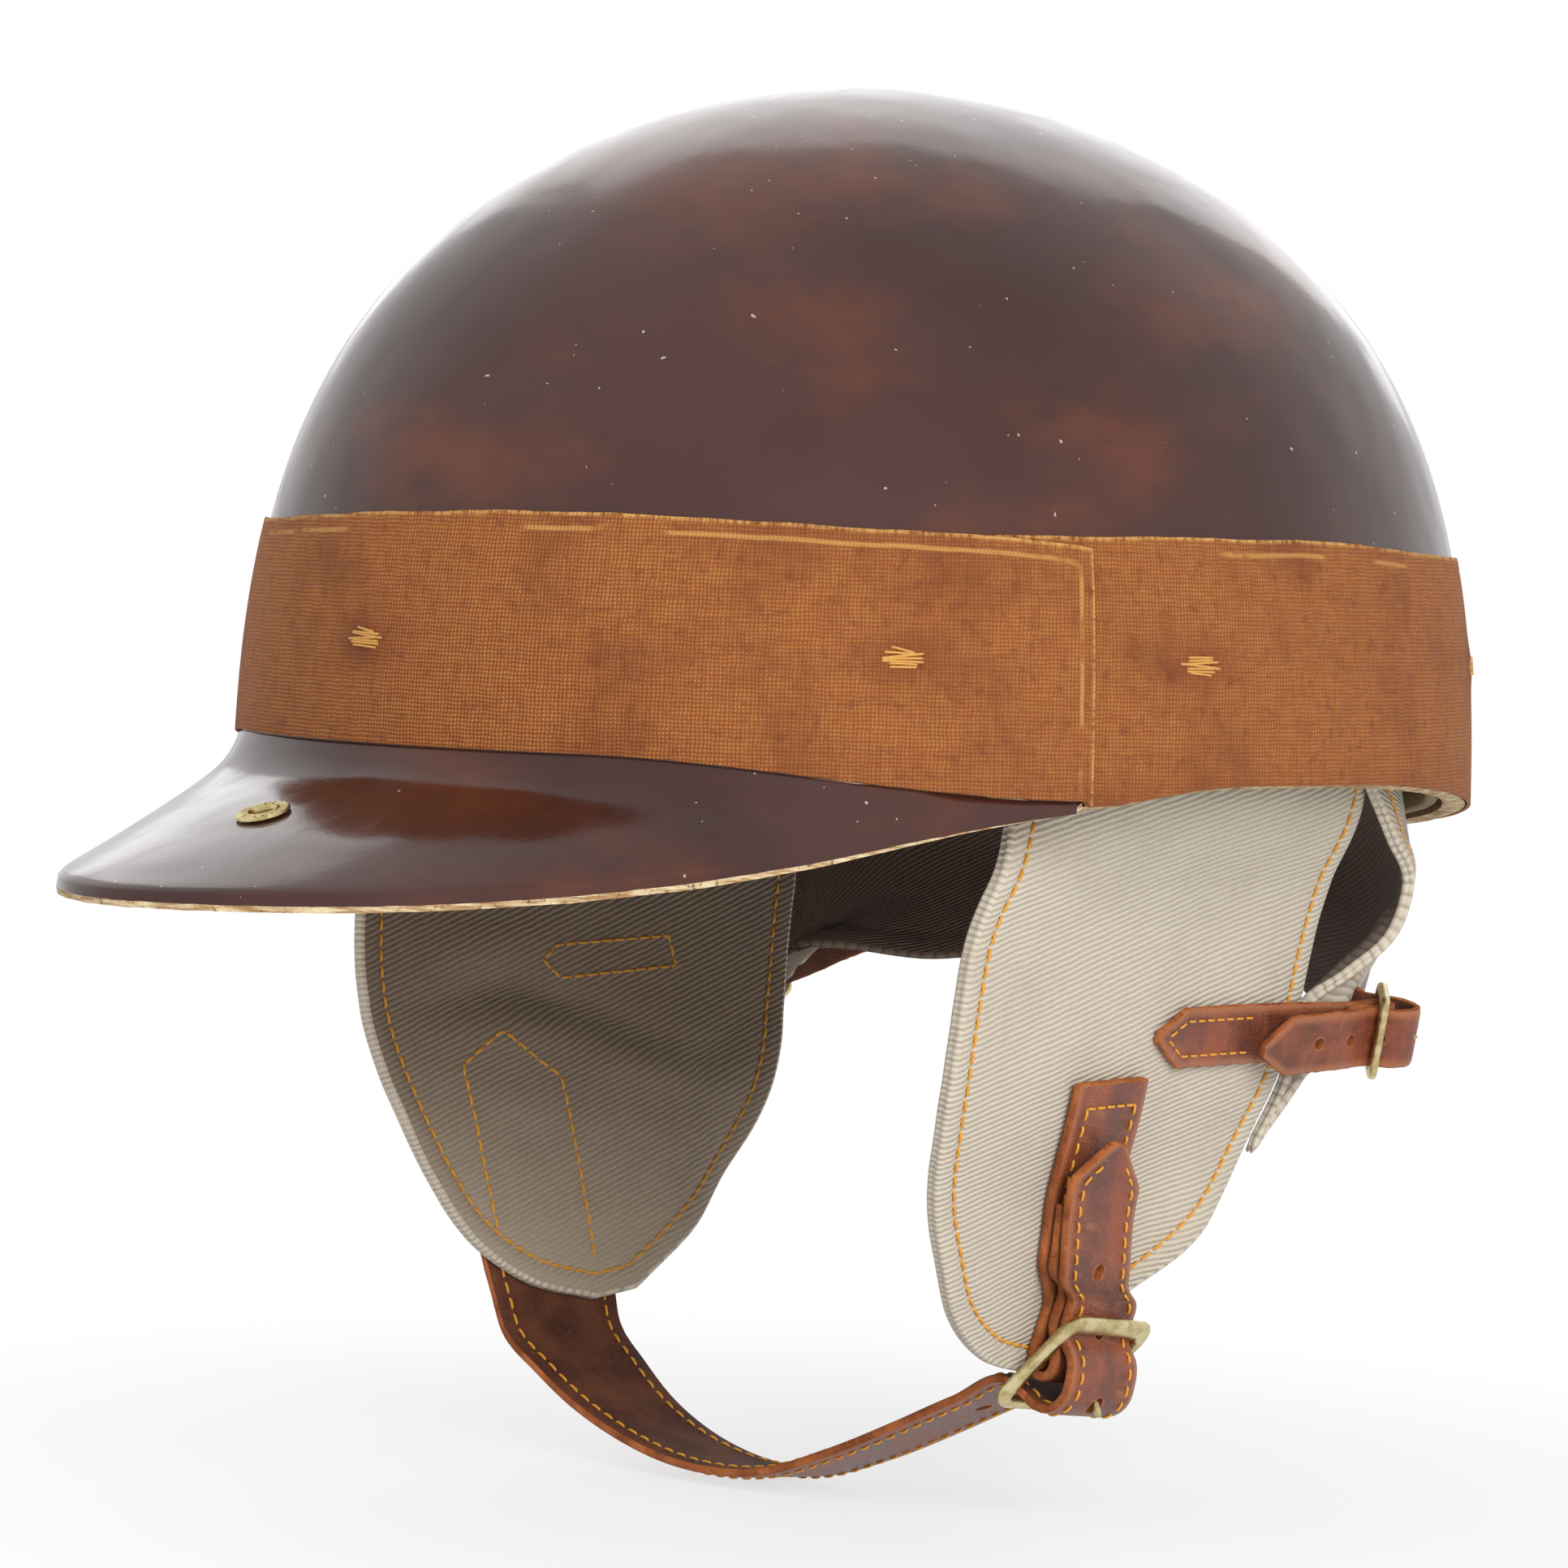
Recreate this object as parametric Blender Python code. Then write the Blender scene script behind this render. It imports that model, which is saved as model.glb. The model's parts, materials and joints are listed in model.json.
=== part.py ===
"""Half-shell racing helmet with a short peak, a linen band, canvas ear flaps, a canvas neck
curtain, a leather cradle and buckled leather straps.

Metres, +Z up. The helmet faces -Y and the wearer's left is +X. The origin is the middle of
the head opening, level with the shell's rim at the sides. Angles round the shell count from
the front, positive towards the wearer's left.
"""

import bisect
from math import acos, cos, exp, pi, radians, sin, sqrt, tan

import bmesh
import bpy
import numpy as np
from mathutils import Matrix, Vector

MM = 0.001
GAP = 0.3 * MM

# Shell
SHELL_HALF_WIDTH = 109.0 * MM
SHELL_HALF_LENGTH = 131.0 * MM
SHELL_HEIGHT = 131.0 * MM
SHELL_DROP = 24.6 * MM
SHELL_WALL = 4.5 * MM
SHELL_RISE_POWER = 3.14
SHELL_SPREAD_POWER = 1.88
RIM_DIP = 4.0 * MM
RIM_DIP_ANGLE = 68.0
RIM_DIP_SPREAD = 9.0
NAPE_DROP = 14.0 * MM
NAPE_START_ANGLE = 95.0
AROUND_STEP = 5
DOME_RINGS = 7

# Lining and linen band
LINING_THICKNESS = 3.0 * MM
LINING_HEIGHT = 34.0 * MM
LINING_REVEAL = 1.5 * MM
BAND_THICKNESS = 0.8 * MM
BAND_ROWS = 2
BAND_START_ANGLE = 60.0
BAND_END_ANGLE = 428.5
BAND_LAP_ANGLE = 413.0
BAND_TOP = [(60, 43.5), (78, 44.3), (96, 44.6), (118, 42.6), (180, 41.5), (250, 42.6), (337, 42.3)]
BAND_TOP += [(357, 43.8), (375, 45.1), (389, 45.0), (404, 44.3), (418, 43.3), (428.5, 41.8)]

# Peak
PEAK_REACH = 57.2 * MM
PEAK_HALF_ANGLE = 70.3
PEAK_END_ANGLE = 68.0
PEAK_END_REACH = 0.6 * MM
PEAK_SLOPE = 18.7
PEAK_SIDE_SLOPE = 21.7
PEAK_ROUND = 1.87
PEAK_TAPER = 1.66
PEAK_SPREAD = -0.18
PEAK_ROOT_HEIGHT = 2.5 * MM
PEAK_ROOT_SAG = 5.7 * MM
PEAK_SAG_ANGLE = 25.0
PEAK_ROOT_FALL = 5.1 * MM
PEAK_ROOT_LENGTH = 2.5 * MM
PEAK_THICKNESS = 3.3 * MM
PEAK_END_THICKNESS = 1.2 * MM
EYELET_REACH = 22.4 * MM
EYELET_RADIUS = 5.0 * MM
EYELET_BARREL = 2.9 * MM
EYELET_BORE = 2.1 * MM
EYELET_FLANGE = 0.7 * MM

# Headband and cradle
HEAD_HALF_WIDTH = 83.0 * MM
HEAD_HALF_LENGTH = 104.0 * MM
HEAD_SQUARENESS = 2.7
HEADBAND_THICKNESS = 2.0 * MM
HEADBAND_BOTTOM = 0.5 * MM
HEADBAND_HEIGHT = 34.0 * MM
ARM_ANGLES = [(0, 0), (52, 45), (79, 90), (130, 135), (180, 180), (-130, -135), (-79, -90), (-52, -45)]
ARM_WIDTH = 16.0 * MM
ARM_TIP_WIDTH = 8.0 * MM
ARM_THICKNESS = 1.5 * MM
ARM_HEM_HEIGHT = 27.0 * MM
ARM_TURN_HEIGHT = 15.5 * MM
ARM_PLAY = 0.5 * MM
CRADLE_HEIGHT = 104.0 * MM
CROWN_DISC_RADIUS = 24.0 * MM
CROWN_DISC_THICKNESS = 2.0 * MM
ANCHOR_HEIGHT = 21.5 * MM
ANCHOR_SHANK = 1.3 * MM
ANCHOR_KNOT = 3.2 * MM
ANCHOR_KNOT_THICKNESS = 1.2 * MM

# Ear flaps: two plies of twill hung from a hem that is sewn to the headband
CLOTH_THICKNESS = 3.0 * MM
HEM_BOTTOM = 1.4 * MM
HEM_HEIGHT = 10.0 * MM
FLAP_OUT = 80.0 * MM
FLAP_BACK = 5.0 * MM
FLAP_LEVEL = -5.0 * MM
FLAP_TURN = radians(8.0)
FLAP_SLANT = radians(12.0)
FLAP_SETTLE = 20.0 * MM
FLAP_CROWN = 2.0 * MM
FLAP_CROWN_END = 95.0 * MM
FLAP_CREASE = 1.0 * MM
FLAP_FLARE = 3.2 * MM
FLAP_LOW_FLARE = 5.0 * MM
FLAP_FRONT_EDGE = [(-49, -4.8), (-54.5, 6), (-60, 19), (-62.7, 36), (-61.5, 56), (-57, 72), (-49.5, 87)]
FLAP_FRONT_EDGE += [(-42.5, 97), (-29.5, 106), (-14, 110)]
FLAP_REAR_EDGE = [(52, -4.8), (51.3, 5), (50, 14), (47.4, 30), (44.8, 46), (41, 61), (33, 76)]
FLAP_REAR_EDGE += [(22.5, 87.5), (10, 98.5), (-4, 108.5)]
FLAP_ROWS = 16
FLAP_COLUMNS = 11

# Neck curtain
CURTAIN_THICKNESS = 2.5 * MM
CURTAIN_SWELL_LEVEL = -19.0 * MM
CURTAIN_SWELL = 11.0 * MM
CURTAIN_NARROW = 25.0 * MM
CURTAIN_BACK_HEIGHT = 38.0 * MM
CURTAIN_SIDE_HEIGHT = 44.0 * MM
CURTAIN_CREASE = 1.2 * MM
CURTAIN_STATIONS = [140.0, 160.0, 180.0]
CURTAIN_FRONT_EDGE = [(84, 54, -0.3), (80, 66, -12), (76.3, 76.5, -22), (75, 74, -31), (71.3, 65.5, -39)]
CURTAIN_FRONT_EDGE += [(67.3, 55.5, -46), (64.8, 52, -60), (62, 44, -73)]
CURTAIN_SIDE_LINE = [(76.5, 72, -12), (70.5, 83.5, -22), (68.8, 80, -29), (68, 74, -35), (67, 67, -40)]
CURTAIN_SIDE_LINE += [(66.5, 62, -43.5)]
CURTAIN_SIDE_ANGLE = 118.0
CURTAIN_ROWS = 8
CURTAIN_COLUMNS = 32

# Straps and buckles
STRAP_THICKNESS = 2.0 * MM
CHIN_WIDTH = 23.0 * MM
CHIN_SEWN_WIDTH = 30.0 * MM
CHIN_HOLE_PITCH = 14.5 * MM
CHIN_HOLE_RADIUS = 1.7 * MM
CHIN_BAR_RADIUS = 1.3 * MM
CHIN_PIN_RADIUS = 1.2 * MM
CHIN_HALF_LENGTH = 10.65 * MM
CHIN_BUCKLE_PLACE = (-6.4, 108.5)
CHIN_BUCKLE_SKEW = radians(8.0)
CHIN_ANCHOR_LINE = [(-15, 52), (-13.3, 66), (-11.8, 79), (-10.2, 89)]
CHIN_BACK_LINE = [(-10, 90), (-12, 77)]
CHIN_TAIL_LINE = [(-9.5, 91), (-12.5, 80), (-14.0, 71), (-14.2, 63)]
CHIN_SEWN_LINE = [(-32, 53), (-30.8, 61), (-28, 76), (-25, 91), (-21.8, 109.5)]
CHIN_ROUTE = [(-60.6, -19.5, -119), (-52.5, -18.8, -126), (-44, -18, -132), (-32, -16.5, -137.7)]
CHIN_ROUTE += [(-16, -15, -141.2), (0, -13, -140.6), (16, -10.5, -135), (31, -8, -128), (44, -6.3, -121.6)]

NAPE_THICKNESS = 1.7 * MM
NAPE_WIDTH = 11.5 * MM
NAPE_HOLE_PITCH = 9.5 * MM
NAPE_HOLE_RADIUS = 1.2 * MM
NAPE_BAR_RADIUS = 1.0 * MM
NAPE_PIN_RADIUS = 0.8 * MM
NAPE_HALF_LENGTH = 7.3 * MM
NAPE_BUCKLE_PLACES = {"left": (75.0, 70.0, -50.5), "right": (82.0, 52.6, -48.8)}
NAPE_SHIFTS = {"left": (0.0, 0.0), "right": (-18.0, -2.8)}
NAPE_WAYS = {"left": [(56, 89, -41.5)], "right": [(61, 88, -39), (73.5, 76.5, -43.5), (75.5, 66, -46.3)]}
NAPE_ANCHOR_LINE = [(-2, 44, 0), (6, 44.5, 0), (18, 44.5, 0), (30, 44.4, 0), (40, 44.2, 0.8), (48, 44, 2.4)]
NAPE_TAIL_LINE = [(47, 44.6, 2.6), (40, 45.2, 1.2), (33, 45.9, 0.2), (27, 46.6, 0)]
NAPE_ROOT_ROW = 6
NAPE_ROOT_COLUMNS = (13, 12, 11, 10)

LAYER_PLAY = 0.4 * MM
PRONG_ANGLE = -40.0
TIP_LENGTH = 8.0 * MM
SLOT_SIDE_ROOM = 0.7 * MM


def smooth_step(value):
    """0 below 0, 1 above 1 and an even curve between them."""
    share = min(max(value, 0.0), 1.0)
    return share * share * (3.0 - 2.0 * share)


def spline(points, count):
    """count points, evenly spaced, on a smooth curve through the given points."""
    knots = np.array(points, dtype=float)
    spans = np.linalg.norm(np.diff(knots, axis=0), axis=1)[:, None]
    slopes = np.diff(knots, axis=0) / spans
    inner = (slopes[:-1] * spans[1:] + slopes[1:] * spans[:-1]) / (spans[1:] + spans[:-1])
    tangents = np.vstack([slopes[:1], inner, slopes[-1:]])
    fine = []
    for k in range(len(spans)):
        for t in np.linspace(0, 1, 24, endpoint=False):
            start = knots[k] * (1 + 2 * t) * (1 - t) ** 2 + tangents[k] * spans[k] * t * (1 - t) ** 2
            end = knots[k + 1] * t**2 * (3 - 2 * t) + tangents[k + 1] * spans[k] * t**2 * (t - 1)
            fine.append(start + end)
    fine.append(knots[-1])
    return even(fine, count)


def even(points, count):
    """count points, evenly spaced by length, on a run of straight pieces."""
    points = np.array(points, dtype=float)
    steps = np.linalg.norm(np.diff(points, axis=0), axis=1)
    length = np.concatenate([[0], np.cumsum(steps)])
    places = np.linspace(0, length[-1], count)
    return np.stack([np.interp(places, length, points[:, k]) for k in range(points.shape[1])], axis=1)


def thin(points, longest, turn):
    """Drops points from a fine curve, keeping one for each stretch or turn of the given size."""
    points = np.array(points, dtype=float)
    kept = [0]
    for k in range(1, len(points) - 1):
        here = points[k + 1] - points[k]
        last = points[kept[-1] + 1] - points[kept[-1]]
        bend = acos(max(-1.0, min(1.0, float(here @ last / np.linalg.norm(here) / np.linalg.norm(last)))))
        if bend > turn or np.linalg.norm(points[k] - points[kept[-1]]) > longest:
            kept.append(k)
    return kept + [len(points) - 1]


def material(name, colour, roughness, metallic=0.0):
    """A plain finish in the part's colour."""
    finish = bpy.data.materials.new(name)
    finish.use_nodes = True
    shader = finish.node_tree.nodes["Principled BSDF"]
    shader.inputs["Base Color"].default_value = (*colour, 1.0)
    shader.inputs["Roughness"].default_value = roughness
    shader.inputs["Metallic"].default_value = metallic
    return finish


def finish_mesh(name, build, dress, smooth_angle=40.0):
    """Makes an object of a finished bmesh."""
    bmesh.ops.remove_doubles(build, verts=build.verts, dist=1e-6)
    loose = [v for v in build.verts if not v.link_faces]
    bmesh.ops.delete(build, geom=loose, context="VERTS")
    bmesh.ops.recalc_face_normals(build, faces=build.faces)
    mesh = bpy.data.meshes.new(name)
    build.to_mesh(mesh)
    build.free()
    mesh.shade_smooth()
    mesh.set_sharp_from_angle(angle=radians(smooth_angle))
    piece = bpy.data.objects.new(name, mesh)
    bpy.context.collection.objects.link(piece)
    if dress:
        mesh.materials.append(dress)
    return piece


def skin(name, outer, inner, dress, wrap=False, missing=()):
    """One closed solid between two grids of points, with walls round its edges and holes."""
    rows, columns = len(outer), len(outer[0])
    build = bmesh.new()
    top = [[build.verts.new(p) for p in row] for row in outer]
    low = [[build.verts.new(p) for p in row] for row in inner]
    last = rows if wrap else rows - 1
    cells = {(i, j) for i in range(last) for j in range(columns - 1)} - set(missing)
    for i, j in sorted(cells):
        k = (i + 1) % rows
        build.faces.new((top[i][j], top[k][j], top[k][j + 1], top[i][j + 1]))
        build.faces.new((low[i][j], low[i][j + 1], low[k][j + 1], low[k][j]))
        before = ((i - 1) % rows if wrap else i - 1, j)
        after = ((i + 1) % rows if wrap else i + 1, j)
        sides = [(before, (i, j), (i, j + 1)), (after, (k, j + 1), (k, j))]
        sides += [((i, j - 1), (k, j), (i, j)), ((i, j + 1), (i, j + 1), (k, j + 1))]
        for neighbour, a, b in sides:
            if neighbour not in cells:
                build.faces.new((top[a[0]][a[1]], top[b[0]][b[1]], low[b[0]][b[1]], low[a[0]][a[1]]))
    return finish_mesh(name, build, dress)


def faces_of(middle, thickness):
    """The two faces of a sheet whose middle surface is a grid of points."""
    grid = np.array(middle, dtype=float)
    across = np.cross(np.gradient(grid, axis=0), np.gradient(grid, axis=1))
    across /= np.linalg.norm(across, axis=2, keepdims=True)
    return grid + across * thickness / 2, grid - across * thickness / 2


def sheet(name, middle, thickness, dress, missing=()):
    """A cloth or leather sheet of even thickness about a grid of points."""
    outer, inner = faces_of(middle, thickness)
    return skin(name, outer, inner, dress, missing=missing)


def tube(name, points, radius, plane, dress=None, closed=False, sides=8):
    """A round bar along a flat route; plane is the direction square to the route's plane."""
    points = [Vector(p) for p in points]
    count = len(points)
    build = bmesh.new()
    rings = []
    for k, point in enumerate(points):
        before = points[k - 1] if k or closed else point
        after = points[(k + 1) % count] if k < count - 1 or closed else point
        aside = plane.cross(after - before).normalized()
        turns = [2 * pi * (n + 0.5) / sides for n in range(sides)]
        rings.append([build.verts.new(point + radius * (cos(a) * aside + sin(a) * plane)) for a in turns])
    for k in range(count if closed else count - 1):
        here, there = rings[k], rings[(k + 1) % count]
        for n in range(sides):
            m = (n + 1) % sides
            build.faces.new((here[n], here[m], there[m], there[n]))
    if not closed:
        build.faces.new(rings[0])
        build.faces.new(rings[-1])
    return finish_mesh(name, build, dress)


def turned(name, profiles, dress, segments=20):
    """Solids turned about their own axes: a list of (outline, place, axis), radius then height."""
    build = bmesh.new()
    for outline, place, axis in profiles:
        turn = Vector((0, 0, 1)).rotation_difference(axis).to_matrix()
        rings = []
        for radius, height in outline:
            ring = []
            for n in range(segments):
                angle = 2 * pi * n / segments
                ring.append(build.verts.new(place + turn @ Vector((radius * cos(angle), radius * sin(angle), height))))
            rings.append(ring)
        closed = outline[0][0] > 0
        for k in range(len(rings) if closed else len(rings) - 1):
            here, there = rings[k], rings[(k + 1) % len(rings)]
            for n in range(segments):
                m = (n + 1) % segments
                build.faces.new((here[n], here[m], there[m], there[n]))
    return finish_mesh(name, build, dress)


def cutter(name, rods):
    """One hidden cutter made of round rods, each a start, an end and a radius."""
    profiles = []
    for start, end, radius in rods:
        length = (end - start).length
        profiles.append(([(0, 0), (radius, 0), (radius, length), (0, length)], start, (end - start).normalized()))
    tool = turned(name, profiles, None, segments=10)
    tool.hide_render = True
    tool.display_type = "WIRE"
    return tool


def combine(piece, tool, operation):
    """Cuts a hidden tool out of a piece, or joins it on."""
    boolean = piece.modifiers.new(operation.lower(), "BOOLEAN")
    boolean.object = tool
    boolean.operation = operation
    boolean.solver = "EXACT"


def hang(piece, pivot, parent=None):
    """Puts a piece's origin on the axis that it turns about, and the piece under its parent."""
    piece.data.transform(Matrix.Translation(-pivot))
    piece.location = pivot
    if parent:
        piece.parent = parent
        piece.matrix_parent_inverse = Matrix.Translation(-parent.location)


def pivot_empty(name, place, parent=None):
    """A named point that moving pieces hang from."""
    point = bpy.data.objects.new(name, None)
    point.location = place
    point.empty_display_size = 10 * MM
    bpy.context.collection.objects.link(point)
    if parent:
        point.parent = parent
        point.matrix_parent_inverse = Matrix.Translation(-parent.location)
    return point


# Shell shape

def rim_height(angle):
    """Height of the shell's rim: a small dip behind the peak's ends and a drop at the nape."""
    off = abs((angle + 180.0) % 360.0 - 180.0)
    dip = RIM_DIP * exp(-((off - RIM_DIP_ANGLE) / RIM_DIP_SPREAD) ** 2)
    back = max(0.0, (off - NAPE_START_ANGLE) / (180.0 - NAPE_START_ANGLE))
    return -dip - NAPE_DROP * sin(pi / 2 * back) ** 2


def shell_point(angle, height, inset=0.0):
    """A point on the shell's outer face, or on a like face the given inset inside it."""
    reach = SHELL_HEIGHT + SHELL_DROP - inset
    share = min(max((height + SHELL_DROP) / reach, 0.0), 1.0)
    spread = (1.0 - share**SHELL_RISE_POWER) ** (1.0 / SHELL_SPREAD_POWER)
    wide = (SHELL_HALF_WIDTH - inset) * spread
    long = (SHELL_HALF_LENGTH - inset) * spread
    return Vector((wide * sin(radians(angle)), -long * cos(radians(angle)), height))


def shell_column(angle, inset, band_top):
    """Points up one side of the dome, from the rim to the crown."""
    low = rim_height(angle)
    column = [shell_point(angle, low + (band_top - low) * k / BAND_ROWS, inset) for k in range(BAND_ROWS)]
    reach = SHELL_HEIGHT + SHELL_DROP - inset
    start = np.arcsin(((band_top + SHELL_DROP) / reach) ** (SHELL_RISE_POWER / 2))
    for k in range(DOME_RINGS + 1):
        lean = start + (pi / 2 - start) * k / DOME_RINGS
        column.append(shell_point(angle, reach * sin(lean) ** (2 / SHELL_RISE_POWER) - SHELL_DROP, inset))
    return column


def make_shell(dress):
    """The moulded half shell, open below."""
    angles = range(0, 360, AROUND_STEP)
    top = BAND_TOP[0][1] * MM
    outer = [shell_column(a, 0.0, top) for a in angles]
    inner = [shell_column(a, SHELL_WALL, top) for a in angles]
    return skin("shell", outer, inner, dress, wrap=True)


def make_lining(dress):
    """The felt strip glued round the inside of the rim."""
    inset = SHELL_WALL + 2 * GAP
    outer, inner = [], []
    for angle in range(0, 360, AROUND_STEP):
        low = rim_height(angle) + LINING_REVEAL
        heights = np.linspace(low, LINING_HEIGHT, 4)
        outer.append([shell_point(angle, h, inset) for h in heights])
        inner.append([shell_point(angle, h, inset + LINING_THICKNESS) for h in heights])
    return skin("rim_lining", outer, inner, dress, wrap=True)


def make_band(dress):
    """The linen band: one strip round the shell, its end lapped over its start."""
    corners = [BAND_START_ANGLE, PEAK_END_ANGLE, PEAK_END_ANGLE + 0.4, BAND_LAP_ANGLE, BAND_END_ANGLE]
    corners += [360 - PEAK_END_ANGLE - 0.4, 360 - PEAK_END_ANGLE, 360 + PEAK_END_ANGLE]
    angles = set(range(int(BAND_START_ANGLE), int(BAND_END_ANGLE), AROUND_STEP)) | set(corners)
    stations, levels = zip(*BAND_TOP)
    lap = BAND_THICKNESS + GAP
    outer, inner = [], []
    for angle in sorted(angles):
        off = abs((angle + 180.0) % 360.0 - 180.0)
        over = smooth_step((angle - BAND_LAP_ANGLE) / (360 + BAND_START_ANGLE - 2 - BAND_LAP_ANGLE))
        lift = GAP + lap * over
        bottom = rim_height(angle)
        if off <= PEAK_END_ANGLE:
            bottom = peak_root(off) + GAP
        top = float(np.interp(angle, stations, levels)) * MM
        heights = np.linspace(bottom, top, BAND_ROWS + 1)
        outer.append([shell_point(angle, h, -lift - BAND_THICKNESS) for h in heights])
        inner.append([shell_point(angle, h, -lift) for h in heights])
    return skin("linen_band", outer, inner, dress)


# Peak

def peak_root(angle):
    """Height of the line where the peak's upper face leaves the shell."""
    share = (abs(angle) - PEAK_SAG_ANGLE) / (PEAK_END_ANGLE - PEAK_SAG_ANGLE)
    return PEAK_ROOT_HEIGHT - PEAK_ROOT_SAG * smooth_step(share)


def peak_reach(angle):
    """How far the peak stands out at one angle."""
    return PEAK_END_REACH + PEAK_REACH * (1 - abs(angle / PEAK_HALF_ANGLE) ** PEAK_ROUND) ** PEAK_TAPER


def peak_point(angle, reach, drop=0.0):
    """A point on the peak's upper face, reach away from the shell, or drop below that face."""
    turn = radians(angle)
    root = shell_point(angle, peak_root(angle), -GAP)
    out = Vector((SHELL_HALF_LENGTH * sin(turn), -SHELL_HALF_WIDTH * cos(turn), 0)).normalized()
    way = (PEAK_SPREAD * out + (1 - PEAK_SPREAD) * Vector((0, -1, 0))).normalized()
    slope = radians(PEAK_SLOPE + PEAK_SIDE_SLOPE * sin(turn) ** 2)
    curl = max(peak_root(angle) - PEAK_ROOT_HEIGHT + PEAK_ROOT_FALL, 0.0)
    fall = curl * (1 - exp(-reach / PEAK_ROOT_LENGTH)) + reach * tan(slope)
    return root + way * reach - Vector((0, 0, fall + drop))


def make_peak(dress):
    """The peak, moulded in one with a short root that is glued to the shell."""
    edge = PEAK_END_ANGLE
    angles = sorted({-edge, edge} | {a for a in range(-65, 66, AROUND_STEP)})
    shares = [0, 0.025, 0.06, 0.11, 0.19, 0.4, 0.7, 1.0]
    upper, lower = [], []
    for angle in angles:
        thin_down = smooth_step((abs(angle) - 45) / (edge - 45))
        thickness = PEAK_THICKNESS + (PEAK_END_THICKNESS - PEAK_THICKNESS) * thin_down
        upper.append([peak_point(angle, peak_reach(angle) * s) for s in shares])
        lower.append([peak_point(angle, peak_reach(angle) * s, thickness) for s in shares])
    return skin("peak", upper, lower, dress)


def make_eyelet(dress, peak):
    """The brass eyelet clenched through the middle of the peak."""
    top = peak_point(0, EYELET_REACH)
    step = peak_point(0, EYELET_REACH + MM) - top
    axis = Vector((1, 0, 0)).cross(step).normalized()
    axis = axis if axis.z > 0 else -axis
    depth = PEAK_THICKNESS + GAP
    outline = [(EYELET_BORE, EYELET_FLANGE + GAP), (EYELET_RADIUS, EYELET_FLANGE + GAP), (EYELET_RADIUS, GAP)]
    outline += [(EYELET_BARREL, GAP), (EYELET_BARREL, -depth), (EYELET_RADIUS, -depth)]
    outline += [(EYELET_RADIUS, -depth - EYELET_FLANGE), (EYELET_BORE, -depth - EYELET_FLANGE)]
    bore = cutter("eyelet_bore", [(top + axis * 10 * MM, top - axis * 10 * MM, EYELET_BARREL + GAP)])
    combine(peak, bore, "DIFFERENCE")
    return turned("peak_eyelet", [(outline, top, axis)], dress, segments=18)


# Headband and cradle

def head_width(back, offset=0.0):
    """Half width of the headband's outer face, or of a face the given offset outside it."""
    share = min(abs(back) / (HEAD_HALF_LENGTH + offset), 1.0)
    return (HEAD_HALF_WIDTH + offset) * (1 - share**HEAD_SQUARENESS) ** (1 / HEAD_SQUARENESS)


def head_point(angle, height, offset=0.0):
    """A point on the headband's outer face, or the given offset outside it."""
    turn = radians(angle)
    power = 2 / HEAD_SQUARENESS
    wide = (HEAD_HALF_WIDTH + offset) * abs(sin(turn)) ** power
    long = (HEAD_HALF_LENGTH + offset) * abs(cos(turn)) ** power
    return Vector((wide * (1 if sin(turn) >= 0 else -1), -long * (1 if cos(turn) >= 0 else -1), height))


def make_headband(dress):
    """The leather sweatband."""
    outer, inner = [], []
    for angle in range(0, 360, AROUND_STEP):
        heights = (HEADBAND_BOTTOM, HEADBAND_BOTTOM + HEADBAND_HEIGHT)
        outer.append([head_point(angle, h) for h in heights])
        inner.append([head_point(angle, h, -HEADBAND_THICKNESS) for h in heights])
    return skin("headband", outer, inner, dress, wrap=True)


def arm_route(angle, crown_angle):
    """The middle line of one cradle arm: down the lining, across to the headband and up to the crown."""
    half = ARM_THICKNESS / 2
    wall = SHELL_WALL + LINING_THICKNESS + 3 * GAP + ARM_PLAY + half
    hem = [shell_point(angle, h, wall) for h in np.linspace(ARM_HEM_HEIGHT, ARM_TURN_HEIGHT, 3)]
    inner = head_point(angle, ARM_TURN_HEIGHT, GAP + half)
    middle, reach = (hem[-1] + inner) / 2, (inner - hem[-1]) / 2
    turn = [middle - reach * cos(a) - Vector((0, 0, reach.length * 0.45 * sin(a))) for a in np.linspace(0, pi, 7)[1:]]
    top = HEADBAND_BOTTOM + HEADBAND_HEIGHT
    rise = [head_point(angle, h, GAP + half) for h in np.linspace(ARM_TURN_HEIGHT, top, 5)[1:-1]]
    for share in np.linspace(0, 1, 9):
        height = top + (CRADLE_HEIGHT - top) * share
        lean = crown_angle * share + angle * (1 - share)
        spread = sqrt(max(0.0, 1 - share**2.4 * 0.96))
        point = head_point(lean, height, GAP + half)
        rise.append(Vector((point.x * spread, point.y * spread, height)))
    return [tuple(p) for p in hem + turn + rise]


def arm_cross(angle, crown_angle, share):
    """The direction across an arm: along the shell, then along the headband, then along the crown."""
    shell = shell_point(angle + 1, ARM_HEM_HEIGHT) - shell_point(angle - 1, ARM_HEM_HEIGHT)
    head = head_point(angle + 1, 0) - head_point(angle - 1, 0)
    crown = Vector((cos(radians(crown_angle)), sin(radians(crown_angle)), 0))
    cross = shell.normalized().lerp(head.normalized(), smooth_step((share - 0.05) / 0.1))
    return np.array(cross.lerp(crown, smooth_step((share - 0.3) / 0.6)).normalized())


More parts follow.
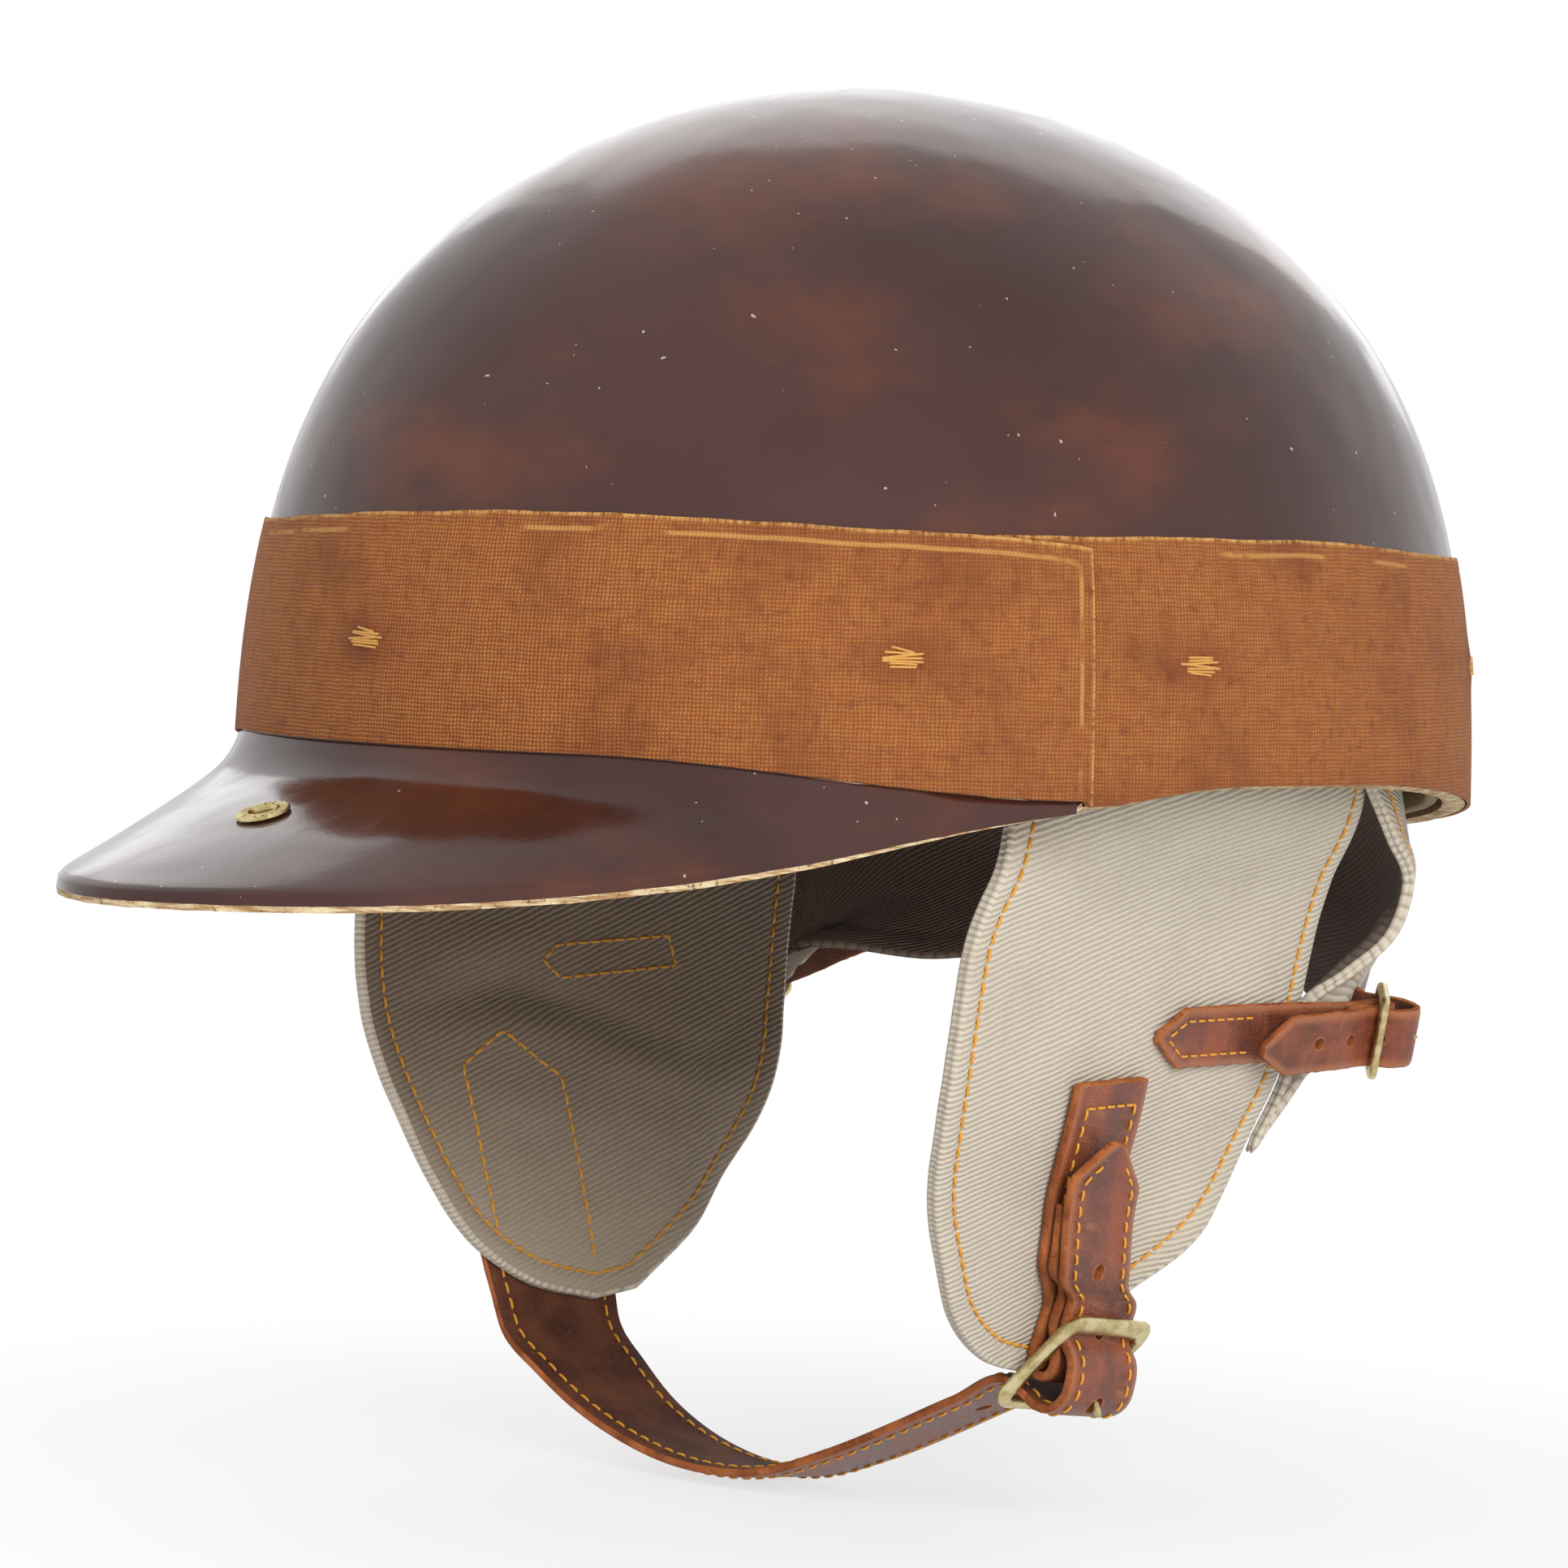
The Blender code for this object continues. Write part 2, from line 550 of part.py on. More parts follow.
def make_arms(dress, bores):
    """The eight leather arms that carry the headband and cross the head."""
    for number, (angle, crown_angle) in enumerate(ARM_ANGLES, 1):
        route = spline(arm_route(angle, crown_angle), 160)
        kept = thin(route, 14 * MM, radians(20))
        rows = []
        for k in kept:
            share = k / (len(route) - 1)
            half = (ARM_WIDTH + (ARM_TIP_WIDTH - ARM_WIDTH) * smooth_step((share - 0.35) / 0.6)) / 2
            cross = arm_cross(angle, crown_angle, share)
            rows.append([route[k] - cross * half, route[k], route[k] + cross * half])
        arm = sheet(f"cradle_arm_{number}", rows, ARM_THICKNESS, dress)
        combine(arm, bores, "DIFFERENCE")


def make_crown_disc(dress):
    """The leather disc that the arms are sewn under."""
    base = Vector((0, 0, CRADLE_HEIGHT + ARM_THICKNESS / 2 + 2 * GAP))
    rounding = 0.5 * MM
    outline = [(0, 0), (CROWN_DISC_RADIUS - rounding, 0), (CROWN_DISC_RADIUS, rounding)]
    outline += [(CROWN_DISC_RADIUS, CROWN_DISC_THICKNESS - rounding)]
    outline += [(CROWN_DISC_RADIUS - rounding, CROWN_DISC_THICKNESS), (0, CROWN_DISC_THICKNESS)]
    return turned("crown_disc", [(outline, base, Vector((0, 0, 1)))], dress, segments=24)


def anchor_line(angle):
    """The outer end and the inward direction of one cradle anchor."""
    lap = BAND_THICKNESS + GAP
    outer = shell_point(angle, ANCHOR_HEIGHT, -lap)
    along = shell_point(angle + 1, ANCHOR_HEIGHT) - shell_point(angle - 1, ANCHOR_HEIGHT)
    rise = shell_point(angle, ANCHOR_HEIGHT + MM) - shell_point(angle, ANCHOR_HEIGHT - MM)
    inward = rise.cross(along).normalized()
    return outer, inward


def anchor_bores():
    """The cutter for the holes that the anchors pass through."""
    rods = []
    for angle, _ in ARM_ANGLES:
        outer, inward = anchor_line(angle)
        rods.append((outer - inward * 4 * MM, outer + inward * 13 * MM, ANCHOR_SHANK + GAP))
    return cutter("anchor_bores", rods)


def make_anchors(dress):
    """The knotted cords that hold the cradle arms to the shell."""
    knot, thick = ANCHOR_KNOT, ANCHOR_KNOT_THICKNESS
    stack = BAND_THICKNESS + SHELL_WALL + LINING_THICKNESS + ARM_THICKNESS + ARM_PLAY + 6 * GAP
    outline = [(0, -thick - GAP), (knot * 0.6, -thick - GAP), (knot, -thick / 2 - GAP), (knot * 0.9, -GAP)]
    outline += [(ANCHOR_SHANK, -GAP), (ANCHOR_SHANK, stack), (knot * 0.9, stack)]
    outline += [(knot, stack + thick / 2), (knot * 0.6, stack + thick), (0, stack + thick)]
    for number, (angle, _) in enumerate(ARM_ANGLES, 1):
        turned(f"cradle_anchor_{number}", [(outline, *anchor_line(angle))], dress, segments=10)


# Ear flaps

def flap_axes():
    """The left flap's origin and its rearward, downward and outward directions."""
    outward = Vector((cos(FLAP_TURN), sin(FLAP_TURN), 0))
    rearward = Vector((-sin(FLAP_TURN), cos(FLAP_TURN), 0))
    down = -outward * sin(FLAP_SLANT) - Vector((0, 0, cos(FLAP_SLANT)))
    out = outward * cos(FLAP_SLANT) - Vector((0, 0, sin(FLAP_SLANT)))
    return Vector((FLAP_OUT, FLAP_BACK, FLAP_LEVEL)), rearward, down, out


def flap_bulge(u, v):
    """How far the cloth stands out of its plane: a rear flare, a soft crown and a crease."""
    flare = FLAP_FLARE * smooth_step((u - 5 * MM) / (45 * MM))
    flare += FLAP_LOW_FLARE * smooth_step((v - 60 * MM) / (30 * MM)) * smooth_step((u - 8 * MM) / (20 * MM))
    if v >= FLAP_CROWN_END:
        return flare
    crown = FLAP_CROWN * sin(pi * max(v, 0.0) / FLAP_CROWN_END) * cos(pi * u / (140 * MM))
    crease = FLAP_CREASE * sin(2 * pi * (v - 34 * MM) / (60 * MM)) * smooth_step(v / (30 * MM))
    return flare + crown + crease * smooth_step((FLAP_CROWN_END - v) / (25 * MM))


def on_flap(u, v, lift=0.0, side=1):
    """A point u behind and v below the flap's origin, lift outside its middle surface."""
    origin, rearward, down, out = flap_axes()
    flat = origin + rearward * u + down * v + out * (lift + flap_bulge(u, v))
    hem = head_width(flat.y, CLOTH_THICKNESS / 2 + GAP) + lift
    share = smooth_step((v - FLAP_FRONT_EDGE[0][1] * MM) / FLAP_SETTLE)
    return Vector((side * (hem + (flat.x - hem) * share), flat.y, flat.z))


def make_flap(name, side, dress):
    """One ear flap, rounded to a blunt tip."""
    front = spline([(u * MM, v * MM) for u, v in FLAP_FRONT_EDGE], FLAP_ROWS + 1)
    rear = spline([(u * MM, v * MM) for u, v in FLAP_REAR_EDGE], FLAP_ROWS + 1)
    rows = []
    for start, end in zip(front, rear):
        line = [start + (end - start) * k / FLAP_COLUMNS for k in range(FLAP_COLUMNS + 1)]
        rows.append([on_flap(u, v, 0.0, side) for u, v in line])
    return sheet(name, rows, CLOTH_THICKNESS, dress)


def make_flap_hem(name, side, dress):
    """The strip of the flap that is sewn to the headband, above the fold line."""
    middle = []
    origin, rearward, down, _ = flap_axes()
    for u in np.linspace(FLAP_FRONT_EDGE[0][0] * MM, FLAP_REAR_EDGE[0][0] * MM, 15):
        back = (origin + rearward * u + down * FLAP_FRONT_EDGE[0][1] * MM).y
        wide = side * head_width(back, CLOTH_THICKNESS / 2 + GAP)
        middle.append([Vector((wide, back, h)) for h in (HEM_BOTTOM, HEM_HEIGHT)])
    return sheet(name, middle, CLOTH_THICKNESS, dress)


# Neck curtain

def curtain_hem_offset(angle):
    """How far the curtain's hem stands off the headband: it laps over the flap's hem at the side."""
    lap = CLOTH_THICKNESS + 2 * GAP
    near = 1 - smooth_step((angle - CURTAIN_STATIONS[0] + 18) / 12)
    return CURTAIN_THICKNESS / 2 + GAP + lap * near


def curtain_station(angle):
    """Points down the curtain at one angle, from its hem to its lower edge."""
    share = (angle - CURTAIN_STATIONS[0]) / (180.0 - CURTAIN_STATIONS[0])
    bottom = -CURTAIN_SIDE_HEIGHT + (CURTAIN_SIDE_HEIGHT - CURTAIN_BACK_HEIGHT) * share
    top = head_point(angle, -GAP, curtain_hem_offset(angle))
    swell = shell_point(angle, CURTAIN_SWELL_LEVEL, CURTAIN_SWELL)
    narrow = shell_point(angle, bottom, CURTAIN_NARROW)
    return [top, swell, narrow]


def curtain_edges():
    """Points down the curtain's left front edge and down a line just behind it."""
    edge = [Vector(p) * MM for p in CURTAIN_FRONT_EDGE]
    edge[0].x = head_width(edge[0].y, curtain_hem_offset(0))
    start = head_point(CURTAIN_SIDE_ANGLE, -GAP, curtain_hem_offset(CURTAIN_SIDE_ANGLE))
    return edge, [start] + [Vector(p) * MM for p in CURTAIN_SIDE_LINE]


def curtain_grid():
    """The curtain's middle surface from one front edge round the nape to the other."""
    lines = list(curtain_edges()) + [curtain_station(angle) for angle in CURTAIN_STATIONS]
    stations = [spline([tuple(p) for p in line], CURTAIN_ROWS + 1) for line in lines]
    stations += [line * np.array((-1.0, 1.0, 1.0)) for line in stations[-2::-1]]
    rows = [spline([line[row] for line in stations], CURTAIN_COLUMNS + 1) for row in range(CURTAIN_ROWS + 1)]
    grid = np.array(rows).transpose(1, 0, 2)
    for k, line in enumerate(grid):
        calm = smooth_step((min(k, CURTAIN_COLUMNS - k) - 9) / 4)
        for row, point in enumerate(line):
            wave = CURTAIN_CREASE * sin(k * 2 * pi / 8) * sin(pi * row / CURTAIN_ROWS)
            point[:2] *= 1 + wave * calm / SHELL_HALF_LENGTH
    return grid


def curtain_face(lift):
    """The curtain's outer face, or a face the given lift outside it."""
    grid = curtain_grid()
    one, other = faces_of(grid, CURTAIN_THICKNESS + 2 * lift)
    nape = (CURTAIN_COLUMNS // 2, CURTAIN_ROWS // 2, 1)
    return one if one[nape] > other[nape] else other


def make_curtain(dress):
    """The neck curtain."""
    return sheet("neck_curtain", curtain_grid(), CURTAIN_THICKNESS, dress)


def make_curtain_hem(dress):
    """The strip of the curtain that is sewn to the headband."""
    start = curtain_edges()[0][0]
    first = min(range(90, 150), key=lambda a: abs(head_point(a, 0, curtain_hem_offset(a)).y - start.y))
    angles = np.linspace(first, 360 - first, 41)
    rows = []
    for angle in angles:
        offset = curtain_hem_offset(min(angle, 360 - angle))
        rows.append([head_point(angle, h, offset) for h in (HEM_BOTTOM, HEM_HEIGHT)])
    return sheet("curtain_hem", rows, CURTAIN_THICKNESS, dress)


# Buckles and straps

class Buckle:
    """A centre-bar buckle on the left flap and the sizes of the strap folds in it."""

    def __init__(self, centre, up, out, width, thickness, bar, pin, half):
        """Takes the centre bar's middle, the strap's two directions, and its sizes."""
        self.centre, self.up, self.out = centre, up, out
        self.across = up.cross(out).normalized()
        self.width, self.thickness, self.bar, self.pin, self.half = width, thickness, bar, pin, half
        self.fold = pin + GAP + thickness / 2
        self.layer = thickness + LAYER_PLAY
        self.clear = self.fold + self.layer
        self.tail = -self.fold + 2 * self.layer
        lean = (self.tail + thickness / 2 + 2.4 * GAP + bar) / half
        self.top = (half * lean, half * sqrt(1 - lean**2))
        self.low = (-self.top[0], -self.top[1])

    def at(self, p, q, along=0.0):
        """A point p outward and q up from the centre bar, along its length."""
        return self.centre + self.out * p + self.up * q + self.across * along

    def anchor_fold(self):
        """The anchor strap's way round the centre bar, down inside and up outside."""
        r = self.fold
        fall = [(-r, self.half), (-r, self.half * 0.5)]
        turn = [(r * cos(a), r * sin(a)) for a in np.linspace(pi, 2 * pi, 9)]
        rise = [(r * 0.9, r * 0.8), (r * 0.45, r * 1.9)]
        rise += [(-r + self.layer, self.half * k) for k in (0.72, 1.0, 1.3)]
        return [self.at(p, q) for p, q in fall + turn + rise]

    def loop(self):
        """The long strap's way: over the low bar, out round the fold and in behind the top bar."""
        r, stand = self.clear, self.bar + self.thickness / 2 + 5 * GAP
        over = (self.low[0] - 0.2 * stand, self.low[1] + 0.98 * stand)
        ways = [over, (-0.36 * r, -1.39 * r), (0.28 * r, -1.64 * r), (0.93 * r, -1.52 * r)]
        ways += [(1.35 * r, -0.99 * r), (1.39 * r, -0.24 * r), (1.22 * r, 0.5 * r)]
        ways += [(self.tail + self.thickness * 0.3, self.half * 0.56), (self.tail + 0.5 * GAP, self.half * 0.78)]
        ways += [(self.tail, self.half * 0.95), (self.tail, self.half * 1.2)]
        return [self.at(p, q) for p, q in ways]

    def frame_route(self, rounding):
        """The rounded outline of the frame's bars."""
        half = self.width / 2 + self.bar + SLOT_SIDE_ROOM
        lean = Vector((self.top[0], self.top[1])).normalized()
        points = []
        for sx, sy, start in ((1, 1, 0), (-1, 1, 90), (-1, -1, 180), (1, -1, 270)):
            for turn in (0, 30, 60, 90):
                angle = radians(start + turn)
                along = sx * (half - rounding) + rounding * cos(angle)
                rise = sy * (self.half - rounding) + rounding * sin(angle)
                points.append(self.at(lean[0] * rise, lean[1] * rise, along))
        normal = (self.out * lean[1] - self.up * lean[0]).normalized()
        return points, normal, half

    def prong_route(self, tip):
        """The prong's wire: round the centre bar, then out to its tip."""
        ring = self.pin + GAP + self.wire()
        way = radians(PRONG_ANGLE)
        points = [(ring * cos(a), ring * sin(a)) for a in np.linspace(way + radians(100), way + radians(330), 9)]
        side = (-sin(way), cos(way))
        ahead = (cos(way), sin(way))
        for reach, aside in ((ring * 1.25, -0.28 * ring), (ring * 1.6, 0.0), (tip, 0.0)):
            points.append((ahead[0] * reach + side[0] * aside, ahead[1] * reach + side[1] * aside))
        return [self.at(p, q) for p, q in points]

    def wire(self):
        """Radius of the prong's wire."""
        return self.pin * 0.8


def strap_rows(centres, crosses, widths, slot):
    """A strap's grid of points: its two edges and the two sides of its slot."""
    rows = []
    for centre, cross, width in zip(centres, crosses, widths):
        inner = min(slot, width * 0.4) / 2
        rows.append([centre + cross * k for k in (-width / 2, -inner, inner, width / 2)])
    return rows


def pointed(lengths, width, start, end):
    """Strap widths along its length, pointed at the start or the end or both."""
    total = lengths[-1]
    widths = []
    for here in lengths:
        share = 1.0
        if start:
            share = min(share, 0.18 + 0.82 * here / TIP_LENGTH)
        if end:
            share = min(share, 0.18 + 0.82 * (total - here) / TIP_LENGTH)
        widths.append(width * min(share, 1.0))
    return widths


def path_lengths(points):
    """Length along a run of points."""
    steps = np.linalg.norm(np.diff(points, axis=0), axis=1)
    return np.concatenate([[0], np.cumsum(steps)])


def blended_cross(lengths, first, last, start, end):
    """Cross directions turning from first to last between two places along a strap."""
    crosses = []
    for here in lengths:
        share = smooth_step((here - start) / (end - start))
        cross = np.array(first) * (1 - share) + np.array(last) * share
        crosses.append(cross / np.linalg.norm(cross))
    return crosses


def make_anchor_strap(name, buckle, laid, back, first_cross, dress, tip):
    """A short strap sewn to the flap, folded round the buckle's centre bar and back on itself."""
    route = spline([tuple(p) for p in laid + buckle.anchor_fold() + back], 420)
    rises = (route - np.array(buckle.centre)) @ np.array(buckle.up)
    slot_end = buckle.fold + 2.4 * buckle.wire() + SLOT_SIDE_ROOM
    ends = [k for k in range(1, len(route)) if (rises[k] < slot_end) != (rises[k - 1] < slot_end)]
    kept = sorted(set(thin(route, 9 * MM, radians(18))) | set(ends))
    points, rises = route[kept], rises[kept]
    lengths = path_lengths(points)
    reach = path_lengths(np.array([tuple(p) for p in laid]))[-1]
    crosses = []
    for here in lengths:
        share = smooth_step(here / (reach + buckle.half))
        cross = np.array(first_cross) * (1 - share) + np.array(buckle.across) * share
        crosses.append(cross / np.linalg.norm(cross))
    slot = 2 * (buckle.wire() + SLOT_SIDE_ROOM)
    rows = strap_rows(points, crosses, pointed(lengths, buckle.width, tip, False), slot)
    missing = [(k, 1) for k in range(len(points) - 1) if (rises[k] + rises[k + 1]) / 2 < slot_end]
    return sheet(name, rows, buckle.thickness, dress, missing=missing)


def punch(strap, points, buckle, pitch, radius, around):
    """Punches the strap's holes, the one for the prong along the prong and the rest square."""
    lengths = list(path_lengths(points))
    middle = loop_station(points, buckle)
    ways = np.gradient(points, axis=0)
    rods = []
    for step in around:
        station = middle + pitch * step
        k = min(max(bisect.bisect(lengths, station), 1), len(points) - 1)
        share = (station - lengths[k - 1]) / (lengths[k] - lengths[k - 1])
        place = Vector(points[k - 1] * (1 - share) + points[k] * share)
        normal = Vector(ways[k - 1] * (1 - share) + ways[k] * share).cross(buckle.across).normalized()
        if step == 0:
            normal = prong_way(buckle)
            place = buckle.centre + normal * normal.dot(place - buckle.centre)
        rods.append((place - normal * 4 * MM, place + normal * 4 * MM, radius))
    combine(strap, cutter(strap.name + "_holes", rods), "DIFFERENCE")


def prong_way(buckle):
    """The direction in which the prong points."""
    angle = radians(PRONG_ANGLE)
    return buckle.at(cos(angle), sin(angle)) - buckle.centre


def loop_station(points, buckle):
    """Length along the strap where the prong comes through it."""
    lengths = path_lengths(points)
    way = prong_way(buckle)
    best = None
    for point, length in zip(points, lengths):
        off = Vector(point) - buckle.centre
        facing = off.normalized().dot(way)
        if off.length < buckle.clear * 2 and (best is None or facing > best[0]):
            best = (facing, length)
    return best[1]


def make_frame(name, buckle, dress):
    """The buckle's cast frame with its centre bar."""
    rounding = buckle.bar * 2.2
    route, normal, half = buckle.frame_route(rounding)
    frame = tube(name, route, buckle.bar, normal, dress, closed=True)
    pin = tube(name + "_centre_bar", [buckle.at(0, 0, -half), buckle.at(0, 0, half)], buckle.pin, buckle.out)
    pin.hide_render = True
    pin.display_type = "WIRE"
    combine(frame, pin, "UNION")
    return frame


def make_prong(name, buckle, dress):
    """The buckle's wire prong, coiled round the centre bar."""
    tip = buckle.clear * 1.55 + buckle.thickness / 2 + 3.0 * MM
    return tube(name, buckle.prong_route(tip), buckle.wire(), buckle.across, dress)


def mirror(piece):
    """Moves a piece and its hidden tools to the wearer's right."""
    for item in [piece] + [modifier.object for modifier in piece.modifiers]:
        item.data.transform(Matrix.Diagonal((-1, 1, 1, 1)))
        item.data.flip_normals()


def chin_buckle():
    """The chin strap's buckle at the left flap's tip."""
    _, rearward, down, out = flap_axes()
    u, v = (k * MM for k in CHIN_BUCKLE_PLACE)
    fold = CHIN_PIN_RADIUS + GAP + STRAP_THICKNESS / 2
    lift = (CLOTH_THICKNESS + STRAP_THICKNESS) / 2 + LAYER_PLAY + fold
    up = rearward * sin(CHIN_BUCKLE_SKEW) - down * cos(CHIN_BUCKLE_SKEW)
    sizes = (CHIN_WIDTH, STRAP_THICKNESS, CHIN_BAR_RADIUS, CHIN_PIN_RADIUS, CHIN_HALF_LENGTH)
    return Buckle(on_flap(u, v, lift), up, out, *sizes)


def nape_line(line, name):
    """A nape strap's line over the flap, shifted to where that side's strap is sewn."""
    back, down = NAPE_SHIFTS[name]
    return [(u + back, v + down, rise) for u, v, rise in line]


def nape_buckle(name):
    """One nape strap's buckle, as if on the left."""
    centre = Vector(NAPE_BUCKLE_PLACES[name]) * MM
    u, v, _ = nape_line(NAPE_TAIL_LINE, name)[-1]
    forward = (on_flap(u * MM, v * MM, 5 * MM) - centre).normalized()
    out = flap_axes()[3]
    out = (out - forward * out.dot(forward)).normalized()
    sizes = (NAPE_WIDTH, NAPE_THICKNESS, NAPE_BAR_RADIUS, NAPE_PIN_RADIUS, NAPE_HALF_LENGTH)
    return Buckle(centre, forward, out, *sizes)


def laid_route(line, lift, side=1):
    """A strap's way over a flap: (u, v) or (u, v, rise) points in millimetres."""
    route = []
    for place in spline(line, 2 * len(line)):
        rise = place[2] * MM if len(place) > 2 else 0.0
        route.append(on_flap(place[0] * MM, place[1] * MM, lift + rise, side))
    return route


def make_chin(leather, brass):
    """The chin strap, its anchor strap and its buckle."""
    buckle = chin_buckle()
    _, rearward, _, _ = flap_axes()
    lift = (CLOTH_THICKNESS + STRAP_THICKNESS) / 2 + LAYER_PLAY
    laid = laid_route(CHIN_ANCHOR_LINE, lift)
    back = laid_route(CHIN_BACK_LINE, lift + buckle.layer)
    anchor = make_anchor_strap("chin_anchor_strap", buckle, laid, back, rearward, leather, False)
    sewn = laid_route(CHIN_SEWN_LINE, lift, -1)
    under = [Vector(p) * MM for p in CHIN_ROUTE]
    tail = laid_route(CHIN_TAIL_LINE, lift + 2 * buckle.layer)
    route = spline([tuple(p) for p in sewn + under + buckle.loop() + tail], 1400)
    points = route[thin(route, 9 * MM, radians(12))]
    lengths = path_lengths(points)
    middle = loop_station(points, buckle)
    right_cross = Vector((-rearward.x, rearward.y, rearward.z))
    start = path_lengths(np.array([tuple(p) for p in sewn]))[-1]
    crosses = blended_cross(lengths, right_cross, buckle.across, start, middle - 3 * buckle.half)
    widths = pointed(lengths, 1.0, True, True)
    for k, here in enumerate(lengths):
        share = smooth_step((here - 45 * MM) / (60 * MM))
        widths[k] *= CHIN_SEWN_WIDTH + (CHIN_WIDTH - CHIN_SEWN_WIDTH) * share
    strap = sheet("chin_strap", strap_rows(points, crosses, widths, CHIN_WIDTH / 2), STRAP_THICKNESS, leather)
    punch(strap, points, buckle, CHIN_HOLE_PITCH, CHIN_HOLE_RADIUS, (-2, -1, 0, 1, 2))
    frame = make_frame("chin_buckle_frame", buckle, brass)
    prong = make_prong("chin_buckle_prong", buckle, brass)
    return buckle, anchor, strap, frame, prong


def make_nape(name, leather, brass):
    """One nape strap with its anchor strap and its buckle, as if on the left."""
    buckle = nape_buckle(name)
    side = 1 if buckle.across.z < 0 else -1
    lift = (CLOTH_THICKNESS + NAPE_THICKNESS) / 2 + LAYER_PLAY
    laid = laid_route(nape_line(NAPE_ANCHOR_LINE, name), lift)
    back = [buckle.at(-buckle.fold + buckle.layer, buckle.half * 1.45)]
    first_cross = flap_axes()[2] * side
    anchor = make_anchor_strap(f"nape_anchor_strap_{name}", buckle, laid, back, first_cross, leather, True)
    face = curtain_face(2 * LAYER_PLAY + NAPE_THICKNESS / 2)
    root = [tuple(face[column][NAPE_ROOT_ROW]) for column in NAPE_ROOT_COLUMNS]
    ways = [tuple(Vector(p) * MM) for p in NAPE_WAYS[name]]
    first = face[NAPE_ROOT_COLUMNS[1]]
    drop = (first[NAPE_ROOT_ROW + 1] - first[NAPE_ROOT_ROW - 1]) * side
    tail = laid_route(nape_line(NAPE_TAIL_LINE, name), lift + 2 * buckle.layer)
    route = spline(root + ways + [tuple(p) for p in buckle.loop() + tail], 900)
    points = route[thin(route, 7 * MM, radians(16))]
    lengths = path_lengths(points)
    middle = loop_station(points, buckle)
    start = path_lengths(np.array(root))[-1]
    crosses = blended_cross(lengths, drop / np.linalg.norm(drop), buckle.across, start, middle - 2 * buckle.half)
    widths = pointed(lengths, NAPE_WIDTH, False, True)
    rows = strap_rows(points, crosses, widths, NAPE_WIDTH / 2)
    strap = sheet(f"nape_strap_{name}", rows, NAPE_THICKNESS, leather)
    punch(strap, points, buckle, NAPE_HOLE_PITCH, NAPE_HOLE_RADIUS, (0, 1, 2))
    frame = make_frame(f"nape_buckle_frame_{name}", buckle, brass)
    prong = make_prong(f"nape_buckle_prong_{name}", buckle, brass)
    return buckle, anchor, strap, frame, prong


def hang_buckle(name, centre, frame, prong, hinge):
    """Hangs a buckle's frame and prong from its centre bar."""
    pivot = pivot_empty(f"{name}_buckle_pivot", centre, hinge)
    hang(frame, centre, pivot)
    hang(prong, centre, pivot)


def main():
    """Builds the helmet."""
    for old in list(bpy.data.objects):
        bpy.data.objects.remove(old)
    varnish = material("varnished_shell", (0.10, 0.045, 0.035), 0.18)
    linen = material("orange_linen", (0.40, 0.17, 0.05), 0.85)
    felt = material("olive_felt", (0.36, 0.30, 0.20), 0.95)
    twill = material("khaki_twill", (0.42, 0.38, 0.31), 0.9)
    leather = material("brown_leather", (0.26, 0.10, 0.05), 0.5)
    brass = material("antique_brass", (0.50, 0.42, 0.22), 0.35, 1.0)
    cord = material("pale_cord", (0.65, 0.48, 0.22), 0.9)

    shell = make_shell(varnish)
    lining = make_lining(felt)
    band = make_band(linen)
    bores = anchor_bores()
    for piece in (shell, lining, band):
        combine(piece, bores, "DIFFERENCE")
    peak = make_peak(varnish)
    make_eyelet(brass, peak)
    make_headband(leather)
    make_arms(leather, bores)
    make_crown_disc(leather)
    make_anchors(cord)
    make_curtain(twill)
    make_curtain_hem(twill)

    hinges = {}
    for side, name in ((1, "left"), (-1, "right")):
        make_flap_hem(f"flap_hem_{name}", side, twill)
        place = on_flap(0, FLAP_FRONT_EDGE[0][1] * MM, CLOTH_THICKNESS / 2, side)
        hinges[side] = pivot_empty(f"flap_hinge_{name}", place)
        hang(make_flap(f"ear_flap_{name}", side, twill), place, hinges[side])

    buckle, anchor, strap, frame, prong = make_chin(leather, brass)
    hang(anchor, hinges[1].location, hinges[1])
    hang(strap, hinges[-1].location, hinges[-1])
    hang_buckle("chin", buckle.centre, frame, prong, hinges[1])

    for side, name in ((1, "left"), (-1, "right")):
        buckle, *pieces = make_nape(name, leather, brass)
        if side < 0:
            for piece in pieces:
                mirror(piece)
        anchor, strap, frame, prong = pieces
        centre = Vector((side * buckle.centre.x, buckle.centre.y, buckle.centre.z))
        hang(anchor, hinges[side].location, hinges[side])
        hang(strap, hinges[side].location, hinges[side])
        hang_buckle(f"nape_{name}", centre, frame, prong, hinges[side])

main()
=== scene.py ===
"""Looks of the half-shell racing helmet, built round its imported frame.

Metres, +Z up. The helmet faces -Y and the wearer's left is +X. Angles round the shell count from
the front, positive towards the wearer's left. Every cloth, leather and metal piece is made here
at full fineness in the place of its plain solid, from the same sizes.
"""

import json
import logging
from collections.abc import Iterable, Sequence
from dataclasses import dataclass, field
from enum import Enum
from math import cos, exp, hypot, pi, radians, sin, sqrt, tan

import bmesh
import bpy
import numpy as np
from mathutils import Matrix, Vector, noise

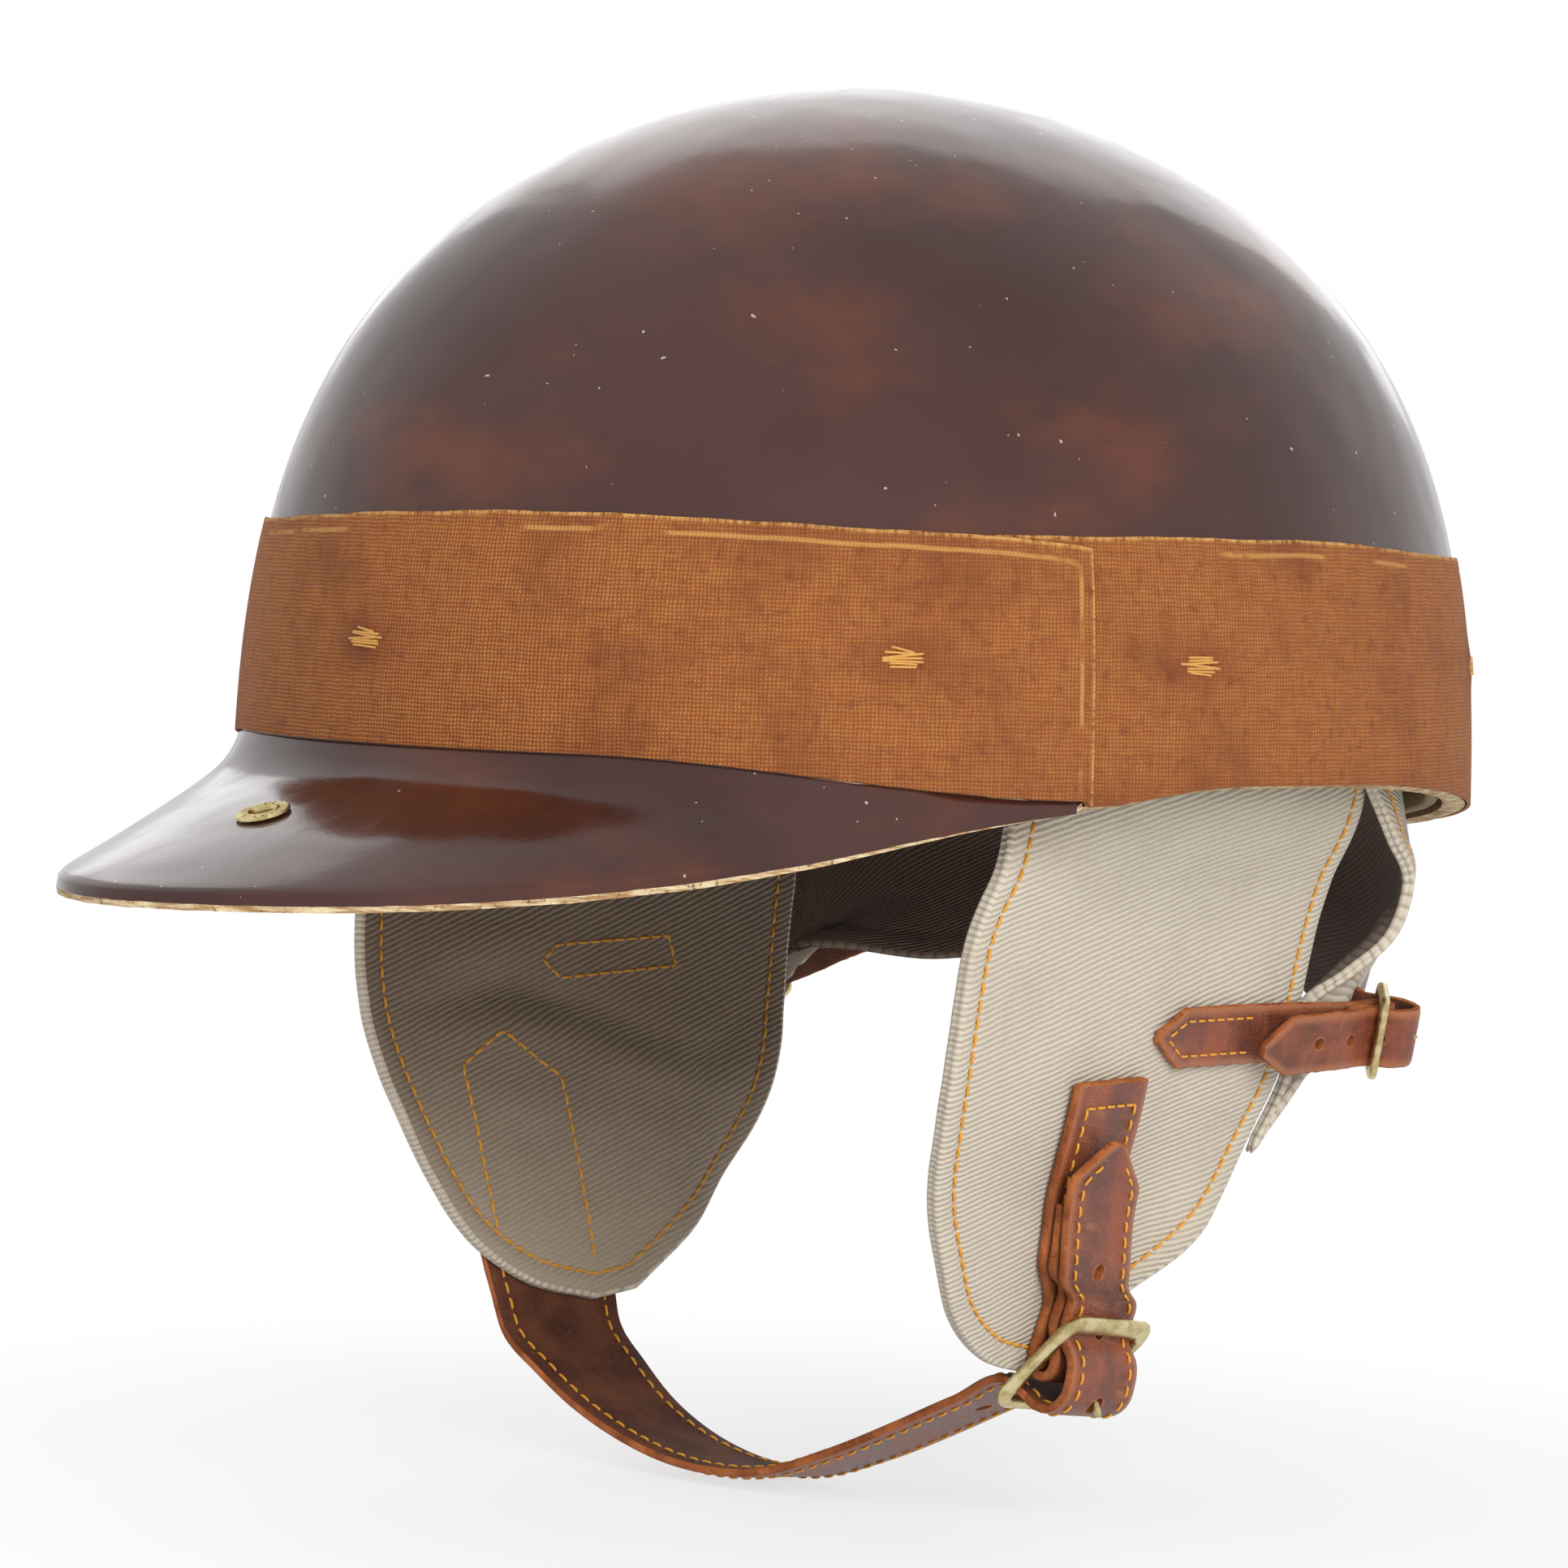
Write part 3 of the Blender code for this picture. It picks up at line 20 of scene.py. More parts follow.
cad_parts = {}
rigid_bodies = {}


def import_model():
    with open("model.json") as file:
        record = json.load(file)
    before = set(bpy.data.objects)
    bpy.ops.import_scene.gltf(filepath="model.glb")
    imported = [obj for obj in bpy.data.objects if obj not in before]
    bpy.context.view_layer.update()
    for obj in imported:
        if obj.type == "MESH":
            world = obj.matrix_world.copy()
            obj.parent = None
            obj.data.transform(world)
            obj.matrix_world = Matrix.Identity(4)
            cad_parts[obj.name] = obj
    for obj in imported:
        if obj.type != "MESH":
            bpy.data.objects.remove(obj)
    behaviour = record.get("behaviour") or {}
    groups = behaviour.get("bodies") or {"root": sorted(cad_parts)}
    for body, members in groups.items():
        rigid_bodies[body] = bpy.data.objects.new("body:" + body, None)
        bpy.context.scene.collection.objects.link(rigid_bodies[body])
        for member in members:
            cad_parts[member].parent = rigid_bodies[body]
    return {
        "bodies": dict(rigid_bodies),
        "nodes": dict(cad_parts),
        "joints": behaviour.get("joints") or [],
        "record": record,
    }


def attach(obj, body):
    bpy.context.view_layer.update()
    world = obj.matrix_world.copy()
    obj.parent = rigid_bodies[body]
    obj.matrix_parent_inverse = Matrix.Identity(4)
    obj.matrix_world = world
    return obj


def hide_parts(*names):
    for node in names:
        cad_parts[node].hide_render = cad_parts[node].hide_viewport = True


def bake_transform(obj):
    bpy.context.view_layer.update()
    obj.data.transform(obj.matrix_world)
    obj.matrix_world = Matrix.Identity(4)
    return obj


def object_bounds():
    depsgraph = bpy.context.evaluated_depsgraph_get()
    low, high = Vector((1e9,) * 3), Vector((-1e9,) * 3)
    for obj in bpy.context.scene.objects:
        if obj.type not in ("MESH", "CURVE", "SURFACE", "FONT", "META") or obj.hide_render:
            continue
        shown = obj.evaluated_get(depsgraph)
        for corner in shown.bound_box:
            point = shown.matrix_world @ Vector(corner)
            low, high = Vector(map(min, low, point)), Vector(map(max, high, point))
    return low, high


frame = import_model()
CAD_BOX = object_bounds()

log = logging.getLogger("helmet")

MM = 0.001
GAP = 0.3 * MM
Grid = np.ndarray
Colour = tuple[float, float, float, float]
WHITE = (1.0, 1.0, 1.0, 1.0)


class Side(Enum):
    """The two sides of the helmet, with the sign of their X."""

    LEFT = 1
    RIGHT = -1

    @property
    def word(self) -> str:
        """The side's name in nodes and bodies."""
        return self.name.lower()


def rgb(red: int, green: int, blue: int) -> Colour:
    """A linear colour from screen values.

    Args:
        red: Red from 0 to 255.
        green: Green from 0 to 255.
        blue: Blue from 0 to 255.

    Returns:
        The colour as four linear channels.
    """
    shares = [value / 255 for value in (red, green, blue)]
    linear = [s / 12.92 if s <= 0.04045 else ((s + 0.055) / 1.055) ** 2.4 for s in shares]
    return (linear[0], linear[1], linear[2], 1.0)


# Curves


def smooth_step(value: float) -> float:
    """0 below 0, 1 above 1 and an even curve between them."""
    share = min(max(value, 0.0), 1.0)
    return share * share * (3.0 - 2.0 * share)


def even(points: Sequence, count: int) -> Grid:
    """Evenly spaced points on a run of straight pieces.

    Args:
        points: The run's points.
        count: How many points to return.

    Returns:
        An array of count points.
    """
    run = np.array(points, dtype=float)
    steps = np.linalg.norm(np.diff(run, axis=0), axis=1)
    length = np.concatenate([[0], np.cumsum(steps)])
    places = np.linspace(0, length[-1], count)
    return np.stack([np.interp(places, length, run[:, k]) for k in range(run.shape[1])], axis=1)


def spline(points: Sequence, count: int) -> Grid:
    """Evenly spaced points on a smooth curve through the given points.

    Args:
        points: The points that the curve passes.
        count: How many points to return.

    Returns:
        An array of count points.
    """
    knots = np.array(points, dtype=float)
    spans = np.linalg.norm(np.diff(knots, axis=0), axis=1)[:, None]
    slopes = np.diff(knots, axis=0) / spans
    inner = (slopes[:-1] * spans[1:] + slopes[1:] * spans[:-1]) / (spans[1:] + spans[:-1])
    tangents = np.vstack([slopes[:1], inner, slopes[-1:]])
    fine = []
    for k in range(len(spans)):
        for t in np.linspace(0, 1, 24, endpoint=False):
            start = knots[k] * (1 + 2 * t) * (1 - t) ** 2 + tangents[k] * spans[k] * t * (1 - t) ** 2
            end = knots[k + 1] * t**2 * (3 - 2 * t) + tangents[k + 1] * spans[k] * t**2 * (t - 1)
            fine.append(start + end)
    fine.append(knots[-1])
    return even(fine, count)


def path_lengths(points: Grid) -> Grid:
    """Length along a run of points, at each of them."""
    steps = np.linalg.norm(np.diff(points, axis=0), axis=1)
    return np.concatenate([[0], np.cumsum(steps)])


def sample(here: float, lengths: Grid, rows: Grid) -> Grid:
    """A row read between the rows, at a length along them."""
    return np.array([np.interp(here, lengths, column) for column in rows.T])


def unit(vectors: Grid) -> Grid:
    """Vectors scaled to length 1 along the last axis."""
    return vectors / np.maximum(np.linalg.norm(vectors, axis=-1, keepdims=True), 1e-12)


def ruffle(place: Iterable[float], size: float, seed: float = 0.0) -> float:
    """Smooth noise from -1 to 1.

    Args:
        place: Where it is read, in metres.
        size: The noise's grain, in metres.
        seed: Moves the noise, so that pieces differ.

    Returns:
        The noise's value.
    """
    return noise.noise(Vector(place) / size + Vector((seed, seed * 1.7, -seed)))


# Shader expressions


@dataclass(frozen=True)
class Channel:
    """A shader socket in an expression: each operator adds a Math node."""

    tree: "Tree"
    socket: bpy.types.NodeSocket

    def _math(self, operation: str, first: "Value", second: "Value" = 0.0) -> "Channel":
        """Adds one Math node."""
        return self.tree.node("ShaderNodeMath", {"operation": operation}, {0: first, 1: second})

    def __add__(self, other: "Value") -> "Channel":
        """self + other."""
        return self._math("ADD", self, other)

    def __radd__(self, other: float) -> "Channel":
        """other + self."""
        return self._math("ADD", other, self)

    def __sub__(self, other: "Value") -> "Channel":
        """self - other."""
        return self._math("SUBTRACT", self, other)

    def __rsub__(self, other: float) -> "Channel":
        """other - self."""
        return self._math("SUBTRACT", other, self)

    def __mul__(self, other: "Value") -> "Channel":
        """self * other."""
        return self._math("MULTIPLY", self, other)

    def __rmul__(self, other: float) -> "Channel":
        """other * self."""
        return self._math("MULTIPLY", other, self)

    def wave(self, pitch: float) -> "Channel":
        """A sine from 0 to 1 along this length, one wave per pitch metres."""
        return self._math("SINE", self * (2 * pi / pitch)) * 0.5 + 0.5

    def most(self, other: "Value") -> "Channel":
        """The greater of the two."""
        return self._math("MAXIMUM", self, other)

    def between(self, low: float, high: float) -> "Channel":
        """0 below low, 1 above high and smooth between; low may be the greater."""
        inputs = {"Value": self, "From Min": low, "From Max": high}
        return self.tree.node("ShaderNodeMapRange", {"interpolation_type": "SMOOTHSTEP"}, inputs)


Value = Channel | float


class Tree:
    """A tree of shader nodes under construction."""

    def __init__(self, tree: bpy.types.NodeTree) -> None:
        """Takes up the tree."""
        self.tree = tree

    def node(
        self,
        kind: str,
        settings: dict[str, object] | None = None,
        inputs: dict[int | str, object] | None = None,
        output: int | str = 0,
    ) -> Channel:
        """Adds a node.

        Args:
            kind: The node's type.
            settings: Its properties.
            inputs: Values or channels for its sockets.
            output: The socket to return.

        Returns:
            The chosen output.
        """
        made = self.tree.nodes.new(kind)
        for name, value in (settings or {}).items():
            setattr(made, name, value)
        for key, value in (inputs or {}).items():
            self.feed(made.inputs[key], value)
        return Channel(self, made.outputs[output])

    def feed(self, target: bpy.types.NodeSocket, value: object) -> None:
        """Links a channel to a socket, or sets the socket to a value.

        Args:
            target: The socket.
            value: A channel or a plain value.
        """
        if isinstance(value, Channel):
            self.tree.links.new(value.socket, target)
        else:
            target.default_value = value

    def ray(self, kind: str) -> Channel:
        """1 for rays of one kind, such as Camera or Glossy, and 0 for others."""
        return self.node("ShaderNodeLightPath", output=f"Is {kind} Ray")

    def show(self, share: Channel, first: Channel, second: Channel) -> None:
        """Mixes two shaders into what the tree gives out.

        Args:
            share: How much of the second shows.
            first: A shader.
            second: A shader.
        """
        both = self.node("ShaderNodeMixShader", inputs={0: share, 1: first, 2: second})
        for node in self.tree.nodes:
            if node.type.startswith("OUTPUT"):
                self.tree.links.new(both.socket, node.inputs["Surface"])


class Paint(Tree):
    """One material under construction."""

    def __init__(self, name: str) -> None:
        """Starts a material.

        Args:
            name: The material's name.
        """
        self.material = bpy.data.materials.new(name)
        self.material.use_nodes = True
        super().__init__(self.material.node_tree)
        self.shader = self.tree.nodes["Principled BSDF"]

    def mix(self, share: Value, first: object, second: object) -> Channel:
        """Mixes two colours.

        Args:
            share: How much of the second shows.
            first: A colour or channel.
            second: A colour or channel.

        Returns:
            The mixed colour.
        """
        return self.node("ShaderNodeMix", {"data_type": "RGBA"}, {0: share, 6: first, 7: second}, 2)

    def cloth_place(self) -> Channel:
        """The place on the unrolled sheet, in metres."""
        return self.node("ShaderNodeUVMap", {"uv_map": "Cloth"})

    def place(self) -> Channel:
        """The place in space, in metres."""
        return self.node("ShaderNodeTexCoord", output="Object")

    def axes(self, vector: Channel) -> tuple[Channel, Channel]:
        """The first two axes of a vector."""
        split = self.node("ShaderNodeSeparateXYZ", inputs={0: vector})
        return split, Channel(self, split.socket.node.outputs["Y"])

    def stretched(self, vector: Channel, scale: tuple[float, float, float]) -> Channel:
        """A vector scaled on each axis."""
        return self.node("ShaderNodeMapping", inputs={"Vector": vector, "Scale": scale})

    def noise(self, vector: Channel, grain: float, detail: float = 2.0, rough: float = 0.5) -> Channel:
        """Noise from 0 to 1.

        Args:
            vector: The place.
            grain: The noise's size in metres.
            detail: Octaves of finer noise.
            rough: Weight of the finer noise.

        Returns:
            The noise.
        """
        inputs = {"Vector": vector, "Scale": 1 / grain, "Detail": detail, "Roughness": rough}
        return self.node("ShaderNodeTexNoise", inputs=inputs)

    def attribute(self, name: str) -> Channel:
        """A number kept at the mesh's points."""
        return self.node("ShaderNodeAttribute", {"attribute_name": name}, output="Fac")

    def wear(self) -> Channel:
        """The distance to the piece's nearest edge, in metres."""
        return self.attribute("edge")

    def bump(self, height: Channel, depth: float, strength: float = 1.0) -> Channel:
        """A normal from a height from 0 to 1 and its depth in metres."""
        inputs = {"Height": height, "Distance": depth, "Strength": strength}
        return self.node("ShaderNodeBump", inputs=inputs, output="Normal")

    def glow(self, share: Channel, colour: Colour) -> bpy.types.Material:
        """Sets an even finish that plain white light replaces by a share.

        Args:
            share: How much of it is light.
            colour: The finish's colour.

        Returns:
            The material.
        """
        self.finish(Base_Color=colour, Roughness=0.9)
        light = self.node("ShaderNodeEmission", inputs={"Color": WHITE, "Strength": 1.0})
        self.show(share, Channel(self, self.shader.outputs[0]), light)
        return self.material

    def finish(self, **sockets: object) -> bpy.types.Material:
        """Sets the shader's sockets; underscores stand for spaces.

        Args:
            sockets: Values or channels by socket name.

        Returns:
            The finished material.
        """
        for key, value in sockets.items():
            self.feed(self.shader.inputs[key.replace("_", " ")], value)
        return self.material


# Finishes


@dataclass(frozen=True)
class Varnish:
    """Dark varnish over moulded laminate, cloudy and glossy."""

    deep: Colour = rgb(54, 25, 20)
    plum: Colour = rgb(68, 38, 33)
    ember: Colour = rgb(112, 54, 26)
    roughness: float = 0.14

    def material(self) -> bpy.types.Material:
        """Builds the varnished face's shader.

        Returns:
            The material.
        """
        paint = Paint("varnished_shell")
        where = paint.place()
        clouds = paint.noise(where, 0.075, 3.0, 0.55)
        streaks = paint.noise(paint.stretched(where, (1.0, 1.0, 1.8)), 0.06, 4.0, 0.6)
        base = paint.mix(clouds.between(0.36, 0.64), self.deep, self.plum)
        warm = streaks.between(0.44, 0.74) * 0.62
        base = paint.mix(warm, base, self.ember)
        dust = paint.noise(where, 0.0013, 0.0).between(0.868, 0.876)
        base = paint.mix(dust * 0.65, base, rgb(205, 190, 180))
        swell = paint.noise(where, 0.022, 1.0)
        grain = paint.noise(where, 0.0012, 1.0)
        fine = grain * 0.02 + swell
        scuff = paint.noise(paint.stretched(where, (3.0, 1.0, 1.0)), 0.02, 5.0, 0.7)
        rough = scuff.between(0.45, 0.75) * 0.1 + self.roughness
        return paint.finish(
            Base_Color=base,
            Roughness=rough,
            Normal=paint.bump(fine, 0.0011, 0.6),
            IOR=1.45,
        )

    def edge(self) -> bpy.types.Material:
        """Builds the raw laminate at the cut edge, pale and layered.

        Returns:
            The material.
        """
        paint = Paint("laminate_edge")
        where = paint.place()
        plies = paint.noise(paint.stretched(where, (1.0, 1.0, 9.0)), 0.006, 3.0, 0.6)
        crumbs = paint.noise(where, 0.0016, 2.0, 0.6)
        base = paint.mix(plies.between(0.35, 0.65), rgb(168, 128, 84), rgb(226, 206, 166))
        base = paint.mix(crumbs.between(0.55, 0.75), base, rgb(112, 70, 42))
        return paint.finish(Base_Color=base, Roughness=0.85, Normal=paint.bump(plies + crumbs, 0.0007))

    def inside(self) -> bpy.types.Material:
        """Builds the raw inner face of shell and peak: brown laminate with its cloth showing through.

        Returns:
            The material.
        """
        paint = Paint("laminate_inside")
        where = paint.place()
        cloth = paint.noise(where, 0.0011, 1.0)
        stain = paint.noise(where, 0.04, 3.0, 0.6)
        base = paint.mix(stain.between(0.35, 0.65), rgb(112, 76, 50), rgb(150, 108, 70))
        base = paint.mix(cloth.between(0.4, 0.7) * 0.5, base, rgb(86, 54, 36))
        return paint.finish(Base_Color=base, Roughness=0.7, Normal=paint.bump(cloth, 0.0004))


@dataclass(frozen=True)
class Linen:
    """Plain-woven linen, soaked with orange-brown varnish."""

    pitch: float = 0.72 * MM
    body: Colour = rgb(172, 100, 52)
    # Gold threads, with a painted highlight on the weave's raised crossings.
    gold: Colour = rgb(200, 138, 70)
    stain: Colour = rgb(116, 60, 38)

    def material(self) -> bpy.types.Material:
        """Builds the woven face's shader.

        Returns:
            The material.
        """
        paint = Paint("orange_linen")
        where = paint.cloth_place()
        drift = paint.noise(where, 0.004, 2.0)
        along, up = paint.axes(where)
        along = along + drift * 0.0009
        up = up + drift * 0.0007
        warp, weft = along.wave(self.pitch), up.wave(self.pitch)
        over = paint.noise(paint.stretched(where, (1.0, 0.12, 1.0)), 0.0008, 1.0)
        under = paint.noise(paint.stretched(where, (0.12, 1.0, 1.0)), 0.0008, 1.0)
        threads = over * 0.5 + under * 0.5
        knots = warp * weft
        pores = knots.between(0.25, 0.0)
        clouds = paint.noise(where, 0.03, 4.0, 0.62)
        blots = paint.noise(where, 0.003, 3.0, 0.7)
        # The gold is partly the threads' own tone and partly a painted highlight on the raised crossings of
        # the weave.
        base = paint.mix(threads.between(0.4, 0.62) * 0.35 + knots * 0.55, self.body, self.gold)
        base = paint.mix(clouds.between(0.46, 0.68) * 0.55, base, self.stain)
        base = paint.mix(blots.between(0.5, 0.72) * 0.5, base, self.stain)
        base = paint.mix(pores * 0.7, base, rgb(108, 54, 28))
        fold = paint.wear()
        line = fold.between(0.0009, 0.0002) * threads.between(0.35, 0.6)
        base = paint.mix(line * 0.75, base, rgb(222, 172, 98))
        crease = fold.between(0.0022, 0.0026) * fold.between(0.0034, 0.003) * clouds.between(0.46, 0.54)
        base = paint.mix(crease * 0.55, base, rgb(220, 166, 92))
        bruise = paint.attribute("stain")
        base = paint.mix(bruise * (blots * 0.5 + 0.6), base, rgb(112, 50, 34))
        ribs = knots + threads * 0.6
        return paint.finish(
            Base_Color=base,
            Roughness=0.72,
            Normal=paint.bump(ribs, 0.0003, 1.0),
            Specular_IOR_Level=0.35,
        )


@dataclass(frozen=True)
class Felt:
    """Dense olive felt."""

    dark: Colour = rgb(140, 122, 90)
    pale: Colour = rgb(182, 164, 126)

    def material(self) -> bpy.types.Material:
        """Builds the felt's shader.

        Returns:
            The material.
        """
        paint = Paint("olive_felt")
        where = paint.place()
        tufts = paint.noise(where, 0.0009, 4.0, 0.7)
        clouds = paint.noise(where, 0.012, 2.0)
        base = paint.mix(tufts * 0.6 + clouds * 0.4, self.dark, self.pale)
        return paint.finish(Base_Color=base, Roughness=0.95, Normal=paint.bump(tufts, 0.0006))


@dataclass(frozen=True)
class Twill:
    """Grey-khaki cotton twill with slanting ribs."""

    name: str = "khaki_twill"
    rib: float = 1.12 * MM
    slant: float = -14.0
    pale: Colour = rgb(215, 204, 186)
    shade: Colour = rgb(160, 147, 127)
    # How much painted light lightens a lining towards its bottom.
    fade: float = 0.0

    def material(self) -> bpy.types.Material:
        """Builds the twill face's shader.

        Returns:
            The material.
        """
        paint = Paint(self.name)
        where = paint.cloth_place()
        along, up = paint.axes(where)
        drift = paint.noise(where, 0.006, 2.0) * 0.0006
        lean = radians(self.slant)
        across = along * -sin(lean) + up * cos(lean) + drift
        ribs = across.wave(self.rib)
        run = along * cos(lean) + up * sin(lean)
        beads = run.wave(self.rib * 0.55)
        groove = ribs.between(0.42, 0.0)
        clouds = paint.noise(where, 0.02, 4.0, 0.6)
        lint = paint.noise(paint.stretched(where, (1.0, 0.15, 1.0)), 0.0016, 2.0)
        base = paint.mix(groove * (beads * 0.35 + 0.45), self.pale, self.shade)
        base = paint.mix(clouds.between(0.42, 0.72) * 0.16, base, self.shade)
        base = paint.mix(lint.between(0.5, 0.75) * 0.2, base, self.pale)
        # Painted light: the lower part of a lining is lightened for the light that reaches it there.
        if self.fade:
            painted_light = (up + clouds * 0.03).between(0.06, 0.125) * self.fade
            base = paint.mix(painted_light, base, rgb(214, 199, 176))
        relief = ribs + beads * 0.25
        return paint.finish(
            Base_Color=base,
            Roughness=0.9,
            Normal=paint.bump(relief, 0.00032, 0.9),
            Sheen_Weight=0.15,
            Specular_IOR_Level=0.25,
        )


@dataclass(frozen=True)
class Leather:
    """Oiled leather: a glossy grain side, a dark flesh side and a raw cut edge."""

    dark: Colour = rgb(98, 46, 27)
    red: Colour = rgb(144, 74, 46)
    rubbed: Colour = rgb(186, 116, 72)

    def grain(self) -> bpy.types.Material:
        """Builds the outer side's shader.

        Returns:
            The material.
        """
        paint = Paint("brown_leather")
        where = paint.cloth_place()
        pores = paint.node(
            "ShaderNodeTexVoronoi", {"feature": "DISTANCE_TO_EDGE"}, {"Vector": where, "Scale": 1500.0}
        )
        clouds = paint.noise(where, 0.012, 4.0, 0.6)
        creases = paint.noise(paint.stretched(where, (1.0, 0.35, 1.0)), 0.004, 5.0, 0.65)
        base = paint.mix(clouds.between(0.36, 0.66), self.dark, self.red)
        base = paint.mix(creases.between(0.56, 0.74) * 0.45, base, self.rubbed)
        base = paint.mix(paint.wear().between(0.0022, 0.0002) * 0.55, base, self.rubbed)
        scratches = paint.noise(paint.stretched(where, (6.0, 0.5, 1.0)), 0.006, 3.0, 0.7)
        base = paint.mix(scratches.between(0.66, 0.72) * 0.35, base, rgb(206, 142, 102))
        relief = pores.between(0.0, 0.25) * 0.35 + creases
        rough = clouds.between(0.3, 0.7) * 0.14 + 0.36
        return paint.finish(
            Base_Color=base, Roughness=rough, Normal=paint.bump(relief, 0.00035, 0.8), Coat_Weight=0.06
        )

    def flesh(self) -> bpy.types.Material:
        """Builds the inner side's shader.

        Returns:
            The material.
        """
        paint = Paint("leather_flesh_side")
        where = paint.cloth_place()
        nap = paint.noise(where, 0.0012, 4.0, 0.7)
        clouds = paint.noise(where, 0.01, 3.0)
        base = paint.mix(clouds.between(0.35, 0.65), rgb(78, 44, 32), rgb(108, 64, 44))
        base = paint.mix(nap.between(0.5, 0.7) * 0.4, base, rgb(132, 82, 56))
        return paint.finish(Base_Color=base, Roughness=0.85, Normal=paint.bump(nap, 0.0005))

    def cut(self) -> bpy.types.Material:
        """Builds the raw edge's shader.

        Returns:
            The material.
        """
        paint = Paint("leather_cut_edge")
        where = paint.place()
        fibres = paint.noise(where, 0.0012, 4.0, 0.75)
        clouds = paint.noise(where, 0.006, 2.0)
        base = paint.mix(clouds.between(0.3, 0.7), rgb(140, 74, 38), rgb(190, 112, 62))
        base = paint.mix(fibres.between(0.52, 0.7) * 0.6, base, rgb(96, 48, 26))
        return paint.finish(Base_Color=base, Roughness=0.85, Normal=paint.bump(fibres, 0.0007))


@dataclass(frozen=True)
class Brass:
    """Aged brass, rubbed pale on its high places."""

    olive: Colour = rgb(178, 160, 106)
    rubbed: Colour = rgb(222, 208, 160)

    def material(self) -> bpy.types.Material:
        """Builds the metal's shader.

        Returns:
            The material.
        """
        paint = Paint("antique_brass")
        where = paint.place()
        stain = paint.noise(where, 0.004, 4.0, 0.65)
        scratch = paint.noise(paint.stretched(where, (4.0, 1.0, 1.0)), 0.002, 4.0, 0.7)
        base = paint.mix(stain.between(0.36, 0.62), self.olive, self.rubbed)
        base = paint.mix(scratch.between(0.6, 0.72) * 0.4, base, rgb(116, 98, 56))
        rough = stain.between(0.3, 0.7) * 0.12 + 0.28
        return paint.finish(
            Base_Color=base, Metallic=1.0, Roughness=rough, Normal=paint.bump(scratch, 0.00012, 0.7)
        )


@dataclass(frozen=True)
class Thread:
    """Waxed sewing thread."""

    name: str = "yellow_thread"
    pale: Colour = rgb(240, 178, 62)
    dark: Colour = rgb(205, 130, 30)

    def material(self) -> bpy.types.Material:
        """Builds the thread's shader.

        Returns:
            The material.
        """
        paint = Paint(self.name)
        where = paint.place()
        twist = paint.noise(where, 0.0006, 1.0)
        clouds = paint.noise(where, 0.01, 2.0)
        base = paint.mix(twist * 0.5 + clouds * 0.5, self.dark, self.pale)
        return paint.finish(Base_Color=base, Roughness=0.55, Normal=paint.bump(twist, 0.0002))


class Finishes:
    """Every material, made once."""

    def __init__(self) -> None:
        """Makes the materials."""
        varnish, leather = Varnish(), Leather()
        self.varnish = varnish.material()
        self.laminate_edge = varnish.edge()
        self.laminate_inside = varnish.inside()
        self.linen = Linen().material()
        self.felt = Felt().material()
        self.near_twill = Twill().material()
        self.far_twill = Twill("khaki_twill_far", slant=-21.0).material()
        # Painted shade: the flap linings get darker, browner twill colours for the shade on the flaps' inner
        # faces.
        worn = rgb(152, 134, 116), rgb(98, 82, 68)
        self.near_lining = Twill("near_twill_lining", 1.12 * MM, -14.0, *worn, 0.5).material()
        self.far_lining = Twill("far_twill_lining", 1.12 * MM, -21.0, *worn, 0.5).material()
        self.curtain_twill = Twill("khaki_twill_curtain", slant=-24.0).material()
        # Painted shade: the curtain's inner face gets dark brown twill colours for the shadow inside the
        # curtain.
        shades = rgb(122, 104, 92), rgb(74, 60, 52)
        self.curtain_lining = Twill("dark_twill_lining", 1.12 * MM, -24.0, *shades).material()
        self.grain = leather.grain()
        self.flesh = leather.flesh()
        self.cut = leather.cut()
        self.brass = Brass().material()
        self.thread = Thread().material()
        self.cord = Thread("pale_cord", rgb(236, 188, 104), rgb(176, 112, 50)).material()

    def leather(self) -> list[bpy.types.Material]:
        """Grain side, flesh side and cut edge, in a panel's order."""
        return [self.grain, self.flesh, self.cut]


# Meshes

SHARP = 50.0


def soften(mesh: bpy.types.Mesh, sharp: float = SHARP) -> None:
    """Shades a mesh smooth but for edges above an angle in degrees."""
    mesh.shade_smooth()
    mesh.set_sharp_from_angle(angle=radians(sharp))


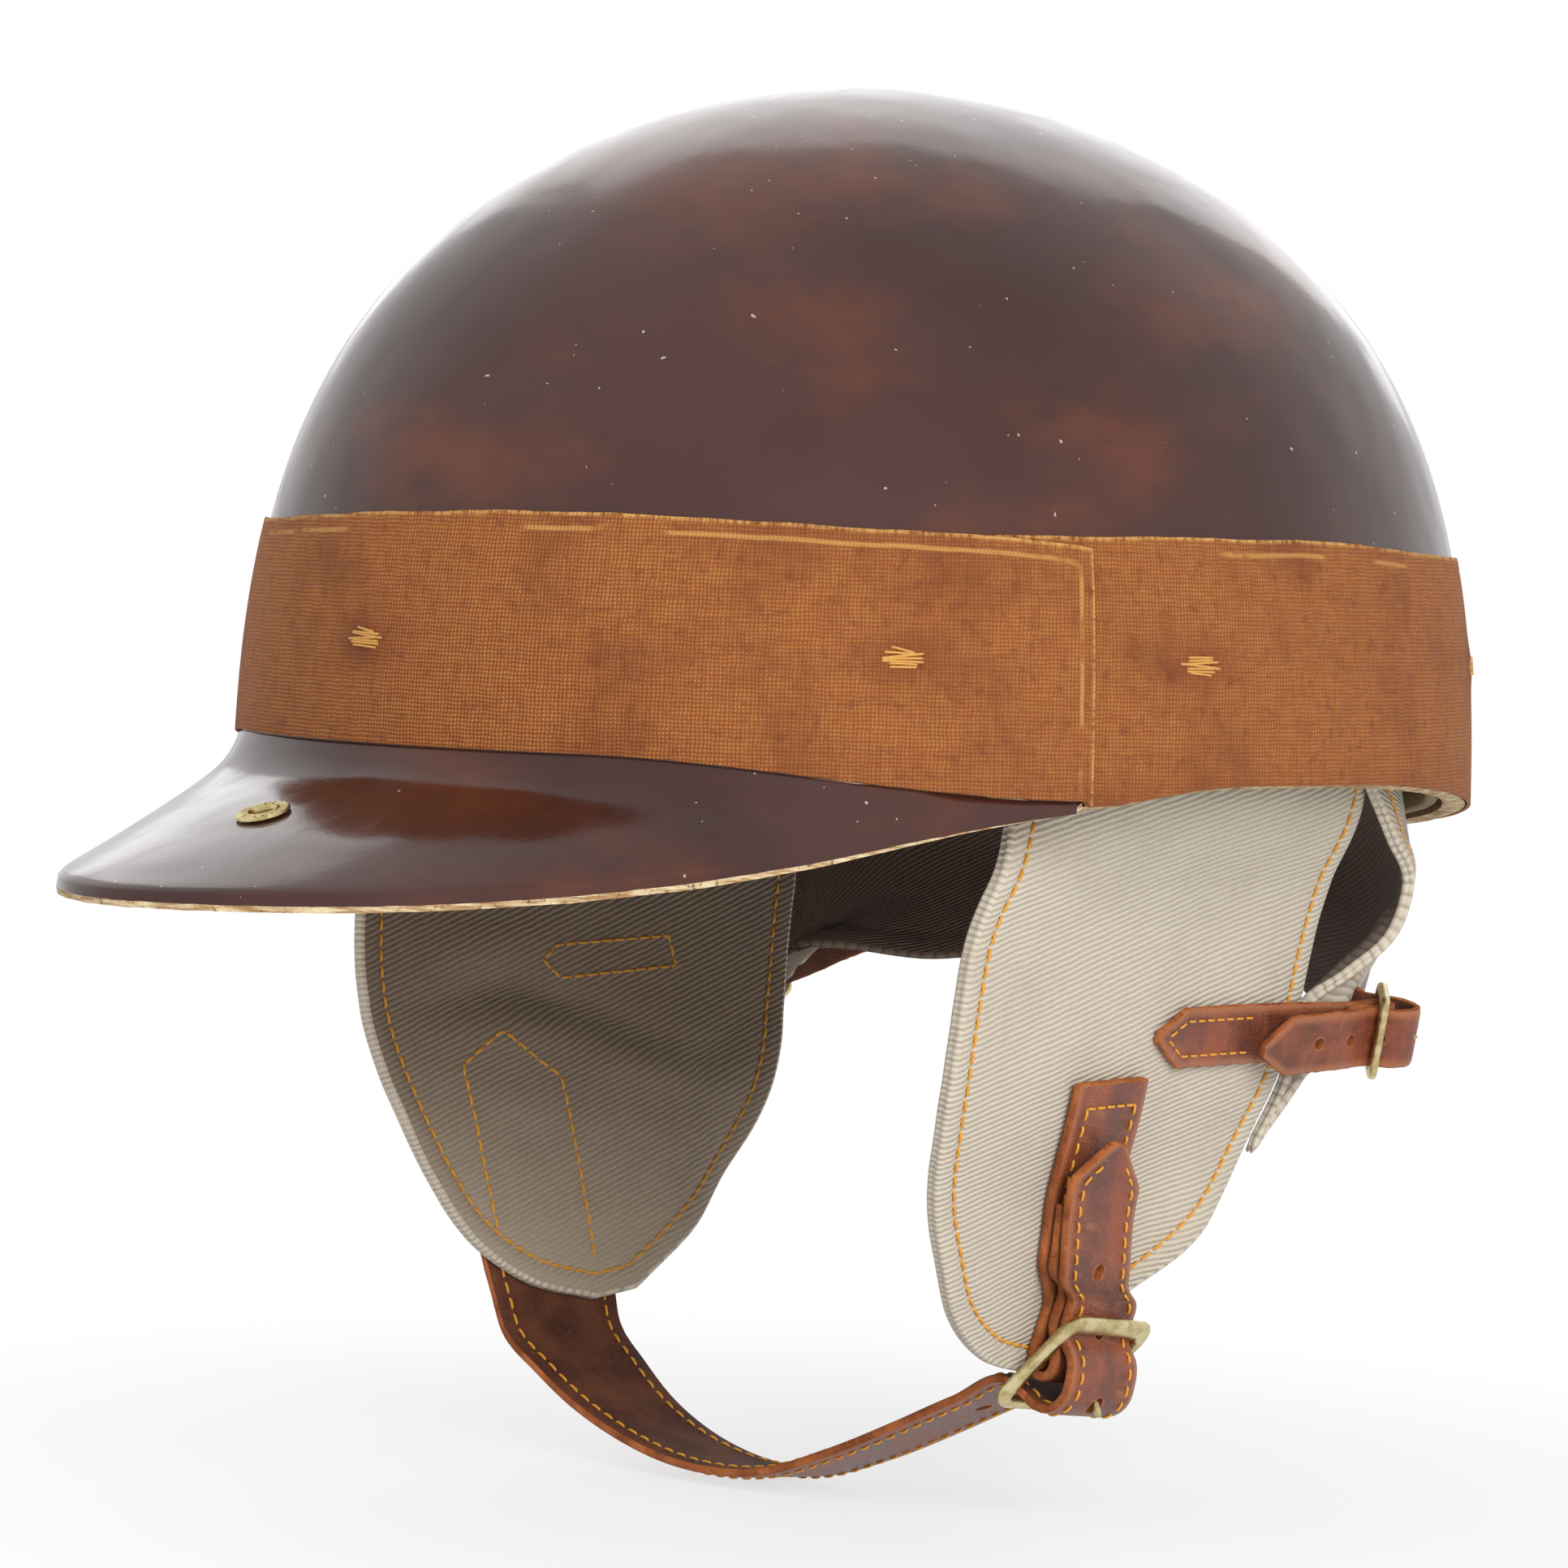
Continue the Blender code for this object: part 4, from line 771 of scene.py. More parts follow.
@dataclass
class Draft:
    """Points and faces collected before they become one piece."""

    points: list[Sequence[float]] = field(default_factory=list)
    faces: list[tuple[int, ...]] = field(default_factory=list)
    slots: list[int] = field(default_factory=list)
    cloth: list[tuple[float, float]] = field(default_factory=list)
    edge: list[float] = field(default_factory=list)

    def add(self, points: Grid, cloth: Grid | None = None, edge: Grid | None = None) -> int:
        """Adds points.

        Args:
            points: The points, one per row.
            cloth: Their places on the unrolled sheet.
            edge: Their distances to the piece's edge.

        Returns:
            The first point's number.
        """
        first = len(self.points)
        count = len(points)
        self.points.extend(map(tuple, points))
        self.cloth.extend(map(tuple, cloth) if cloth is not None else [(0.0, 0.0)] * count)
        self.edge.extend(edge if edge is not None else [1.0] * count)
        return first

    def face(self, corners: tuple[int, ...], slot: int = 0) -> None:
        """Adds a face with one of the piece's materials."""
        self.faces.append(corners)
        self.slots.append(slot)

    def tube(self, rings: Sequence[int], sides: int, closed: bool = False) -> None:
        """Joins rings of points into a tube with flat ends, or into a closed loop.

        Args:
            rings: The first point's number in each ring.
            sides: Points in a ring.
            closed: Whether the last ring joins the first.
        """
        following = [*rings[1:], rings[0]] if closed else rings[1:]
        for here, there in zip(rings, following):
            for k in range(sides):
                m = (k + 1) % sides
                self.face((here + k, here + m, there + m, there + k))
        if not closed:
            self.face(tuple(rings[0] + k for k in reversed(range(sides))))
            self.face(tuple(rings[-1] + k for k in range(sides)))

    def piece(self, name: str, materials: list[bpy.types.Material], sharp: float = SHARP) -> bpy.types.Object:
        """Makes the object.

        Args:
            name: The piece's name.
            materials: Its materials, in slot order.
            sharp: The angle in degrees above which an edge stays sharp.

        Returns:
            The new object.
        """
        mesh = bpy.data.meshes.new(name)
        mesh.from_pydata(self.points, [], self.faces)
        for material in materials:
            mesh.materials.append(material)
        mesh.polygons.foreach_set("material_index", self.slots)
        corners = np.zeros(len(mesh.loops), dtype=np.int32)
        mesh.loops.foreach_get("vertex_index", corners)
        layer = mesh.uv_layers.new(name="Cloth")
        layer.data.foreach_set("uv", np.array(self.cloth, dtype=np.float32)[corners].ravel())
        worn = mesh.attributes.new("edge", "FLOAT", "POINT")
        worn.data.foreach_set("value", np.array(self.edge, dtype=np.float32))
        mesh.validate()
        shape = bmesh.new()
        shape.from_mesh(mesh)
        bmesh.ops.recalc_face_normals(shape, faces=shape.faces)
        shape.to_mesh(mesh)
        shape.free()
        soften(mesh, sharp)
        piece = bpy.data.objects.new(name, mesh)
        bpy.context.scene.collection.objects.link(piece)
        return piece


def cell(row: int, after: int, column: int, columns: int) -> tuple[int, int, int, int]:
    """The corners of a grid's cell between two rows, by their numbers."""
    here, there = row * columns + column, after * columns + column
    return here, there, there + 1, here + 1


@dataclass
class Panel:
    """A closed sheet about a grid of points, its edges rounded.

    The faces lie lift outside and under inside the grid; slots are outer, inner and edge.
    """

    middle: Grid
    lift: float | Grid
    under: float | Grid
    wrap: bool = False
    missing: frozenset[tuple[int, int]] = frozenset()
    cloth: Grid | None = None
    edge: Grid | None = None
    ways: Grid | None = None
    flat_rows: frozenset[int] = frozenset()
    bulge: float = 0.5
    notch: float = 0.0
    rough: float = 0.0
    arc: int = 4
    slots: tuple[int, int, int] = (0, 1, 2)

    def normals(self) -> Grid:
        """Works out the outward direction at each grid point.

        Returns:
            The directions, unit long.
        """
        if self.ways is not None:
            return self.ways
        grid = self.middle
        if self.wrap:
            ahead = np.roll(grid, -1, axis=0) - np.roll(grid, 1, axis=0)
        else:
            ahead = np.gradient(grid, axis=0)
        return unit(np.cross(ahead, np.gradient(grid, axis=1)))

    def draft(self, into: Draft | None = None) -> Draft:
        """Builds the sheet.

        Args:
            into: A draft to add to.

        Returns:
            The draft with the sheet.
        """
        draft = into or Draft()
        grid, normals = self.middle, self.normals()
        rows, columns = grid.shape[:2]
        lift = np.broadcast_to(np.array(self.lift, dtype=float), (rows, columns))[..., None]
        under = np.broadcast_to(np.array(self.under, dtype=float), (rows, columns))[..., None]
        outer, inner = grid + normals * lift, grid - normals * under
        cloth = self.cloth if self.cloth is not None else self._measured()
        flat = cloth.reshape(-1, 2)
        edge = None if self.edge is None else self.edge.ravel()
        top = draft.add(outer.reshape(-1, 3), flat, edge)
        low = draft.add(inner.reshape(-1, 3), flat, edge)
        last = rows if self.wrap else rows - 1
        cells = {(i, j) for i in range(last) for j in range(columns - 1)} - self.missing
        directed: dict[tuple[int, int], None] = {}
        for i, j in sorted(cells):
            ring = cell(i, (i + 1) % rows, j, columns)
            draft.face(tuple(top + r for r in ring), self.slots[0])
            draft.face(tuple(low + r for r in reversed(ring)), self.slots[1])
            for a, b in zip(ring, ring[1:] + ring[:1]):
                directed[(a, b)] = None
        rim = [pair for pair in directed if (pair[1], pair[0]) not in directed]
        outs: dict[int, Grid] = {}
        middles, ways = grid.reshape(-1, 3), normals.reshape(-1, 3)
        for a, b in rim:
            out = unit(np.cross(middles[b] - middles[a], ways[a]))
            share = 0.0 if {a // columns, b // columns} <= self.flat_rows else 1.0
            outs[a] = outs.get(a, 0) + out * share
            outs[b] = outs.get(b, 0) + out * share
        arcs = {}
        for number, out in outs.items():
            high, deep = outer.reshape(-1, 3)[number], inner.reshape(-1, 3)[number]
            centre, half = (high + deep) / 2, (high - deep) / 2
            reach = np.linalg.norm(half) * self.bulge
            reach += self.rough * ruffle(centre, 0.0011, 3.0) if self.rough else 0.0
            bend = []
            for step in range(1, self.arc):
                angle = pi * step / self.arc
                dent = 1 - self.notch * exp(-(((angle - pi / 2) / 0.3) ** 2))
                bend.append(centre + half * cos(angle) + unit(out) * reach * sin(angle) * dent)
            places = np.repeat(flat[number][None], len(bend), axis=0)
            first = draft.add(np.array(bend), places, [0.0] * len(bend))
            arcs[number] = [top + number, *range(first, first + len(bend)), low + number]
        for a, b in rim:
            for step in range(self.arc):
                ring = (arcs[b][step], arcs[a][step], arcs[a][step + 1], arcs[b][step + 1])
                draft.face(ring, self.slots[2])
        return draft

    def _measured(self) -> Grid:
        """Works out places on the unrolled sheet, by length along the middle column and row.

        Returns:
            Two lengths for each grid point.
        """
        grid = self.middle
        rows, columns = grid.shape[:2]
        down = path_lengths(grid[:, columns // 2])
        across = np.stack([path_lengths(row) - path_lengths(row)[-1] / 2 for row in grid])
        return np.stack([np.broadcast_to(down[:, None], (rows, columns)), across], axis=2)


@dataclass
class Seam:
    """A run of stitches along a path on a surface."""

    pitch: float = 3.0 * MM
    share: float = 0.78
    radius: float = 0.26 * MM

    def sew(self, draft: Draft, path: Grid, normals: Grid) -> None:
        """Adds one thread loop for each stitch.

        Args:
            draft: Where the loops go.
            path: The seam's points on the surface.
            normals: The surface's outward direction at each.
        """
        lengths = path_lengths(path)
        count = max(int(lengths[-1] / self.pitch), 1)
        step = lengths[-1] / count

        def at(length: float) -> tuple[Grid, Grid]:
            """The seam's place and the surface's direction at a length."""
            return sample(length, lengths, path), unit(sample(length, lengths, normals))

        for number in range(count):
            middle = (number + 0.5) * step
            half = step * self.share / 2
            rings = []
            for share, rise in ((-1.0, -0.9), (-0.72, 0.45), (0.0, 0.75), (0.72, 0.45), (1.0, -0.9)):
                place, normal = at(middle + half * share)
                onward, back = at(middle + half * share + 0.2 * MM), at(middle + half * share - 0.2 * MM)
                ahead = unit(onward[0] - back[0])
                aside = unit(np.cross(ahead, normal))
                centre = place + normal * rise * self.radius
                turns = [2 * pi * k / 6 for k in range(6)]
                ring = [centre + self.radius * (cos(a) * aside + sin(a) * normal) for a in turns]
                rings.append(draft.add(np.array(ring)))
            draft.tube(rings, 6)


def bar(
    draft: Draft,
    points: Grid,
    plane: Grid,
    wide: float | Sequence[float],
    thick: float | Sequence[float],
    closed: bool = False,
    sides: int = 14,
    square: float = 1.0,
) -> None:
    """Adds a bar along a route.

    Args:
        draft: Where it goes.
        points: The route.
        plane: The direction square to the route's plane.
        wide: Half size along plane, for all points or for each.
        thick: Half size in the route's plane.
        closed: Whether the route is a ring.
        sides: Corners of the section.
        square: 1 for an oval section, less for a boxy one.
    """
    count = len(points)
    wides = np.broadcast_to(np.array(wide, dtype=float), count)
    thicks = np.broadcast_to(np.array(thick, dtype=float), count)
    rings = []
    for k in range(count):
        before = points[k - 1] if k or closed else points[k]
        after = points[(k + 1) % count] if k < count - 1 or closed else points[k]
        aside = unit(np.cross(plane, after - before))
        ring = []
        for n in range(sides):
            angle = 2 * pi * (n + 0.5) / sides
            c, s = cos(angle), sin(angle)
            c, s = abs(c) ** square * (1 if c > 0 else -1), abs(s) ** square * (1 if s > 0 else -1)
            ring.append(points[k] + thicks[k] * c * aside + wides[k] * s * plane)
        rings.append(draft.add(np.array(ring)))
    draft.tube(rings, sides, closed)


def turned(
    draft: Draft, outline: Sequence, place: Grid, axis: Grid, slot: int = 0, segments: int = 40
) -> None:
    """Adds a solid turned about an axis.

    Args:
        draft: Where it goes.
        outline: Radius and height pairs; a closed ring if it never meets the axis.
        place: The foot of the axis.
        axis: The axis.
        slot: The material's slot.
        segments: Corners round the axis.
    """
    turn = Vector((0, 0, 1)).rotation_difference(Vector(axis)).to_matrix()
    ring_shape = outline[0][0] > 0
    rings = []
    for radius, height in outline:
        if radius <= 0:
            centre = Vector(place) + turn @ Vector((0, 0, height))
            rings.append([draft.add(np.array([centre]))] * segments)
            continue
        ring = []
        for n in range(segments):
            angle = 2 * pi * n / segments
            ring.append(Vector(place) + turn @ Vector((radius * cos(angle), radius * sin(angle), height)))
        first = draft.add(np.array(ring))
        rings.append(list(range(first, first + segments)))
    for k in range(len(rings) if ring_shape else len(rings) - 1):
        here, there = rings[k], rings[(k + 1) % len(rings)]
        for n in range(segments):
            m = (n + 1) % segments
            corners = dict.fromkeys((here[n], here[m], there[m], there[n]))
            draft.face(tuple(corners), slot)


def bore(piece: bpy.types.Object, rods: Sequence[tuple[Grid, Grid, float]], slot: int) -> None:
    """Cuts round holes through a piece.

    Args:
        piece: The piece, whose mesh is replaced.
        rods: Each hole's start, end and radius.
        slot: The material slot of the holes' walls.
    """
    draft = Draft()
    for start, end, radius in rods:
        length = float(np.linalg.norm(end - start))
        outline = [(0, 0), (radius, 0), (radius, length), (0, length)]
        turned(draft, outline, start, unit(end - start), slot, 20)
    tool = draft.piece("hole_tool", list(piece.data.materials))
    cut = piece.modifiers.new("holes", "BOOLEAN")
    cut.object = tool
    cut.operation = "DIFFERENCE"
    cut.solver = "EXACT"
    view = bpy.context.evaluated_depsgraph_get()
    mesh = bpy.data.meshes.new_from_object(piece.evaluated_get(view))
    piece.modifiers.clear()
    old = piece.data
    piece.data = mesh
    bpy.data.meshes.remove(old)
    bpy.data.objects.remove(tool)
    mesh.name = piece.name
    soften(mesh)


def settle(piece: bpy.types.Object, slot: str, body: str, *nodes: str) -> None:
    """Gives a finished piece its body and hides the solids that it stands for.

    Args:
        piece: The piece.
        slot: Not used.
        body: The body that it rides on.
        nodes: The solids that it stands for.
    """
    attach(piece, body)
    if nodes:
        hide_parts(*nodes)
    log.info("%s: %d faces on %s", piece.name, len(piece.data.polygons), body)


def stretch(
    piece: bpy.types.Object, slot: str, bodies: tuple[str, str], start: Sequence, end: Sequence, *nodes: str
) -> None:
    """Bakes a piece that spans two bodies into place and hides the solids that it stands for.

    Args:
        piece: The piece.
        slot: Not used.
        bodies: The body at each end.
        start: Not used.
        end: Not used.
        nodes: The solids that it stands for.
    """
    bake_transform(piece)
    if nodes:
        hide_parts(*nodes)
    log.info("%s: %d faces between %s and %s", piece.name, len(piece.data.polygons), *bodies)


# Shell and headwear sizes


@dataclass(frozen=True)
class Dome:
    """The shell's form, which the band, lining, peak and curtain also follow."""

    half_width: float = 109.0 * MM
    half_length: float = 131.0 * MM
    height: float = 131.0 * MM
    drop: float = 24.6 * MM
    wall: float = 4.5 * MM
    rise_power: float = 3.14
    spread_power: float = 1.88
    rim_dip: float = 4.0 * MM
    dip_angle: float = 68.0
    dip_spread: float = 9.0
    nape_drop: float = 14.0 * MM
    nape_start: float = 95.0
    head_half_width: float = 83.0 * MM
    head_half_length: float = 104.0 * MM
    head_squareness: float = 2.7

    def rim(self, angle: float) -> float:
        """Height of the rim at an angle.

        Args:
            angle: Degrees from the front, towards the left.

        Returns:
            The height.
        """
        off = abs((angle + 180.0) % 360.0 - 180.0)
        dip = self.rim_dip * exp(-(((off - self.dip_angle) / self.dip_spread) ** 2))
        back = max(0.0, (off - self.nape_start) / (180.0 - self.nape_start))
        return -dip - self.nape_drop * sin(pi / 2 * back) ** 2

    def at(self, angle: float, height: float, inset: float = 0.0) -> Grid:
        """A point on the shell's outer face.

        Args:
            angle: Degrees round from the front.
            height: Height of the point.
            inset: How far inside the outer face it lies.

        Returns:
            The point.
        """
        reach = self.height + self.drop - inset
        share = min(max((height + self.drop) / reach, 0.0), 1.0)
        spread = (1.0 - share**self.rise_power) ** (1.0 / self.spread_power)
        wide = (self.half_width - inset) * spread
        long = (self.half_length - inset) * spread
        return np.array((wide * sin(radians(angle)), -long * cos(radians(angle)), height))

    def column(self, angle: float, inset: float, top: float, low_rows: int, rows: int) -> Grid:
        """Points up one side, from the rim to the crown.

        Args:
            angle: Degrees from the front, towards the left.
            inset: Distance inside the outer face.
            top: Height where the even steps end and the lean steps begin.
            low_rows: Steps below that height.
            rows: Steps above it.

        Returns:
            The points.
        """
        low = self.rim(angle)
        points = [self.at(angle, low + (top - low) * k / low_rows, inset) for k in range(low_rows)]
        reach = self.height + self.drop - inset
        start = np.arcsin(((top + self.drop) / reach) ** (self.rise_power / 2))
        for k in range(rows + 1):
            lean = start + (pi / 2 - start) * k / rows
            points.append(self.at(angle, reach * sin(lean) ** (2 / self.rise_power) - self.drop, inset))
        return np.array(points)

    def head_width(self, back: float, offset: float = 0.0) -> float:
        """Half width of the headband's outer face.

        Args:
            back: Distance back from the middle.
            offset: Distance outside the face.

        Returns:
            The half width.
        """
        share = min(abs(back) / (self.head_half_length + offset), 1.0)
        power = self.head_squareness
        return (self.head_half_width + offset) * (1 - share**power) ** (1 / power)

    def head(self, angle: float, height: float, offset: float = 0.0) -> Grid:
        """A point on the headband's outer face, or outside it.

        Args:
            angle: Degrees from the front, towards the left.
            height: Its height.
            offset: Distance outside the face.

        Returns:
            The point.
        """
        turn = radians(angle)
        power = 2 / self.head_squareness
        wide = (self.head_half_width + offset) * abs(sin(turn)) ** power
        long = (self.head_half_length + offset) * abs(cos(turn)) ** power
        return np.array((wide * (1 if sin(turn) >= 0 else -1), -long * (1 if cos(turn) >= 0 else -1), height))


DOME = Dome()


@dataclass
class Shell:
    """The moulded half shell and the felt strip inside its rim."""

    finishes: Finishes
    step: int = 2
    low_rows: int = 12
    rows: int = 44
    band_top: float = 43.5 * MM
    lining_thickness: float = 3.0 * MM
    lining_height: float = 34.0 * MM
    reveal: float = 1.5 * MM

    def build(self) -> None:
        """Builds the shell and its lining."""
        angles = range(0, 360, self.step)
        outer = np.array([DOME.column(a, 0.0, self.band_top, self.low_rows, self.rows) for a in angles])
        inner = np.array([DOME.column(a, DOME.wall, self.band_top, self.low_rows, self.rows) for a in angles])
        draft = Draft()
        columns = outer.shape[1] - 1
        top = draft.add(outer[:, :-1].reshape(-1, 3))
        low = draft.add(inner[:, :-1].reshape(-1, 3))
        crown = draft.add(np.array([outer[0, -1], inner[0, -1]]))
        middle = draft.add((outer[:, 0] + inner[:, 0]) / 2 - np.array((0, 0, 0.8 * MM)))
        count = len(outer)
        for i in range(count):
            k = (i + 1) % count
            for j in range(columns - 1):
                ring = cell(i, k, j, columns)
                draft.face(tuple(top + r for r in ring), 0)
                draft.face(tuple(low + r for r in reversed(ring)), 1)
            last_i, last_k = i * columns + columns - 1, k * columns + columns - 1
            draft.face((top + last_i, top + last_k, crown), 0)
            draft.face((low + last_k, low + last_i, crown + 1), 1)
            draft.face((top + k * columns, top + i * columns, middle + i, middle + k), 2)
            draft.face((middle + k, middle + i, low + i * columns, low + k * columns), 2)
        materials = [self.finishes.varnish, self.finishes.laminate_inside, self.finishes.laminate_edge]
        settle(draft.piece("varnished_half_shell", materials), "varnished_shell", "helmet", "shell")
        self._line()

    def _line(self) -> None:
        """Builds the felt strip."""
        inset = DOME.wall + 2 * GAP + self.lining_thickness / 2
        rows = []
        for angle in range(0, 360, self.step):
            low = DOME.rim(angle) + self.reveal
            waver = 0.4 * MM * ruffle(DOME.at(angle, 0), 0.02, 5.0)
            heights = np.linspace(low, self.lining_height + waver, 14)
            rows.append([DOME.at(angle, h, inset) for h in heights])
        panel = Panel(np.array(rows), self.lining_thickness / 2, self.lining_thickness / 2, wrap=True)
        panel.slots = (0, 0, 0)
        piece = panel.draft().piece("felt_rim_strip", [self.finishes.felt])
        settle(piece, "olive_felt", "helmet", "rim_lining")


@dataclass
class LinenBand:
    """The linen strip round the shell, its end lapped over its start, with the knots through it."""

    finishes: Finishes
    thickness: float = 0.8 * MM
    waver: tuple = (0.25 * MM, 0.12 * MM)
    start_angle: float = 60.0
    end_angle: float = 428.5
    lap_angle: float = 413.0
    peak_edge: float = 68.0
    top: tuple = (
        (60, 43.5), (78, 44.3), (96, 44.6), (118, 42.6), (180, 41.5), (250, 42.6), (337, 42.3), (357, 43.8),
        (375, 45.1), (389, 45.0), (404, 44.3), (418, 43.3), (428.5, 41.8),
    )
    knot_height: float = 21.5 * MM
    knot_angles: tuple = (0, 52, 79, 130, 180, -130, -79, -52)

    def build(self, peak: "Peak") -> None:
        """Builds the strip and the knots.

        Args:
            peak: The peak that the strip's lower edge follows in front.
        """
        stations, levels = zip(*self.top)
        edge = self.peak_edge
        corners = [self.start_angle, edge, edge + 0.4, self.lap_angle, self.end_angle]
        corners += [360 - edge - 0.4, 360 - edge, 360 + edge]
        angles = sorted(set(np.arange(self.start_angle, self.end_angle, 1.5)) | set(corners))
        lap = self.thickness + GAP
        rows, lifts, unders, cloth, worn = [], [], [], [], []
        along = 0.0
        before = None
        for angle in angles:
            off = abs((angle + 180.0) % 360.0 - 180.0)
            span = 360 + self.start_angle - 2 - self.lap_angle
            over = smooth_step((angle - self.lap_angle) / span)
            bottom = peak.root(off) + GAP if off <= edge else DOME.rim(angle)
            top = float(np.interp(angle, stations, levels)) * MM
            top += self.waver[0] * ruffle((along, 0, 0), 0.012, 1.0)
            top += self.waver[1] * ruffle((along, 0, 0), 0.0015, 2.0)
            shares = self._shares()
            heights = bottom + (top - bottom) * shares
            line = [DOME.at(angle, h) for h in heights]
            middle = line[len(line) // 2]
            along += float(np.linalg.norm(middle - before)) if before is not None else 0.0
            before = middle
            rows.append(line)
            lift = GAP + lap * over
            swell = [self._swell(angle, h) for h in heights]
            lifts.append([lift + self.thickness + s for s in swell])
            unders.append([-lift] * len(line))
            cloth.append([(along, h) for h in heights])
            worn.append([min(top - h, along) for h in heights])
        total = cloth[-1][0][0]
        worn = [[min(w, total - cloth[k][0][0]) for w in row] for k, row in enumerate(worn)]
        panel = Panel(np.array(rows), np.array(lifts), np.array(unders), cloth=np.array(cloth))
        panel.edge, panel.bulge, panel.arc, panel.slots = np.array(worn), 0.3, 3, (0, 0, 0)
        piece = panel.draft().piece("linen_strip", [self.finishes.linen])
        self._stain(piece)
        settle(piece, "orange_linen", "helmet", "linen_band")
        for number, angle in enumerate(self.knot_angles, 1):
            self._knot(number, angle)

    def _stain(self, piece: bpy.types.Object) -> None:
        """Marks the dark bruises round the knots and the darker lower edge.

        Args:
            piece: The band's object.
        """
        knots = [DOME.at(angle, self.knot_height) for angle in self.knot_angles]
        marks = []
        for vertex in piece.data.vertices:
            place = np.array(vertex.co)
            near = min(float(np.linalg.norm((place - knot) * (1.0, 1.0, 1.7))) for knot in knots)
            mark = 0.75 * exp(-((near / (7.5 * MM)) ** 2))
            low = smooth_step((8 * MM - place[2]) / (12 * MM)) * 0.25
            marks.append(min(mark + low, 1.0))
        layer = piece.data.attributes.new("stain", "FLOAT", "POINT")
        layer.data.foreach_set("value", np.array(marks, dtype=np.float32))

    @staticmethod
    def _shares() -> Grid:
        """Places up the strip, closer together at its edges."""
        inner = np.linspace(0.03, 0.97, 22)
        return np.concatenate([[0.0, 0.012], inner, [0.988, 1.0]])

    def _swell(self, angle: float, height: float) -> float:
        """How far the cloth stands out: soft waves and a mound over each knot.

        Args:
            angle: Degrees from the front, towards the left.
            height: Height of the place.

        Returns:
            The distance.
        """
        place = DOME.at(angle, height)
        wave = 0.10 * MM * ruffle(place, 0.03, 4.0)
        for knot in self.knot_angles:
            turn = (angle - knot + 180.0) % 360.0 - 180.0
            reach = hypot(turn / 3.0, (height - self.knot_height) / (4.0 * MM))
            wave += 0.55 * MM * exp(-(reach**2))
        return wave

    def _knot(self, number: int, angle: float) -> None:
        """Builds one tied cord: frayed threads outside, a shank and a knot inside.

        Args:
            number: The knot's number.
            angle: Degrees from the front, towards the left.
        """
        outer = DOME.at(angle, self.knot_height, -self.thickness - GAP)
        along = unit(DOME.at(angle + 1, self.knot_height) - DOME.at(angle - 1, self.knot_height))
        rise = DOME.at(angle, self.knot_height + MM) - DOME.at(angle, self.knot_height - MM)
        inward = unit(np.cross(rise, along))
        up = unit(rise)
        draft = Draft()
        for k in range(7):
            shift = (k - 3) * 0.5 * MM + 0.2 * MM * ruffle((k * 0.01, number, 0), 0.004)
            lean = 0.8 * MM * ruffle((k * 0.02, 3, number), 0.01, 2.0)
            half = (4.3 - 0.6 * abs(k - 3)) * MM
            half *= 1 + 0.4 * ruffle((k, number, 1), 0.7, 1.0)
            path = []
            for t in np.linspace(-1, 1, 9):
                dip = 0.55 * MM * (1 - t * t) ** 0.5 - 0.25 * MM
                path.append(outer + along * half * t + up * (shift + lean * t) - inward * (dip + 0.35 * MM))
            bar(draft, np.array(path), up, 0.24 * MM, 0.24 * MM, sides=6)
        stack = self.thickness + DOME.wall + 6.8 * MM
        shank, knot, thick = 1.1 * MM, 3.2 * MM, 1.3 * MM
        cord = [(0, -0.2 * MM), (shank, -0.2 * MM), (shank, stack), (0, stack)]
        turned(draft, cord, outer, inward, 0, 12)
        bead = [(0, stack - 0.3 * MM)]
        bead += [(knot * sin(a), stack + thick * 0.7 - thick * cos(a)) for a in np.linspace(0.5, pi - 0.4, 8)]
        bead += [(0, stack + thick * 1.7)]
        turned(draft, bead, outer, inward, 0, 20)
        piece = draft.piece(f"cradle_knot_{number}", [self.finishes.cord])
        settle(piece, "pale_cord", "helmet", f"cradle_anchor_{number}")


